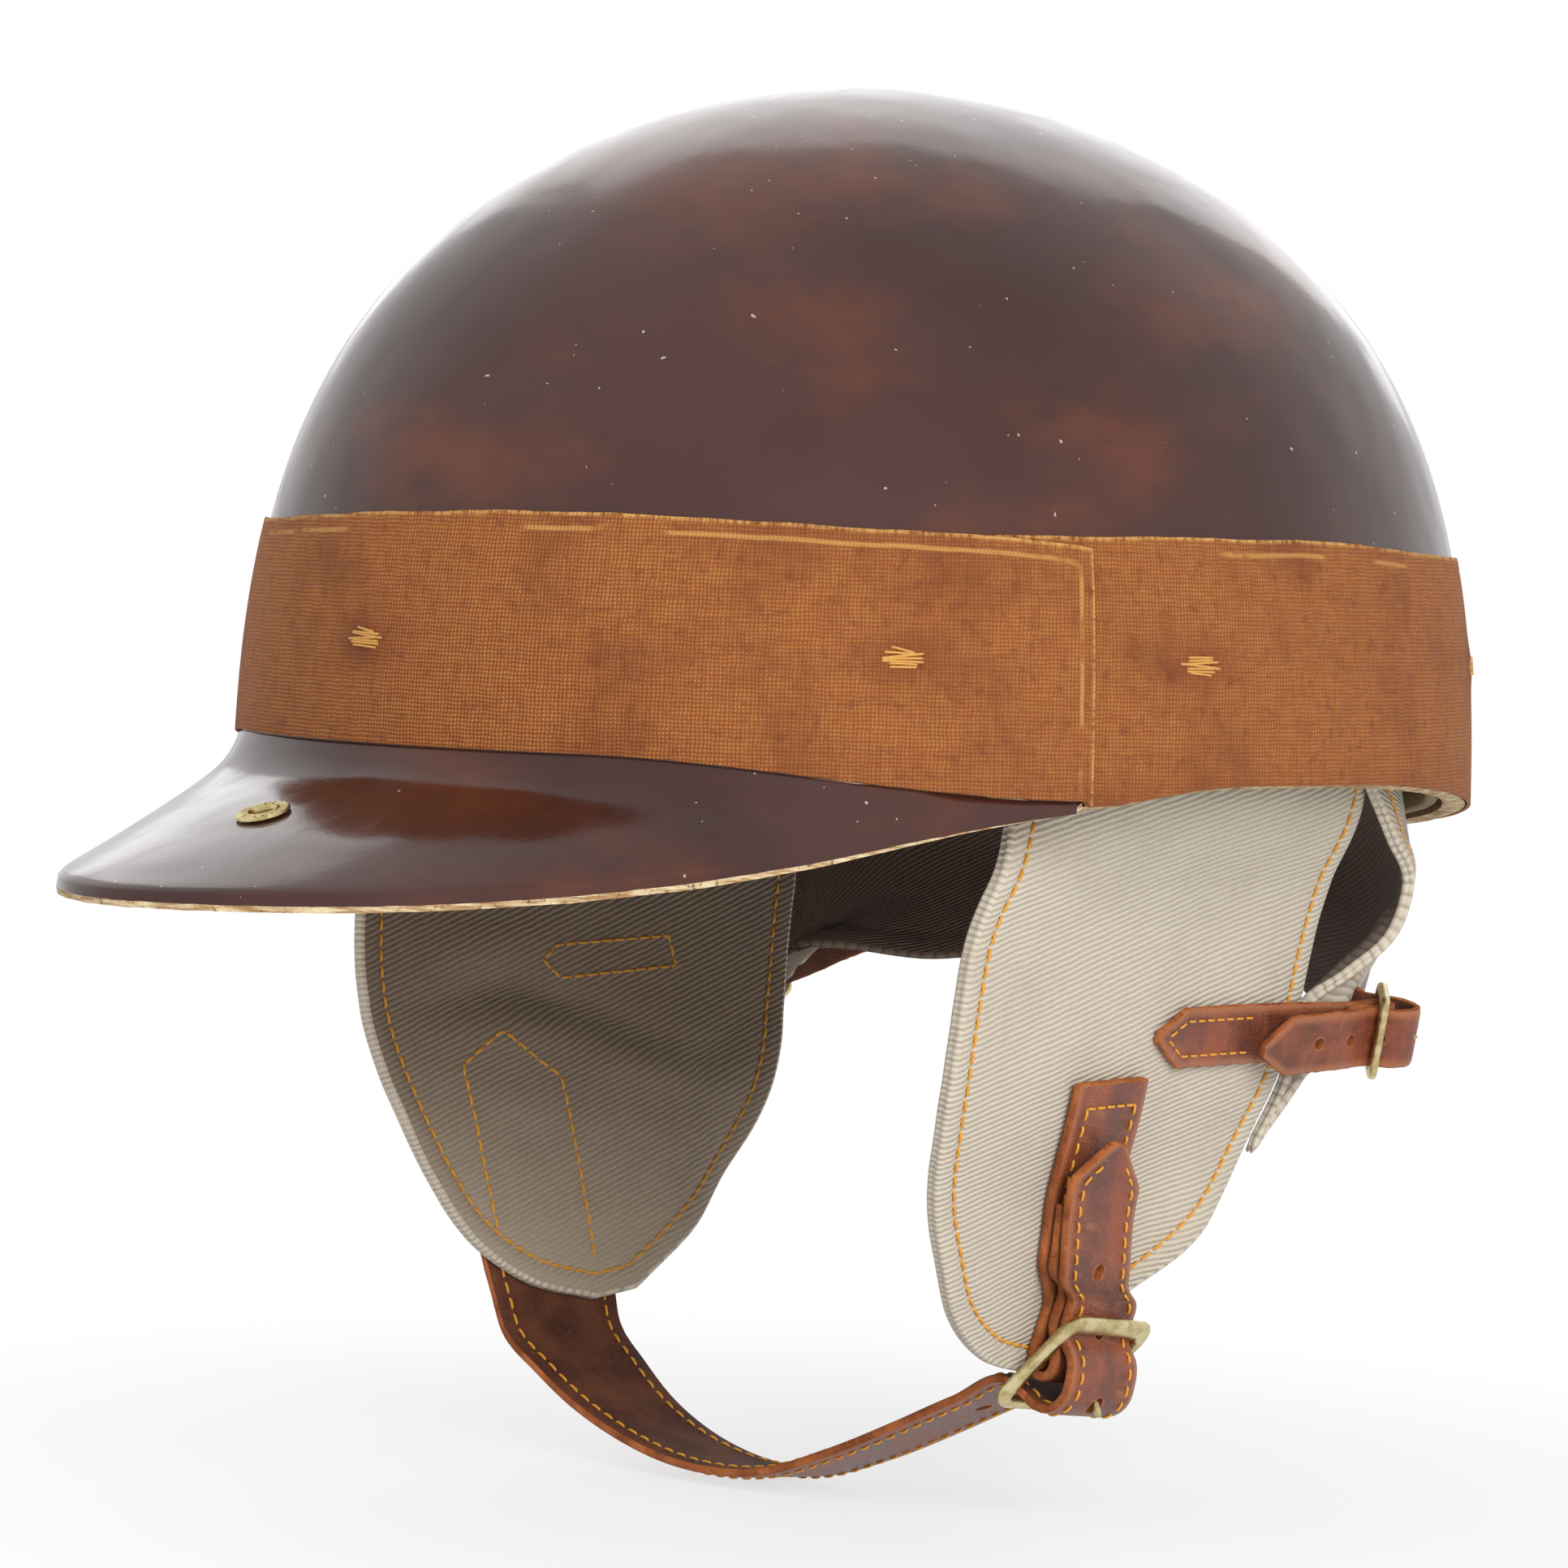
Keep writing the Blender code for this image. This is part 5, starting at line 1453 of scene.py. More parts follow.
@dataclass
class Peak:
    """The peak, moulded in one with a short root, and its eyelet."""

    finishes: Finishes
    reach: float = 57.2 * MM
    half_angle: float = 70.3
    end_angle: float = 68.0
    end_reach: float = 0.6 * MM
    slope: float = 18.7
    side_slope: float = 21.7
    round_power: float = 1.87
    taper: float = 1.66
    spread: float = -0.18
    root_height: float = 2.5 * MM
    root_sag: float = 5.7 * MM
    sag_angle: float = 25.0
    root_fall: float = 5.1 * MM
    root_length: float = 2.5 * MM
    thickness: float = 3.3 * MM
    end_thickness: float = 1.2 * MM
    thin_angle: float = 45.0
    ragged: float = 0.22 * MM
    soft_edge: float = 0.45 * MM
    rim_bead: float = 0.35 * MM
    sharp: float = 38.0
    eyelet_reach: float = 22.4 * MM
    eyelet_radius: float = 5.0 * MM
    eyelet_barrel: float = 2.9 * MM
    eyelet_bore: float = 2.1 * MM

    def root(self, angle: float) -> float:
        """Height of the line where the upper face leaves the shell."""
        share = (abs(angle) - self.sag_angle) / (self.end_angle - self.sag_angle)
        return self.root_height - self.root_sag * smooth_step(share)

    def out(self, angle: float) -> float:
        """How far the peak stands out at one angle."""
        spread = (1 - abs(angle / self.half_angle) ** self.round_power) ** self.taper
        return self.end_reach + self.reach * spread

    def at(self, angle: float, reach: float, drop: float = 0.0) -> Grid:
        """A point on the upper face or below it.

        Args:
            angle: Degrees from the front, towards the left.
            reach: Distance from the shell.
            drop: Distance below the upper face.

        Returns:
            The point.
        """
        turn = radians(angle)
        root = DOME.at(angle, self.root(angle), -GAP)
        away = unit(np.array((DOME.half_length * sin(turn), -DOME.half_width * cos(turn), 0.0)))
        way = unit(self.spread * away + (1 - self.spread) * np.array((0.0, -1.0, 0.0)))
        slope = radians(self.slope + self.side_slope * sin(turn) ** 2)
        curl = max(self.root(angle) - self.root_height + self.root_fall, 0.0)
        fall = curl * (1 - exp(-reach / self.root_length)) + reach * tan(slope)
        return root + way * reach - np.array((0.0, 0.0, fall + drop))

    def build(self) -> None:
        """Builds the peak and its eyelet."""
        edge = self.end_angle
        angles = np.concatenate([[-edge], np.arange(-67, 68, 1.0), [edge]])
        near = np.array([0, 0.008, 0.018, 0.03, 0.045, 0.065, 0.09, 0.12])
        shares = np.concatenate([near, np.linspace(0.155, 0.96, 26), [0.98, 0.992, 1.0]])
        upper, lower = [], []
        for angle in angles:
            thin_down = smooth_step((abs(angle) - self.thin_angle) / (edge - self.thin_angle))
            thickness = self.thickness + (self.end_thickness - self.thickness) * thin_down
            ragged = self.ragged * ruffle((angle * MM, 0, 0), 0.0024, 6.0) * (1 - thin_down)
            reach = self.out(angle)
            round_over = [self.soft_edge * max(0.0, (s - 0.965) / 0.035) ** 2 for s in shares]
            upper.append([self.at(angle, reach * s, r) for s, r in zip(shares, round_over)])
            lower.append([self.at(angle, reach * s, thickness + ragged * s) for s in shares])
        top, low = np.array(upper), np.array(lower)
        draft = Draft()
        rows, columns = top.shape[:2]
        high = draft.add(top.reshape(-1, 3))
        deep = draft.add(low.reshape(-1, 3))
        rim = []
        for i in range(rows):
            bend = top[i, -1] * 0.45 + low[i, -1] * 0.55
            away = unit(top[i, -1] - top[i, -4])
            bead = 1 + 0.6 * ruffle((angles[i] * MM, 1, 0), 0.0015, 2.0)
            rim.append(bend + away * self.rim_bead * bead)
        rim_first = draft.add(np.array(rim))
        for i in range(rows - 1):
            for j in range(columns - 1):
                ring = cell(i, i + 1, j, columns)
                draft.face(tuple(high + r for r in reversed(ring)), 0)
                draft.face(tuple(deep + r for r in ring), 1)
            a, b = i * columns, (i + 1) * columns
            draft.face((high + a, high + b, deep + b, deep + a), 1)
            a, b = a + columns - 1, b + columns - 1
            draft.face((high + b, high + a, rim_first + i, rim_first + i + 1), 0)
            draft.face((rim_first + i + 1, rim_first + i, deep + a, deep + b), 2)
        for i, flip in ((0, False), (rows - 1, True)):
            for j in range(columns - 1):
                a, b = i * columns + j, i * columns + j + 1
                ring = (high + a, deep + a, deep + b, high + b)
                draft.face(ring if flip else tuple(reversed(ring)), 2)
            a = i * columns + columns - 1
            ring = (high + a, rim_first + i, deep + a)
            draft.face(tuple(reversed(ring)) if flip else ring, 2)
        materials = [self.finishes.varnish, self.finishes.laminate_inside, self.finishes.laminate_edge]
        piece = draft.piece("varnished_peak", materials, self.sharp)
        centre = self.at(0, self.eyelet_reach)
        step = self.at(0, self.eyelet_reach + MM) - centre
        axis = unit(np.cross((1.0, 0.0, 0.0), step))
        axis = axis if axis[2] > 0 else -axis
        bore(piece, [(centre + axis * 8 * MM, centre - axis * 9 * MM, self.eyelet_barrel + GAP)], 2)
        settle(piece, "varnished_shell", "helmet", "peak")
        self._eyelet(centre, axis)

    def _eyelet(self, centre: Grid, axis: Grid) -> None:
        """Builds the brass eyelet: a rolled lip, its barrel and two crimped washers.

        Args:
            centre: Its middle on the upper face.
            axis: The face's upward direction.
        """
        draft = Draft()
        wide, barrel, hole = self.eyelet_radius, self.eyelet_barrel, self.eyelet_bore
        depth = self.thickness + GAP
        lip = [(hole, 0.2 * MM), (hole + 0.15 * MM, 0.75 * MM), (hole + 0.6 * MM, 1.05 * MM)]
        lip += [(hole + 1.1 * MM, 0.9 * MM), (hole + 1.35 * MM, 0.55 * MM), (barrel - 0.05 * MM, 0.35 * MM)]
        lip += [(barrel - 0.05 * MM, -depth - 0.3 * MM), (hole, -depth - 0.3 * MM)]
        turned(draft, lip, centre, axis, 0, 48)
        for side, base in ((1, GAP), (-1, -depth)):
            self._washer(draft, centre, axis, side, base, wide, hole + 0.9 * MM)
        piece = draft.piece("peak_eyelet_ring", [self.finishes.brass])
        settle(piece, "antique_brass", "helmet", "peak_eyelet")

    @staticmethod
    def _washer(
        draft: Draft, centre: Grid, axis: Grid, side: int, base: float, wide: float, hole: float
    ) -> None:
        """Adds a thin washer with a ring of crimped teeth.

        Args:
            draft: Where it goes.
            centre: The eyelet's middle.
            axis: The eyelet's axis.
            side: 1 for the washer on the upper face, -1 for the one below.
            base: Where it lies along the axis.
            wide: Its outer radius.
            hole: Its inner radius.
        """
        turn = Vector((0, 0, 1)).rotation_difference(Vector(axis)).to_matrix()
        profile = [(hole, 0.05), (hole, 0.45), (hole + 0.35 * MM, 0.55), (hole + 0.9 * MM, 0.5)]
        profile += [(wide - 0.7 * MM, 0.5), (wide - 0.25 * MM, 0.62), (wide, 0.4), (wide, 0.05)]
        segments = 96
        rings = []
        for n in range(segments):
            angle = 2 * pi * n / segments
            saw = abs((n * 16 / segments) % 1.0 - 0.5) * 2
            ring = []
            for k, (radius, height) in enumerate(profile):
                teeth = 0.42 * (saw - 0.5) if 2 <= k <= 4 else 0.0
                shift = 0.3 * MM * (saw - 0.5) if k in (3, 4) else 0.0
                far = radius + shift
                level = base + side * max(height + teeth, 0.06) * MM
                ring.append(Vector(centre) + turn @ Vector((far * cos(angle), far * sin(angle), level)))
            rings.append(draft.add(np.array(ring)))
        draft.tube(rings, len(profile), closed=True)


@dataclass
class Cradle:
    """The leather headband, the eight arms that carry it and the disc where they meet."""

    finishes: Finishes
    thickness: float = 2.0 * MM
    bottom: float = 0.5 * MM
    height: float = 34.0 * MM
    arms: tuple = ((0, 0), (52, 45), (79, 90), (130, 135), (180, 180), (-130, -135), (-79, -90), (-52, -45))
    arm_width: float = 16.0 * MM
    tip_width: float = 8.0 * MM
    arm_thickness: float = 1.5 * MM
    hem_height: float = 27.0 * MM
    turn_height: float = 15.5 * MM
    play: float = 0.5 * MM
    crown_height: float = 104.0 * MM
    disc_radius: float = 24.0 * MM
    disc_thickness: float = 2.0 * MM

    def build(self) -> None:
        """Builds the band, the arms and the disc."""
        heights = np.linspace(self.bottom, self.bottom + self.height, 14)
        grid = np.array([[DOME.head(angle, h) for h in heights] for angle in np.arange(0, 360, 2.0)])
        panel = Panel(grid, 0.0, self.thickness, wrap=True)
        around = path_lengths(grid[:, 0])
        levels = grid[0, :, 2]
        panel.cloth = np.stack(np.broadcast_arrays(around[:, None], levels[None]), axis=2)
        inside = np.minimum(levels - levels[0], levels[-1] - levels)
        panel.edge = np.broadcast_to(inside[None], grid.shape[:2])
        band = panel.draft().piece("leather_headband", self.finishes.leather())
        settle(band, "brown_leather", "helmet", "headband")
        for number, (angle, crown) in enumerate(self.arms, 1):
            self._arm(number, angle, crown)
        self._disc()
        self._seams(grid, panel.normals())

    def _seams(self, grid: Grid, normals: Grid) -> None:
        """Builds two rows of stitches round the headband and one on each face of the disc.

        Args:
            grid: The headband's outer face.
            normals: Its outward directions.
        """
        draft, seam = Draft(), Seam(3.6 * MM)
        for column in (1, -2):
            path = np.vstack([grid[:, column], grid[:1, column]])
            ways = np.vstack([normals[:, column], normals[:1, column]])
            seam.sew(draft, path - ways * self.thickness, -ways)
        turns = np.linspace(0, 2 * pi, 60)
        radius = self.disc_radius - 4 * MM
        top = self.crown_height + self.arm_thickness / 2 + 2 * GAP + self.disc_thickness
        ring = np.array([(radius * cos(a), radius * sin(a), top) for a in turns])
        seam.sew(draft, ring, np.tile((0.0, 0.0, 1.0), (60, 1)))
        low = ring - np.array((0, 0, self.disc_thickness))
        seam.sew(draft, low, np.tile((0.0, 0.0, -1.0), (60, 1)))
        settle(draft.piece("cradle_stitching", [self.finishes.thread]), "pale_cord", "helmet")

    def _route(self, angle: float, crown: float) -> Grid:
        """The middle line of one arm: down the lining, across to the headband and up.

        Args:
            angle: Degrees from the front where the arm starts.
            crown: Degrees where it meets the disc.

        Returns:
            The line's points.
        """
        half = self.arm_thickness / 2
        wall = DOME.wall + 3.0 * MM + 3 * GAP + self.play + half
        hem = [DOME.at(angle, h, wall) for h in np.linspace(self.hem_height, self.turn_height, 3)]
        inner = DOME.head(angle, self.turn_height, GAP + half)
        middle, reach = (hem[-1] + inner) / 2, (inner - hem[-1]) / 2
        depth = np.array((0, 0, np.linalg.norm(reach) * 0.45))
        turn = [middle - reach * cos(a) - depth * sin(a) for a in np.linspace(0, pi, 7)[1:]]
        top = self.bottom + self.height
        rise = [DOME.head(angle, h, GAP + half) for h in np.linspace(self.turn_height, top, 5)[1:-1]]
        for share in np.linspace(0, 1, 9):
            height = top + (self.crown_height - top) * share
            lean = crown * share + angle * (1 - share)
            spread = sqrt(max(0.0, 1 - share**2.4 * 0.96))
            point = DOME.head(lean, height, GAP + half)
            rise.append(np.array((point[0] * spread, point[1] * spread, height)))
        return spline(hem + turn + rise, 110)

    def _arm(self, number: int, angle: float, crown: float) -> None:
        """Builds one arm.

        Args:
            number: The arm's number.
            angle: Degrees from the front where the arm starts.
            crown: Degrees where it meets the disc.
        """
        route = self._route(angle, crown)
        shell = unit(DOME.at(angle + 1, self.hem_height) - DOME.at(angle - 1, self.hem_height))
        head = unit(DOME.head(angle + 1, 0) - DOME.head(angle - 1, 0))
        over = np.array((cos(radians(crown)), sin(radians(crown)), 0.0))
        rows, worn = [], []
        for k, point in enumerate(route):
            share = k / (len(route) - 1)
            first = smooth_step((share - 0.05) / 0.1)
            cross = shell * (1 - first) + head * first
            last = smooth_step((share - 0.3) / 0.6)
            cross = unit(cross * (1 - last) + over * last)
            narrow = smooth_step((share - 0.35) / 0.6)
            half = (self.arm_width + (self.tip_width - self.arm_width) * narrow) / 2
            places = np.linspace(-half, half, 7)
            rows.append([point + cross * p for p in places])
            worn.append([half - abs(p) for p in places])
        panel = Panel(np.array(rows), self.arm_thickness / 2, self.arm_thickness / 2, edge=np.array(worn))
        piece = panel.draft().piece(f"cradle_strap_{number}", self.finishes.leather())
        settle(piece, "brown_leather", "helmet", f"cradle_arm_{number}")

    def _disc(self) -> None:
        """The crown disc."""
        base = np.array((0.0, 0.0, self.crown_height + self.arm_thickness / 2 + 2 * GAP))
        wide, thick, soft = self.disc_radius, self.disc_thickness, 0.5 * MM
        outline = [(0, 0), (wide - soft, 0), (wide - 0.15 * MM, 0.15 * MM), (wide, soft)]
        outline += [(wide, thick - soft), (wide - 0.15 * MM, thick - 0.15 * MM)]
        outline += [(wide - soft, thick), (0, thick)]
        draft = Draft()
        turned(draft, outline, base, np.array((0.0, 0.0, 1.0)), 0, 64)
        piece = draft.piece("cradle_disc", [self.finishes.flesh])
        settle(piece, "brown_leather", "helmet", "crown_disc")


# Ear flaps and neck curtain

SUNK_IN_CLOTH = 0.26 * MM
SUNK_IN_LEATHER = 0.04 * MM
CLOTH_SEAM = Seam(3.1 * MM, 0.82, 0.3 * MM)
CHIN_SEAM = Seam(3.2 * MM, 0.72, 0.28 * MM)
NAPE_SEAM = Seam(2.9 * MM, 0.7, 0.24 * MM)
RIM_SHARP = 70.0


def hem_rows(edge: Grid, heights: Sequence[float]) -> list[Grid]:
    """Copies of the row of points along a cloth's top at the hem's heights."""
    flat = edge * (1.0, 1.0, 0.0)
    return [flat + (0.0, 0.0, height) for height in heights]


def sewn_half(half: float, gaps: Grid, inset: float, pinch: float, puff: float, crest: float) -> Grid:
    """Half the thickness of a sewn cloth, pinched along its seam and full outside it.

    Args:
        half: The plain half thickness.
        gaps: Distances to the cloth's edge.
        inset: The seam's distance from the edge.
        pinch: How deep the seam lies.
        puff: How far the cloth stands out between seam and edge.
        crest: Where that is highest, from the edge.

    Returns:
        The half thickness at each point.
    """
    groove = pinch * np.exp(-(((gaps - inset) / (0.9 * MM)) ** 2))
    return half - groove + puff * np.exp(-(((gaps - crest) / (1.2 * MM)) ** 2))


@dataclass(frozen=True)
class FlapForm:
    """The surface of an ear flap: u runs back and v down from its origin."""

    out: float = 80.0 * MM
    back: float = 5.0 * MM
    level: float = -5.0 * MM
    turn: float = radians(8.0)
    slant: float = radians(12.0)
    settle: float = 20.0 * MM
    crown: float = 2.0 * MM
    crown_end: float = 95.0 * MM
    crease: float = 1.0 * MM
    flare: float = 3.2 * MM
    low_flare: float = 5.0 * MM
    cloth: float = 3.0 * MM
    hem_bottom: float = 1.4 * MM
    hem_height: float = 10.0 * MM
    front_edge: tuple = (
        (-49, -4.8), (-54.5, 6), (-60, 19), (-62.7, 36), (-61.5, 56), (-57, 72), (-49.5, 87), (-42.5, 97),
        (-29.5, 106), (-14, 110),
    )
    rear_edge: tuple = (
        (52, -4.8), (51.3, 5), (50, 14), (47.4, 30), (44.8, 46), (41, 61), (33, 76), (22.5, 87.5),
        (10, 98.5), (-4, 108.5),
    )

    def axes(self) -> tuple[Grid, Grid, Grid, Grid]:
        """Works out the left flap's own directions.

        Returns:
            Its origin, rearward, downward and outward directions.
        """
        outward = np.array((cos(self.turn), sin(self.turn), 0.0))
        rearward = np.array((-sin(self.turn), cos(self.turn), 0.0))
        down = -outward * sin(self.slant) - np.array((0.0, 0.0, cos(self.slant)))
        out = outward * cos(self.slant) - np.array((0.0, 0.0, sin(self.slant)))
        return np.array((self.out, self.back, self.level)), rearward, down, out

    def bulge(self, u: float, v: float) -> float:
        """How far the cloth stands out of its plane.

        Args:
            u: Distance behind the origin.
            v: Distance below it.

        Returns:
            The distance.
        """
        flare = self.flare * smooth_step((u - 5 * MM) / (45 * MM))
        low = smooth_step((v - 60 * MM) / (30 * MM)) * smooth_step((u - 8 * MM) / (20 * MM))
        flare += self.low_flare * low
        if v >= self.crown_end:
            return flare
        crown = self.crown * sin(pi * max(v, 0.0) / self.crown_end) * cos(pi * u / (140 * MM))
        crease = self.crease * sin(2 * pi * (v - 34 * MM) / (60 * MM)) * smooth_step(v / (30 * MM))
        return flare + crown + crease * smooth_step((self.crown_end - v) / (25 * MM))

    def at(self, u: float, v: float, lift: float = 0.0, side: int = 1) -> Grid:
        """A point on the flap or outside its middle surface.

        Args:
            u: Distance behind the origin.
            v: Distance below it.
            lift: Distance outside the middle surface.
            side: 1 for the left flap, -1 for the right one.

        Returns:
            The point.
        """
        origin, rearward, down, out = self.axes()
        flat = origin + rearward * u + down * v + out * (lift + self.bulge(u, v))
        hem = DOME.head_width(flat[1], self.cloth / 2 + GAP) + lift
        share = smooth_step((v - self.front_edge[0][1] * MM) / self.settle)
        return np.array((side * (hem + (flat[0] - hem) * share), flat[1], flat[2]))

    def way(self, u: float, v: float, side: int) -> Grid:
        """The outward direction at a place on the flap.

        Args:
            u: Distance behind the origin.
            v: Distance below it.
            side: 1 for the left flap, -1 for the right one.

        Returns:
            The direction, unit long.
        """
        ahead = self.at(u + MM, v, 0.0, 1) - self.at(u - MM, v, 0.0, 1)
        fall = self.at(u, v + MM, 0.0, 1) - self.at(u, v - MM, 0.0, 1)
        way = unit(np.cross(fall, ahead))
        return way * np.array((side, 1.0, 1.0))


FLAP = FlapForm()


@dataclass
class EarFlap:
    """One ear flap and its hem, in one cloth, with its stitching."""

    finishes: Finishes
    side: Side
    rows: int = 100
    seam_inset: float = 4.0 * MM
    right_figures: tuple = (
        ((-37.3, 95.8), (-41.8, 62.9), (-31.2, 55.8), (-17.4, 65.7), (-14.0, 102.5)),
        ((-14.1, 44.9), (-18.8, 41.2), (-15.3, 38.1), (13.4, 36.6), (15.1, 42.9), (-14.1, 44.9)),
    )
    fold_width: float = 4.6
    folds: tuple = (
        (-38, 48.5, -0.2, 13, -2.2), (-20, 49, 0.2, 12, -2.4), (-26, 56, 0.0, 13, 1.6),
        (-3, 54, 0.35, 14, -1.9), (4, 64, 0.25, 16, 1.8), (-30, 38, -0.1, 14, 1.3),
        (22, 62, -0.6, 13, -1.3), (-26, 78, 0.1, 8, -1.2), (20, 84, -0.9, 12, 1.2),
    )
    left_figures: tuple = (
        ((-22.5, 104), (-23.5, 56), (-6.5, 56), (-3.5, 101)),
        ((44, 40.5), (4, 40.5), (-0.5, 44), (4, 47.5), (44, 47.5)),
    )

    def build(self) -> None:
        """Builds the cloth and its seams."""
        sign, word = self.side.value, self.side.word
        front = spline([(u * MM, v * MM) for u, v in FLAP.front_edge], self.rows + 1)
        rear = spline([(u * MM, v * MM) for u, v in FLAP.rear_edge], self.rows + 1)
        tip = np.linspace(front[-1], rear[-1], 10)[1:-1]
        border = np.vstack([front, tip, rear[::-1]])
        near = np.array([0, 0.08, 0.18, 0.28, 0.38, 0.45, 0.5, 0.55, 0.62, 0.72, 0.86, 1.0])
        flat_rows = []
        for start, end in zip(front, rear):
            length = float(np.linalg.norm(end - start))
            share = min(8 * MM, length * 0.3) / length
            middle = np.linspace(share, 1 - share, 26)[1:-1]
            shares = np.concatenate([near * share, middle, (1 - near * share)[::-1]])
            flat_rows.append([start + (end - start) * s for s in shares])
        flat = np.array(flat_rows)
        grid = np.array([[FLAP.at(u, v, self._ripple(u, v), sign) for u, v in row] for row in flat])
        heads = hem_rows(grid[0], (FLAP.hem_height, 7 * MM, 4 * MM, FLAP.hem_bottom))
        rises = [head[0, 2] - grid[0, 0, 2] for head in heads]
        cloth = np.concatenate([[flat[0] - (0.0, rise) for rise in rises], flat])
        grid = np.concatenate([heads, grid])
        gaps = np.linalg.norm(flat[:, :, None] - border[None, None], axis=3).min(axis=2)
        gaps = np.concatenate([np.repeat(gaps[:1], len(heads), axis=0), gaps])
        half = sewn_half(FLAP.cloth / 2, gaps, self.seam_inset, 0.42 * MM, 0.18 * MM, 1.9 * MM)
        if sign < 0:
            grid, cloth, half, gaps = grid[:, ::-1], cloth[:, ::-1], half[:, ::-1], gaps[:, ::-1]
        panel = Panel(grid, half, half, cloth=cloth, edge=gaps, bulge=0.75, notch=0.5, arc=8)
        panel.slots = (0, 1, 0)
        finishes = self.finishes
        near, far = [finishes.near_twill, finishes.near_lining], [finishes.far_twill, finishes.far_lining]
        piece = panel.draft().piece(f"twill_ear_flap_{word}", near if sign > 0 else far, RIM_SHARP)
        hinge = float(grid[len(heads), 0, 0])
        bodies = ("helmet", f"flap_{word}")
        ends = ((hinge, 0.0, 1.5 * MM), (hinge, 0.0, -9 * MM))
        nodes = (f"ear_flap_{word}", f"flap_hem_{word}")
        stretch(piece, "khaki_twill", bodies, *ends, *nodes)
        seams = self._seams(border, front, sign)
        stitching = seams.piece(f"ear_flap_stitching_{word}", [self.finishes.thread])
        stretch(stitching, "khaki_twill", bodies, *ends)

    def _ripple(self, u: float, v: float) -> float:
        """Soft wrinkles, with folds round the sewn straps on the far side.

        Args:
            u: Distance behind the origin.
            v: Distance below it.

        Returns:
            How far the cloth stands out.
        """
        calm = smooth_step(v / (18 * MM))
        place = (u, v * 1.3, 0.01 * self.side.value)
        low = 0.55 * MM * ruffle(place, 0.026, 7.0) + 0.22 * MM * ruffle(place, 0.009, 8.0)
        if self.side is Side.LEFT:
            return low * calm * 0.55
        fold = 0.0
        for cu, cv, lean, size, high in self.folds:
            du, dv = u / MM - cu, v / MM - cv
            along, over = du * cos(lean) + dv * sin(lean), -du * sin(lean) + dv * cos(lean)
            fold += high * MM * exp(-((along / size) ** 2) - (over / self.fold_width) ** 2)
        return (low - fold * 0.75) * calm

    def _surface(self, path: Iterable, sign: int, face: int) -> tuple[Grid, Grid]:
        """Points and directions of a path on one face of the cloth.

        Args:
            path: Places on the flap.
            sign: 1 for the left flap, -1 for the right one.
            face: 1 for the outer face, -1 for the inner one.

        Returns:
            The points and the directions.
        """
        places, ways = [], []
        for u, v in path:
            way = FLAP.way(u, v, sign)
            middle = FLAP.at(u, v, self._ripple(u, v), sign)
            places.append(middle + way * face * (FLAP.cloth / 2 - SUNK_IN_CLOTH))
            ways.append(way * face)
        return np.array(places), np.array(ways)

    def _seams(self, border: Grid, front: Grid, sign: int) -> Draft:
        """Sews the edge seam on both faces and the outlines of the sewn straps inside.

        Args:
            border: The cloth's edge.
            front: The front edge's part of it.
            sign: 1 for the left flap, -1 for the right one.

        Returns:
            The stitches.
        """
        tangents = unit(np.gradient(border, axis=0))
        inward = np.stack([tangents[:, 1], -tangents[:, 0]], axis=1)
        if np.dot(inward[len(front) // 2], (1.0, 0.0)) < 0:
            inward = -inward
        path = border + inward * self.seam_inset
        clear = np.linalg.norm(path[:, None] - border[None], axis=2).min(axis=1)
        path = path[clear > self.seam_inset - 0.15 * MM]
        path = even(path, 260)
        draft = Draft()
        for face in (1, -1):
            CLOTH_SEAM.sew(draft, *self._surface(path, sign, face))
        for figure in self.right_figures if self.side is Side.RIGHT else self.left_figures:
            outline = even([(u * MM, v * MM) for u, v in figure], 60)
            places, ways = self._surface(outline, sign, -1)
            CLOTH_SEAM.sew(draft, places + ways * 0.3 * MM, ways)
        return draft


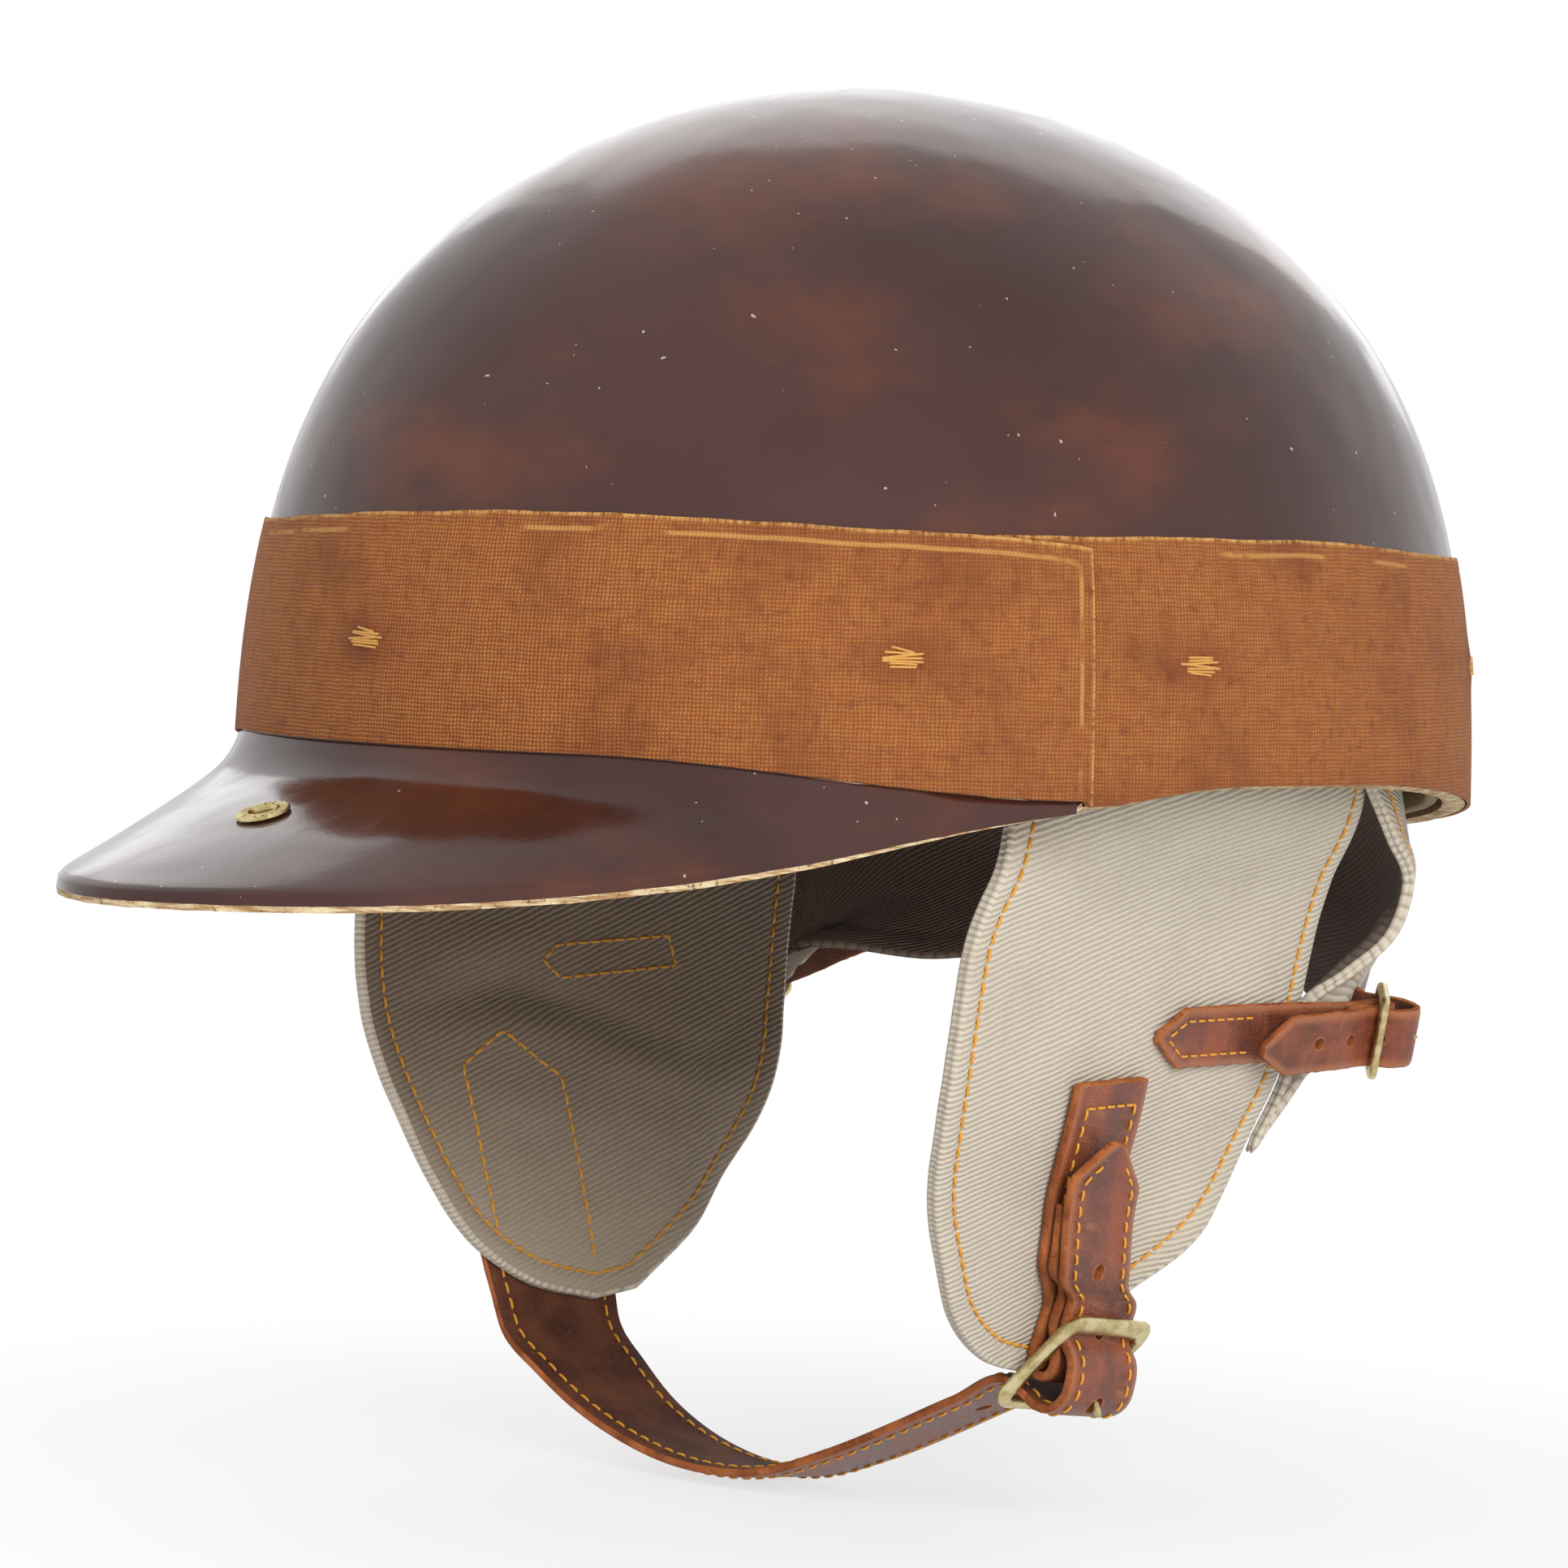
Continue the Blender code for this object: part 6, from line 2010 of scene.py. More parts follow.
@dataclass
class CurtainForm:
    """The surface of the neck curtain."""

    thickness: float = 2.5 * MM
    swell_level: float = -19.0 * MM
    swell: float = 11.0 * MM
    narrow: float = 25.0 * MM
    back_height: float = 38.0 * MM
    side_height: float = 44.0 * MM
    crease: float = 1.2 * MM
    stations: tuple = (140.0, 160.0, 180.0)
    side_angle: float = 118.0
    front_edge: tuple = (
        (84, 54, -0.3), (80, 66, -12), (76.3, 76.5, -22), (75, 74, -31), (71.3, 65.5, -39),
        (67.3, 55.5, -46), (64.8, 52, -60), (62, 44, -73),
    )
    side_line: tuple = (
        (76.5, 72, -12), (70.5, 83.5, -22), (68.8, 80, -29), (68, 74, -35), (67, 67, -40), (66.5, 62, -43.5),
    )
    near_edge: tuple = (
        (84, 54, -0.3), (80, 66, -12), (76.3, 76.5, -22), (75, 74, -31), (71.3, 65.5, -39),
        (67.4, 56, -46), (65.2, 54, -60), (62.6, 47.5, -74),
    )
    near_side: tuple = (
        (76.5, 72, -12), (70.5, 83.5, -22), (68.8, 80, -29), (68, 74, -36), (67.4, 68.5, -45),
        (66.8, 63, -54),
    )
    far_side: tuple = (
        (76.5, 72, -12), (70.5, 83.5, -22), (68.8, 80, -29), (68, 74, -36), (69.5, 64.5, -41.5),
        (72, 54, -45.5),
    )
    far_edge: tuple = (
        (84, 54, -0.3), (83.5, 57, -12), (84, 64, -22), (82, 63, -31), (78, 57, -39),
        (74, 51.5, -46), (72, 45, -58), (70, 38, -69),
    )

    def hem_offset(self, angle: float) -> float:
        """How far the hem stands off the headband: it laps over the flap's hem at the side.

        Args:
            angle: Degrees from the front, towards the left.

        Returns:
            The distance.
        """
        lap = FLAP.cloth + 2 * GAP
        near = 1 - smooth_step((angle - self.stations[0] + 18) / 12)
        return self.thickness / 2 + GAP + lap * near

    def station(self, angle: float, drop: float = 0.0) -> list[Grid]:
        """Points down the curtain at one angle.

        Args:
            angle: Degrees from the front, towards the left.
            drop: How far its lower edge is lowered.

        Returns:
            The points.
        """
        share = (angle - self.stations[0]) / (180.0 - self.stations[0])
        bottom = -self.side_height + (self.side_height - self.back_height) * share - drop
        top = DOME.head(angle, -GAP, self.hem_offset(angle))
        return [top, DOME.at(angle, self.swell_level, self.swell), DOME.at(angle, bottom, self.narrow)]

    def edge(self, points: Sequence) -> list[Grid]:
        """A front edge's way down, its first point on the headband.

        Args:
            points: The other points, in millimetres.

        Returns:
            All its points.
        """
        edge = [np.array(p) * MM for p in points]
        edge[0][0] = DOME.head_width(edge[0][1], self.hem_offset(0))
        return edge

    def grid(self, rows: int = 8, columns: int = 32) -> Grid:
        """The middle surface, from the left front edge round the nape to the right one.

        Args:
            rows: Steps down.
            columns: Steps round, more than the plain model's for the worn outline.

        Returns:
            The surface's points.
        """
        start = DOME.head(self.side_angle, -GAP, self.hem_offset(self.side_angle))
        side = [start] + [np.array(p) * MM for p in self.side_line]
        lines = [self.edge(self.front_edge), side] + [self.station(angle) for angle in self.stations]
        stations = [spline(line, rows + 1) for line in lines]
        flip = np.array((-1.0, 1.0, 1.0))
        stations += [line * flip for line in stations[-2::-1]]
        if columns > 32:
            stations[0] = spline(self.edge(self.near_edge), rows + 1)
            stations[1] = spline([start] + [np.array(p) * MM for p in self.near_side], rows + 1)
            for place, angle, drop in ((2, 140.0, 8 * MM), (3, 160.0, 3 * MM)):
                stations[place] = spline(self.station(angle, drop), rows + 1)
            stations[-3] = spline(self.station(140.0, 1.5 * MM), rows + 1) * flip
            stations[-2] = spline([start] + [np.array(p) * MM for p in self.far_side], rows + 1) * flip
            stations[-1] = spline(self.edge(self.far_edge), rows + 1) * flip
        runs = [spline([line[row] for line in stations], columns + 1) for row in range(rows + 1)]
        grid = np.array(runs).transpose(1, 0, 2)
        for k in range(columns + 1):
            place = k * 32 / columns
            calm = smooth_step((min(place, 32 - place) - 9) / 4)
            for row in range(rows + 1):
                wave = self.crease * sin(place * 2 * pi / 8) * sin(pi * row / rows)
                grid[k, row, :2] *= 1 + wave * calm / DOME.half_length
        return grid

    def face(self, lift: float) -> Grid:
        """The outer face or one outside it, at the plain model's fineness.

        Args:
            lift: Distance outside the outer face.

        Returns:
            The face's points.
        """
        grid = self.grid()
        across = unit(np.cross(np.gradient(grid, axis=0), np.gradient(grid, axis=1)))
        reach = (self.thickness + 2 * lift) / 2
        one, other = grid + across * reach, grid - across * reach
        return one if one[16, 4, 1] > other[16, 4, 1] else other


CURTAIN = CurtainForm()


@dataclass
class NeckCurtain:
    """The neck curtain and its hem, in one cloth, with its stitching."""

    finishes: Finishes
    rows: int = 44
    columns: int = 168
    seam_inset: float = 4.2 * MM

    def build(self) -> None:
        """Builds the cloth and its seam."""
        grid = CURTAIN.grid(self.rows, self.columns)
        heads = hem_rows(grid[:, 0], (FLAP.hem_height, 6.5 * MM, 3 * MM))
        full = np.concatenate([np.array(heads).transpose(1, 0, 2), grid], axis=1)[::-1]
        border = np.concatenate([full[0, 3:], full[:, -1], full[-1, 3:][::-1]])
        flat = full.reshape(-1, 3)
        gaps = np.array([np.linalg.norm(border - p, axis=1).min() for p in flat]).reshape(full.shape[:2])
        half = sewn_half(CURTAIN.thickness / 2, gaps, self.seam_inset, 0.4 * MM, 0.15 * MM, 2 * MM)
        panel = Panel(full, half, half, edge=gaps, bulge=0.8, notch=0.6, arc=8)
        around = path_lengths(full[:, -1])
        down = path_lengths(full[len(full) // 2])
        panel.cloth = np.stack(np.broadcast_arrays(around[:, None], down[None]), axis=2)
        panel.slots = (0, 1, 0)
        faces = [self.finishes.curtain_twill, self.finishes.curtain_lining]
        piece = panel.draft().piece("twill_neck_curtain", faces, RIM_SHARP)
        self._shade_rim(piece)
        settle(piece, "khaki_twill", "helmet", "neck_curtain", "curtain_hem")
        self._sew(full, panel.normals(), gaps)

    @staticmethod
    def _shade_rim(piece: bpy.types.Object) -> None:
        """Paints shade on the rim round the back and far side, by giving it the dark lining's colour.

        Args:
            piece: The curtain's object.
        """
        worn = piece.data.attributes["edge"].data
        for face in piece.data.polygons:
            # Painted shade: rim faces on the back and far side take the dark lining.
            in_painted_shade = face.center.x < 30 * MM or face.center.y > 85 * MM
            if in_painted_shade and all(worn[k].value < 0.01 * MM for k in face.vertices):
                face.material_index = 1

    def _sew(self, full: Grid, normals: Grid, gaps: Grid) -> None:
        """Sews the seam along the edges, on both faces.

        Args:
            full: The middle surface.
            normals: Its outward directions.
            gaps: Each point's distance to the edge.
        """
        path, ways = [], []
        count = len(full)
        for row in range(4, full.shape[1]):
            self._meet(path, ways, full[:, row], normals[:, row], gaps[:, row], range(count // 2))
        for column in range(count):
            order = range(full.shape[1] - 1, full.shape[1] // 2, -1)
            self._meet(path, ways, full[column], normals[column], gaps[column], order)
        back = range(count - 1, count // 2, -1)
        for row in range(full.shape[1] - 1, 3, -1):
            self._meet(path, ways, full[:, row], normals[:, row], gaps[:, row], back)
        draft = Draft()
        places, outs = np.array(path), np.array(ways)
        closest, farthest = 0.4 * MM, 6 * MM
        keep = [0]
        for k in range(1, len(places)):
            if closest < np.linalg.norm(places[k] - places[keep[-1]]):
                keep.append(k)
        places, outs = places[keep], outs[keep]
        steps = np.linalg.norm(np.diff(places, axis=0), axis=1)
        breaks = [0, *(np.flatnonzero(steps > farthest) + 1), len(places)]
        for first, last in zip(breaks, breaks[1:]):
            if last - first > 3:
                run, out = places[first:last], outs[first:last]
                CLOTH_SEAM.sew(draft, run + out * (CURTAIN.thickness / 2 - SUNK_IN_CLOTH), out)
        stitching = draft.piece("neck_curtain_stitching", [self.finishes.thread])
        settle(stitching, "khaki_twill", "helmet")

    def _meet(
        self, path: list, ways: list, line: Grid, outs: Grid, gaps: Grid, order: Iterable[int]
    ) -> None:
        """Adds the place where a line across the cloth meets the seam.

        Args:
            path: The seam's points, added to.
            ways: Their directions, added to.
            line: Points across the cloth.
            outs: Their outward directions.
            gaps: Their distances to the edge.
            order: The points' numbers, going in from the edge.
        """
        before = None
        for k in order:
            if gaps[k] >= self.seam_inset:
                if before is not None:
                    share = (self.seam_inset - gaps[before]) / (gaps[k] - gaps[before])
                    path.append(line[before] + (line[k] - line[before]) * share)
                    ways.append(outs[k])
                return
            before = k


# Straps and buckles


@dataclass(frozen=True)
class Buckle:
    """A centre-bar buckle on the left flap and the sizes of the strap folds in it."""

    centre: Grid
    up: Grid
    out: Grid
    width: float
    thickness: float
    bar: float
    pin: float
    half: float
    play: float = 0.4 * MM
    prong_angle: float = radians(-40.0)
    prong_rest: float = 3.0 * MM

    @property
    def across(self) -> Grid:
        """The centre bar's direction."""
        return unit(np.cross(self.up, self.out))

    @property
    def fold(self) -> float:
        """Radius of the strap's middle round the centre bar."""
        return self.pin + GAP + self.thickness / 2

    @property
    def layer(self) -> float:
        """Distance between two layers of strap."""
        return self.thickness + self.play

    @property
    def wire(self) -> float:
        """Radius of the prong's wire."""
        return self.pin * 0.8

    @property
    def tail(self) -> float:
        """How far out the strap's tail lies."""
        return -self.fold + 2 * self.layer

    @property
    def clear(self) -> float:
        """Radius of the long strap's middle round the fold."""
        return self.fold + self.layer

    @property
    def top(self) -> tuple[float, float]:
        """The upper bar's place, out and up from the centre bar."""
        lean = (self.tail + self.thickness / 2 + 2.4 * GAP + self.bar) / self.half
        return self.half * lean, self.half * sqrt(1 - lean**2)

    def at(self, p: float, q: float, along: float = 0.0) -> Grid:
        """A point p outward and q up from the centre bar, along its length."""
        return self.centre + self.out * p + self.up * q + self.across * along

    def anchor_fold(self) -> list[Grid]:
        """The anchor strap's way round the centre bar, down inside and up outside.

        Returns:
            The way's points.
        """
        r = self.fold
        fall = [(-r, self.half), (-r, self.half * 0.5)]
        turn = [(r * cos(a), r * sin(a)) for a in np.linspace(pi, 2 * pi, 9)]
        rise = [(r * 0.9, r * 0.8), (r * 0.45, r * 1.9)]
        rise += [(-r + self.layer, self.half * k) for k in (0.72, 1.0, 1.3)]
        return [self.at(p, q) for p, q in fall + turn + rise]

    def loop(self) -> list[Grid]:
        """The long strap's way: over the low bar, out round the fold and in behind the top bar.

        Returns:
            The way's points.
        """
        r, stand = self.clear, self.bar + self.thickness / 2 + 5 * GAP
        low = (-self.top[0], -self.top[1])
        ways = [(low[0] - 0.2 * stand, low[1] + 0.98 * stand)]
        ways += [(-0.36 * r, -1.39 * r), (0.28 * r, -1.64 * r), (0.93 * r, -1.52 * r)]
        ways += [(1.35 * r, -0.99 * r), (1.39 * r, -0.24 * r), (1.22 * r, 0.5 * r)]
        ways += [(self.tail + self.thickness * 0.3, self.half * 0.56)]
        ways += [(self.tail + 0.5 * GAP, self.half * 0.78)]
        ways += [(self.tail, self.half * 0.95), (self.tail, self.half * 1.2)]
        return [self.at(p, q) for p, q in ways]

    def prong_way(self) -> Grid:
        """The direction in which the prong points."""
        return self.at(cos(self.prong_angle), sin(self.prong_angle)) - self.centre

    def loop_station(self, points: Grid) -> float:
        """Length along a strap where the prong comes through it.

        Args:
            points: The strap's middle line.

        Returns:
            The length.
        """
        off = points - self.centre
        reach = np.linalg.norm(off, axis=1)
        facing = np.where(reach < self.clear * 2, off @ self.prong_way() / reach, -2.0)
        return float(path_lengths(points)[int(np.argmax(facing))])

    def frame(self, broad: float) -> Draft:
        """The cast frame with its centre bar.

        Args:
            broad: How much broader the upper bar is than the others, in metres.

        Returns:
            The draft of the frame.
        """
        rounding = self.bar * 2.2
        half = self.width / 2 + self.bar + 0.7 * MM
        lean = np.array(self.top) / self.half
        places = []
        for sx, sy, start in ((1, 1, 0), (-1, 1, 90), (-1, -1, 180), (1, -1, 270)):
            for turn in range(0, 91, 10):
                angle = radians(start + turn)
                along = sx * (half - rounding) + rounding * cos(angle)
                places.append((along, sy * (self.half - rounding) + rounding * sin(angle)))
        places = even(places + places[:1], 81)[:-1]
        route, broads = [], []
        for along, rise in places:
            route.append(self.at(lean[0] * rise, lean[1] * rise, along))
            high = smooth_step((rise / self.half - 0.72) / 0.2)
            broads.append(self.bar + broad * high)
        plane = unit(self.out * lean[1] - self.up * lean[0])
        draft = Draft()
        flats = [self.bar - 0.25 * (b - self.bar) for b in broads]
        bar(draft, np.array(route), plane, flats, broads, True, 14, 0.85)
        pin = np.array([self.at(0, 0, k) for k in np.linspace(-half, half, 5)])
        bar(draft, pin, self.out, self.pin, self.pin)
        return draft

    def prong(self) -> Draft:
        """Builds the wire prong, coiled round the centre bar and thinner towards its tip.

        Returns:
            The prong's mesh.
        """
        tip = self.clear * 1.55 + self.thickness / 2 + self.prong_rest
        ring, way = self.pin + GAP + self.wire, self.prong_angle
        turns = np.linspace(way + radians(100), way + radians(330), 9)
        points = [(ring * cos(a), ring * sin(a)) for a in turns]
        side, ahead = (-sin(way), cos(way)), (cos(way), sin(way))
        for reach, aside in ((ring * 1.25, -0.28 * ring), (ring * 1.6, 0.0), (tip, 0.0)):
            points.append((ahead[0] * reach + side[0] * aside, ahead[1] * reach + side[1] * aside))
        route = spline([self.at(p, q) for p, q in points], 44)
        lengths = path_lengths(route)
        left = lengths[-1] - lengths
        sizes = self.wire * np.where(left < self.wire, np.sqrt(np.maximum(left / self.wire, 0.02)), 1.0)
        sizes *= 1 - 0.25 * np.clip((lengths / lengths[-1] - 0.5) * 2, 0, 1)
        draft = Draft()
        bar(draft, route, self.across, sizes, sizes)
        return draft


def chin_buckle() -> Buckle:
    """Places the chin strap's buckle at the left flap's tip.

    Returns:
        The buckle.
    """
    _, rearward, down, out = FLAP.axes()
    thickness, pin, skew = 2.0 * MM, 1.2 * MM, radians(8.0)
    lift = (FLAP.cloth + thickness) / 2 + 0.4 * MM + pin + GAP + thickness / 2
    up = rearward * sin(skew) - down * cos(skew)
    centre = FLAP.at(-6.4 * MM, 108.5 * MM, lift)
    return Buckle(centre, up, out, 23.0 * MM, thickness, 1.3 * MM, pin, 10.65 * MM)


def laid_route(line: Sequence, lift: float, side: int = 1) -> list[Grid]:
    """A strap's way over a flap.

    Args:
        line: (u, v) or (u, v, rise) points in millimetres.
        lift: Distance outside the flap's middle surface.
        side: 1 for the left flap, -1 for the right one.

    Returns:
        The way's points.
    """
    route = []
    for place in spline(line, 2 * len(line)):
        rise = place[2] * MM if len(place) > 2 else 0.0
        route.append(FLAP.at(place[0] * MM, place[1] * MM, lift + rise, side))
    return route


@dataclass
class Strap:
    """A strap laid along a route: its grid, seams, slot and holes."""

    route: Grid
    crosses: Grid
    widths: Grid
    thickness: float
    slot: float = 0.0
    slot_rows: Grid | None = None
    shares: tuple = (-1.0, -0.86, -0.66, -0.33, 0.0, 0.33, 0.66, 0.86, 1.0)

    def __post_init__(self) -> None:
        """Works out the grid, its outward directions and its unrolled places."""
        rows, cloth, edge = [], [], []
        lengths = path_lengths(self.route)
        for centre, cross, width, here in zip(self.route, self.crosses, self.widths, lengths):
            half = width / 2
            inner = min(self.slot / 2, half * 0.4)
            offs = [half * k for k in self.shares]
            if self.slot:
                offs = [half * k for k in (-1.0, -0.86, -0.62)] + [-inner, 0.0, inner]
                offs += [half * k for k in (0.62, 0.86, 1.0)]
            rows.append([centre + cross * k for k in offs])
            cloth.append([(here, k) for k in offs])
            edge.append([half - abs(k) for k in offs])
        self.grid, self.cloth, self.edge = np.array(rows), np.array(cloth), np.array(edge)
        middle = np.cross(np.gradient(self.route, axis=0), self.crosses)
        self.ways = np.repeat(unit(middle)[:, None], self.grid.shape[1], axis=1)
        self.lengths = lengths

    def part(self, first: int, last: int, slots: tuple[int, int, int], cap: int | None = None) -> Draft:
        """A run of the strap as a draft.

        Args:
            first: Its first row.
            last: Its last row.
            slots: The material slots of the outer face, inner face and cut edge.
            cap: A row that is left flat, where another run goes on.

        Returns:
            The draft.
        """
        rows = slice(first, last + 1)
        columns = self.grid.shape[1]
        missing: frozenset[tuple[int, int]] = frozenset()
        if self.slot_rows is not None:
            rises = self.slot_rows[rows]
            cells = [(i, j) for i in range(len(rises) - 1) for j in (3, 4) if rises[i] and rises[i + 1]]
            missing = frozenset(cells)
        curve = 0.12 * MM * ruffled(self.grid[rows], 0.011, 5.0)
        flats = frozenset() if cap is None else frozenset({cap - first})
        half = np.full((last - first + 1, columns), self.thickness / 2)
        half[:, (0, -1)] -= 0.22 * MM
        half[:, (1, -2)] -= 0.03 * MM
        panel = Panel(
            self.grid[rows], half + curve * 0.3, half - curve * 0.3, missing=missing, cloth=self.cloth[rows],
            edge=self.edge[rows], ways=self.ways[rows], flat_rows=flats, bulge=0.35, rough=0.22 * MM,
        )
        panel.slots = slots
        return panel.draft()

    def seam(
        self, draft: Draft, seam: Seam, inset: float, ends: tuple[float, float], faces: tuple = (1, -1)
    ) -> None:
        """Stitches along both edges between two lengths, meeting at a pointed end.

        Args:
            draft: Where the stitches go.
            seam: The stitches' sizes.
            inset: Distance from the edges.
            ends: The lengths where the seam starts and ends.
            faces: 1 for the outer face, -1 for the inner one.
        """
        count = max(int((ends[1] - ends[0]) / (0.9 * MM)), 4)
        places = np.linspace(ends[0], ends[1], count)
        lines = []
        for side in (1, -1):
            line, ways = [], []
            for here in places:
                half = np.interp(here, self.lengths, self.widths) / 2
                cross = unit(sample(here, self.lengths, self.crosses))
                line.append(sample(here, self.lengths, self.route) + cross * max(half - inset, 0.0) * side)
                ways.append(unit(sample(here, self.lengths, self.ways[:, 0])))
            lines.append((np.array(line), np.array(ways)))
        for line, ways in lines:
            for face in faces:
                lift = self.thickness / 2 - SUNK_IN_LEATHER
                seam.sew(draft, line + ways * face * lift, ways * face)


def ruffled(grid: Grid, size: float, seed: float) -> Grid:
    """Smooth noise at each point of a grid."""
    return np.array([[ruffle(p, size, seed) for p in row] for row in grid])


def turned_crosses(lengths: Grid, first: Grid, last: Grid, start: float, end: float) -> Grid:
    """Cross directions turning from one to another along a strap.

    Args:
        lengths: Each point's length along the strap.
        first: The direction before the turn.
        last: The direction after it.
        start: The length where the turn starts.
        end: The length where it ends.

    Returns:
        The direction at each point.
    """
    shares = np.array([smooth_step((here - start) / (end - start)) for here in lengths])[:, None]
    return unit(first[None] * (1 - shares) + last[None] * shares)


def pointed(lengths: Grid, start: bool, end: bool) -> Grid:
    """Shares of a strap's width along it.

    Args:
        lengths: Each point's length along the strap.
        start: Whether its start is pointed.
        end: Whether its end is pointed.

    Returns:
        The share at each point.
    """
    widths = np.ones(len(lengths))
    tip = 8.0 * MM
    if start:
        widths = np.minimum(widths, 0.18 + 0.82 * lengths / tip)
    if end:
        widths = np.minimum(widths, 0.18 + 0.82 * (lengths[-1] - lengths) / tip)
    return widths


def punch(
    piece: bpy.types.Object, strap: Strap, buckle: Buckle, pitch: float, radius: float, steps: Sequence
) -> None:
    """Punches a strap's holes, the one for the prong along the prong and the rest square.

    Args:
        piece: The strap's object.
        strap: The strap's shape, on the left.
        buckle: Its buckle, on the left.
        pitch: Distance between holes.
        radius: Their radius.
        steps: The holes' numbers, 0 at the prong.
    """
    middle = buckle.loop_station(strap.route)
    rods = []
    for step in steps:
        here = middle + pitch * step
        place = sample(here, strap.lengths, strap.route)
        way = unit(sample(here, strap.lengths, strap.ways[:, 0]))
        if step == 0:
            way = buckle.prong_way()
            place = buckle.centre + way * float(np.dot(way, place - buckle.centre))
        wide = radius + (0.3 * MM if step == 0 else 0.0)
        rods.append((place - way * 3.4 * MM, place + way * 3.4 * MM, wide))
    bore(piece, rods, 2)


def mirrored(piece: bpy.types.Object, side: Side) -> bpy.types.Object:
    """Moves a piece made for the left to its side.

    Args:
        piece: The piece.
        side: Where it belongs.

    Returns:
        The piece.
    """
    if side is Side.RIGHT:
        piece.data.transform(Matrix.Diagonal((-1, 1, 1, 1)))
        piece.data.flip_normals()
    return piece


@dataclass
class AnchorStrap:
    """A short strap sewn to the flap and folded round the buckle's centre bar."""

    buckle: Buckle
    laid: list
    back: list
    first_cross: Grid
    tip: bool

    def shape(self) -> Strap:
        """Works out the strap's shape, with the slot for the prong at the fold.

        Returns:
            The strap.
        """
        knots = self.laid + self.buckle.anchor_fold() + self.back
        fine = spline([tuple(p) for p in knots], 900)
        length = path_lengths(fine)[-1]
        route = even(fine, int(length / (0.9 * MM)))
        lengths = path_lengths(route)
        reach = path_lengths(np.array(self.laid))[-1]
        across = self.buckle.across
        crosses = turned_crosses(lengths, self.first_cross, across, 0.0, reach + self.buckle.half)
        widths = self.buckle.width * pointed(lengths, self.tip, False)
        slot = 2 * (self.buckle.wire + 0.7 * MM)
        strap = Strap(route, crosses, widths, self.buckle.thickness, slot)
        slot_end = self.buckle.fold + 2.4 * self.buckle.wire + 0.7 * MM
        strap.slot_rows = (route - self.buckle.centre) @ self.buckle.up < slot_end
        return strap


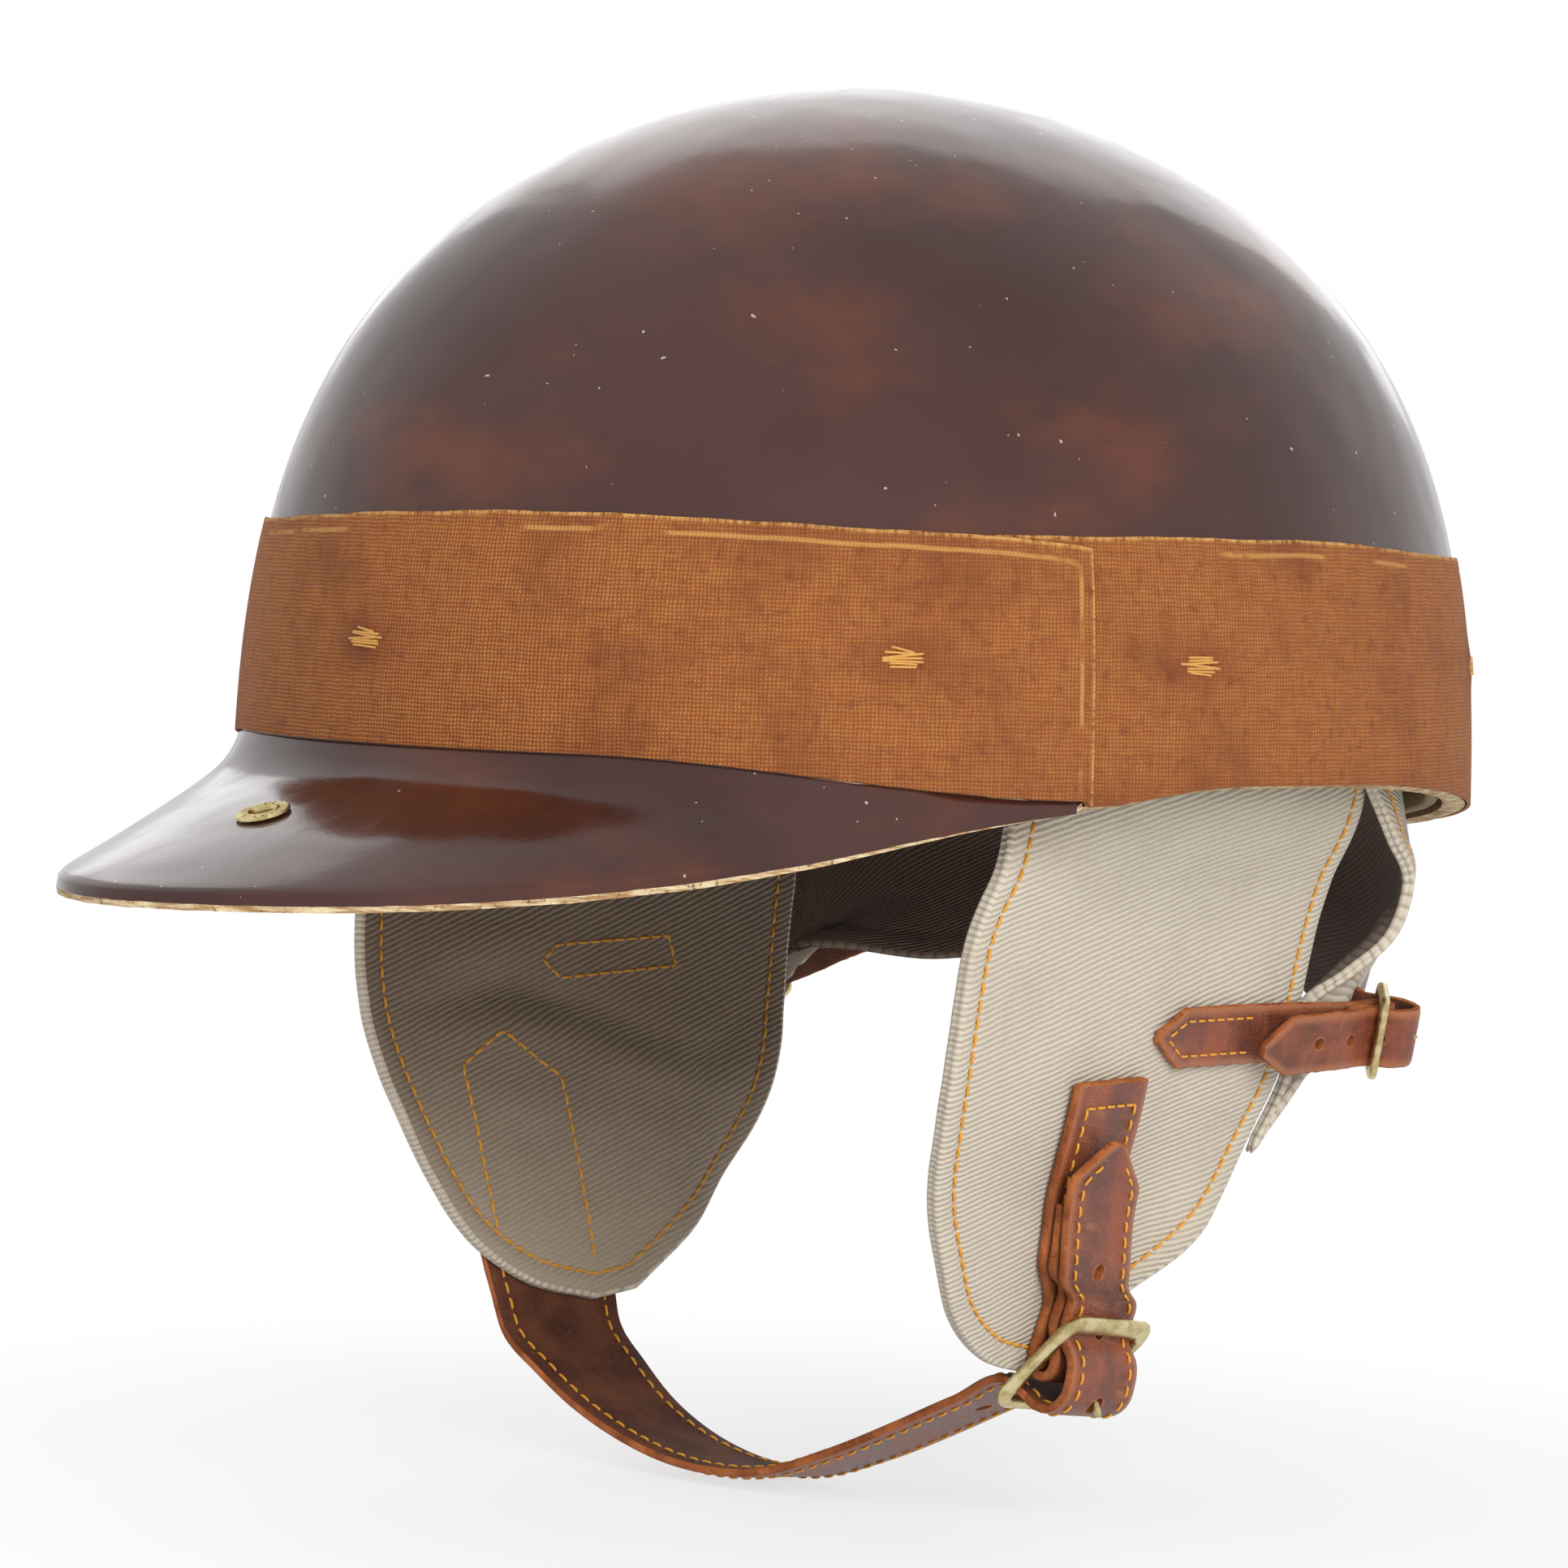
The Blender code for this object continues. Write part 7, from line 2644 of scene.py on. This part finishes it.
@dataclass
class ChinStrap:
    """The chin strap, its anchor strap and its buckle."""

    finishes: Finishes
    width: float = 23.0 * MM
    sewn_width: float = 30.0 * MM
    sewn_line: tuple = ((-32, 53), (-30.8, 61), (-28, 76), (-25, 91), (-21.8, 109.5))
    under: tuple = (
        (-60.6, -19.5, -119), (-52.5, -18.8, -126), (-44, -18, -132), (-32, -16.5, -137.7),
        (-16, -15, -141.2), (0, -13, -140.6), (16, -10.5, -135), (31, -8, -128), (44, -6.3, -121.6),
    )
    tail_line: tuple = ((-9.5, 91), (-12.5, 80), (-14.0, 71), (-14.2, 63))
    anchor_line: tuple = ((-15, 52), (-13.3, 66), (-11.8, 79), (-10.2, 89))
    back_line: tuple = ((-10, 90), (-12, 77))

    def build(self) -> None:
        """Builds the pieces."""
        buckle = chin_buckle()
        lift = (FLAP.cloth + buckle.thickness) / 2 + buckle.play
        rearward = FLAP.axes()[1]
        self._anchor(buckle, lift, rearward)
        frame = buckle.frame(0.75 * MM).piece("chin_buckle_frame_dressed", [self.finishes.brass])
        settle(frame, "antique_brass", "chin_buckle", "chin_buckle_frame")
        prong = buckle.prong().piece("chin_buckle_prong_dressed", [self.finishes.brass])
        settle(prong, "antique_brass", "chin_prong", "chin_buckle_prong")
        self._long(buckle, lift, rearward)

    def _anchor(self, buckle: Buckle, lift: float, rearward: Grid) -> None:
        """Builds the anchor strap with its sewn rectangle.

        Args:
            buckle: The chin buckle.
            lift: The strap's distance outside the flap's middle surface.
            rearward: The flap's rearward direction.
        """
        laid = laid_route(self.anchor_line, lift)
        back = laid_route(self.back_line, lift + buckle.layer)
        strap = AnchorStrap(buckle, laid, back, rearward, False).shape()
        leather = strap.part(0, len(strap.route) - 1, (0, 0, 2))
        piece = leather.piece("chin_anchor_leather", self.finishes.leather())
        settle(piece, "brown_leather", "flap_left", "chin_anchor_strap")
        draft = Draft()
        strap.seam(draft, CHIN_SEAM, 3.4 * MM, (4 * MM, 33 * MM), (1,))
        self._cross_seam(draft, CHIN_SEAM, strap, 4 * MM)
        stitching = draft.piece("chin_anchor_stitching", [self.finishes.thread])
        settle(stitching, "brown_leather", "flap_left")

    @staticmethod
    def _cross_seam(draft: Draft, seam: Seam, strap: Strap, here: float) -> None:
        """Sews a line of stitches across a strap.

        Args:
            draft: Where the stitches go.
            seam: The stitches' sizes.
            strap: The strap.
            here: The length along it.
        """
        row = int(np.searchsorted(strap.lengths, here))
        half = strap.widths[row] / 2 - 3.4 * MM
        offs = np.linspace(-half, half, 12)[:, None]
        line = strap.route[row][None] + unit(strap.crosses[row])[None] * offs
        way = np.repeat(strap.ways[row, :1], 12, axis=0)
        seam.sew(draft, line + way * (strap.thickness / 2 - SUNK_IN_LEATHER), way)

    def _long(self, buckle: Buckle, lift: float, rearward: Grid) -> None:
        """Builds the long strap, in two halves, one for each flap.

        Args:
            buckle: The chin buckle.
            lift: The strap's distance outside the flap's middle surface.
            rearward: The left flap's rearward direction.
        """
        sewn = laid_route(self.sewn_line, lift, -1)
        under = [np.array(p) * MM for p in self.under]
        tail = laid_route(self.tail_line, lift + 2 * buckle.layer)
        fine = spline([tuple(p) for p in sewn + under + buckle.loop() + tail], 1800)
        route = even(fine, int(path_lengths(fine)[-1] / (1.25 * MM)))
        lengths = path_lengths(route)
        middle = buckle.loop_station(route)
        start = path_lengths(np.array(sewn))[-1]
        right_cross = rearward * np.array((-1.0, 1.0, 1.0))
        crosses = turned_crosses(lengths, right_cross, buckle.across, start, middle - 3 * buckle.half)
        narrow = np.array([smooth_step((here - 45 * MM) / (60 * MM)) for here in lengths])
        widths = pointed(lengths, True, True) * (self.sewn_width + (self.width - self.sewn_width) * narrow)
        strap = Strap(route, -crosses, widths, buckle.thickness)
        split = int(np.argmin(np.linalg.norm(route - under[5], axis=1)))
        last = len(route) - 1
        runs = {
            Side.RIGHT: (0, split, tuple(under[0]), (6 * MM, float(lengths[split]))),
            Side.LEFT: (split, last, tuple(under[-1]), (float(lengths[split]), float(lengths[-1]) - 4 * MM)),
        }
        for side, (first, end, far, ends) in runs.items():
            draft = strap.part(first, end, (0, 1, 2), split)
            piece = draft.piece(f"chin_strap_leather_{side.word}", self.finishes.leather())
            if side is Side.LEFT:
                punch(piece, strap, buckle, 14.5 * MM, 1.7 * MM, (-2, -1, 0, 1, 2))
            bodies = ("helmet", f"flap_{side.word}")
            near = tuple(route[split])
            stretch(piece, "brown_leather", bodies, near, far, "chin_strap")
            stitches = Draft()
            strap.seam(stitches, CHIN_SEAM, 3.0 * MM, ends)
            stitching = stitches.piece(f"chin_strap_stitching_{side.word}", [self.finishes.thread])
            stretch(stitching, "brown_leather", bodies, near, far)


@dataclass
class NapeStrap:
    """The strap from the curtain to one flap, with its anchor strap and buckle."""

    finishes: Finishes
    side: Side
    width: float = 11.5 * MM
    anchor_line: tuple = (
        (-2, 44, 0), (6, 44.5, 0), (18, 44.5, 0), (30, 44.4, 0), (40, 44.2, 0.8), (48, 44, 2.4),
    )
    tail_line: tuple = ((47, 44.6, 2.6), (40, 45.2, 1.2), (33, 45.9, 0.2), (27, 46.6, 0))
    places: tuple = ((75.0, 70.0, -50.5), (82.0, 52.6, -48.8))
    shifts: tuple = ((0.0, 0.0), (-18.0, -2.8))
    ways: tuple = (((56, 89, -41.5),), ((61, 88, -37), (73.5, 76.5, -41), (75.5, 66, -44.3)))
    root_row: int = 6
    root_columns: tuple = (13, 12, 11, 10)

    def build(self) -> None:
        """Builds the pieces, made on the left and then moved to their side."""
        number, word = (0, 1)[self.side is Side.RIGHT], self.side.word
        thickness = 1.7 * MM
        lift = (FLAP.cloth + thickness) / 2 + 0.4 * MM
        back, down = self.shifts[number]
        anchor_line = [(u + back, v + down, rise) for u, v, rise in self.anchor_line]
        tail_line = [(u + back, v + down, rise) for u, v, rise in self.tail_line]
        centre = np.array(self.places[number]) * MM
        forward = unit(FLAP.at(tail_line[-1][0] * MM, tail_line[-1][1] * MM, 5 * MM) - centre)
        out = FLAP.axes()[3]
        out = unit(out - forward * float(np.dot(out, forward)))
        sizes = (self.width, thickness, 1.0 * MM, 0.8 * MM, 7.3 * MM)
        buckle = Buckle(centre, forward, out, *sizes, prong_rest=1.0 * MM)
        sign = 1 if buckle.across[2] < 0 else -1
        laid = laid_route(anchor_line, lift)
        first_cross = FLAP.axes()[2] * sign
        folded = [buckle.at(-buckle.fold + buckle.layer, buckle.half * 1.45)]
        strap = AnchorStrap(buckle, laid, folded, first_cross, True).shape()
        leather = self.finishes.leather()
        draft = strap.part(0, len(strap.route) - 1, (0, 0, 2))
        piece = mirrored(draft.piece(f"nape_anchor_leather_{word}", leather), self.side)
        settle(piece, "brown_leather", f"flap_{word}", f"nape_anchor_strap_{word}")
        stitches = Draft()
        strap.seam(stitches, NAPE_SEAM, 2.3 * MM, (2.5 * MM, 30 * MM), (1, -1))
        sewn = stitches.piece(f"nape_anchor_stitching_{word}", [self.finishes.thread])
        stitching = mirrored(sewn, self.side)
        settle(stitching, "brown_leather", f"flap_{word}")
        brass = [self.finishes.brass]
        frame = mirrored(buckle.frame(0.3 * MM).piece(f"nape_frame_dressed_{word}", brass), self.side)
        settle(frame, "antique_brass", f"nape_buckle_{word}", f"nape_buckle_frame_{word}")
        prong = mirrored(buckle.prong().piece(f"nape_prong_dressed_{word}", brass), self.side)
        settle(prong, "antique_brass", f"nape_prong_{word}", f"nape_buckle_prong_{word}")
        tail = laid_route(tail_line, lift + 2 * buckle.layer)
        self._long(buckle, tail, sign, [np.array(p) * MM for p in self.ways[number]])

    def _long(self, buckle: Buckle, tail: list, sign: int, ways: list) -> None:
        """Builds the long strap from the curtain through the buckle.

        Args:
            buckle: The nape buckle, on the left.
            tail: The way after the buckle.
            sign: Which way the strap's outer face turns.
            ways: Points between curtain and buckle.
        """
        word = self.side.word
        face = CURTAIN.face(2 * buckle.play + buckle.thickness / 2)
        root = [face[column][self.root_row] for column in self.root_columns]
        first = face[self.root_columns[1]]
        drop = unit(first[self.root_row + 1] - first[self.root_row - 1]) * sign
        fine = spline([tuple(p) for p in root + ways + buckle.loop() + tail], 1200)
        route = even(fine, int(path_lengths(fine)[-1] / (1.1 * MM)))
        lengths = path_lengths(route)
        middle = buckle.loop_station(route)
        start = path_lengths(np.array(root))[-1]
        crosses = turned_crosses(lengths, drop, buckle.across, start, middle - 2 * buckle.half)
        strap = Strap(route, -crosses, self.width * pointed(lengths, False, True), buckle.thickness)
        draft = strap.part(0, len(route) - 1, (0, 1, 2))
        piece = draft.piece(f"nape_strap_leather_{word}", self.finishes.leather())
        punch(piece, strap, buckle, 9.5 * MM, 1.2 * MM, (0, 1, 2, 3))
        piece = mirrored(piece, self.side)
        bodies = ("helmet", f"flap_{word}")
        flip = np.array((self.side.value, 1.0, 1.0))
        run = buckle.centre - root[-1]
        end = tuple((buckle.centre - unit(run) * 11 * MM) * flip)
        begin = tuple(root[-1] * flip)
        stretch(piece, "brown_leather", bodies, begin, end, f"nape_strap_{word}")
        stitches = Draft()
        strap.seam(stitches, NAPE_SEAM, 2.3 * MM, (2 * MM, 26 * MM), (1,))
        sewn = stitches.piece(f"nape_strap_stitching_{word}", [self.finishes.thread])
        stitching = mirrored(sewn, self.side)
        stretch(stitching, "brown_leather", bodies, begin, end)


# Studio


@dataclass
class Studio:
    """The camera, the soft lights, the white background and the pale floor."""

    place: tuple[float, float, float] = (0.7709, -0.8039, 0.0405)
    right: tuple[float, float, float] = (0.7106, 0.7028, 0.0340)
    above: tuple[float, float, float] = (-0.0536, 0.0059, 0.9985)
    ahead: tuple[float, float, float] = (-0.7015, 0.7114, -0.0419)
    lens: float = 130.1
    daylight: float = 0.36

    def build(self) -> None:
        """Sets the studio up."""
        self._camera()
        self._world()
        self._floor()
        for name, spot, size, power, glint in (
            ("key_light", (1.3, -0.6, 0.55), 1.0, 19.0, False),
            ("front_light", (-0.6, -1.3, 0.9), 0.9, 6.0, False),
            ("back_light", (-1.0, 1.1, 0.95), 1.5, 7.0, True),
        ):
            self._light(name, spot, size, power, glint)

    def _camera(self) -> None:
        """The camera of the picture."""
        data = bpy.data.cameras.new("camera")
        data.lens, data.sensor_width = self.lens, 36.0
        data.clip_start = 0.01
        camera = bpy.data.objects.new("camera", data)
        columns = zip(self.right, self.above, (-k for k in self.ahead), self.place)
        camera.matrix_world = Matrix([*map(list, columns), [0, 0, 0, 1]])
        bpy.context.scene.collection.objects.link(camera)
        bpy.context.scene.camera = camera
        bpy.context.scene.view_settings.view_transform = "Standard"

    def _world(self) -> None:
        """A white background for the camera and for reflections, softer as light."""
        world = bpy.data.worlds.new("studio")
        world.use_nodes = True
        bpy.context.scene.world = world
        sky = Tree(world.node_tree)
        seen = sky.ray("Camera").most(sky.ray("Glossy")).most(sky.ray("Transmission"))
        shades = []
        for strength in (self.daylight, 1.0):
            shades.append(sky.node("ShaderNodeBackground", inputs={"Color": WHITE, "Strength": strength}))
        sky.show(seen, *shades)

    def _floor(self) -> None:
        """The pale floor under the helmet."""
        draft = Draft()
        half, level = 4.0, CAD_BOX[0][2] - 0.6 * MM
        corners = [(-half, -half, level), (half, -half, level), (half, half, level), (-half, half, level)]
        first = draft.add(np.array(corners))
        draft.face(tuple(range(first, first + 4)))
        floor = draft.piece("floor", [self._ground()])

    @staticmethod
    def _ground() -> bpy.types.Material:
        """Builds a white floor that keeps the shadow and turns to plain white away from it.

        Returns:
            The material.
        """
        paint = Paint("floor")
        reach = paint.node("ShaderNodeVectorMath", {"operation": "LENGTH"}, {0: paint.place()}, "Value")
        near, far = 0.15, 0.3
        share = (reach.between(near, far) * 0.3 + 0.7) * paint.ray("Camera").most(paint.ray("Glossy"))
        return paint.glow(share, rgb(250, 250, 250))

    @staticmethod
    def _light(name: str, spot: tuple[float, float, float], size: float, power: float, glint: bool) -> None:
        """Adds a large square lamp facing the helmet.

        Args:
            name: Its name.
            spot: Where it hangs.
            size: Its width.
            power: Its watts.
            glint: Whether shiny faces show it.
        """
        data = bpy.data.lights.new(name, "AREA")
        data.shape, data.size, data.energy = "SQUARE", size, power
        lamp = bpy.data.objects.new(name, data)
        lamp.location = spot
        lamp.visible_glossy = glint
        lamp.rotation_euler = (Vector((0, 0, 0)) - Vector(spot)).to_track_quat("-Z", "Y").to_euler()
        bpy.context.scene.collection.objects.link(lamp)


def main() -> None:
    """Builds the helmet and its studio."""
    finishes = Finishes()
    peak = Peak(finishes)
    Shell(finishes).build()
    peak.build()
    LinenBand(finishes).build(peak)
    Cradle(finishes).build()
    NeckCurtain(finishes).build()
    for side in Side:
        EarFlap(finishes, side).build()
        NapeStrap(finishes, side).build()
    ChinStrap(finishes).build()
    Studio().build()


if __name__ == "__main__":
    main()
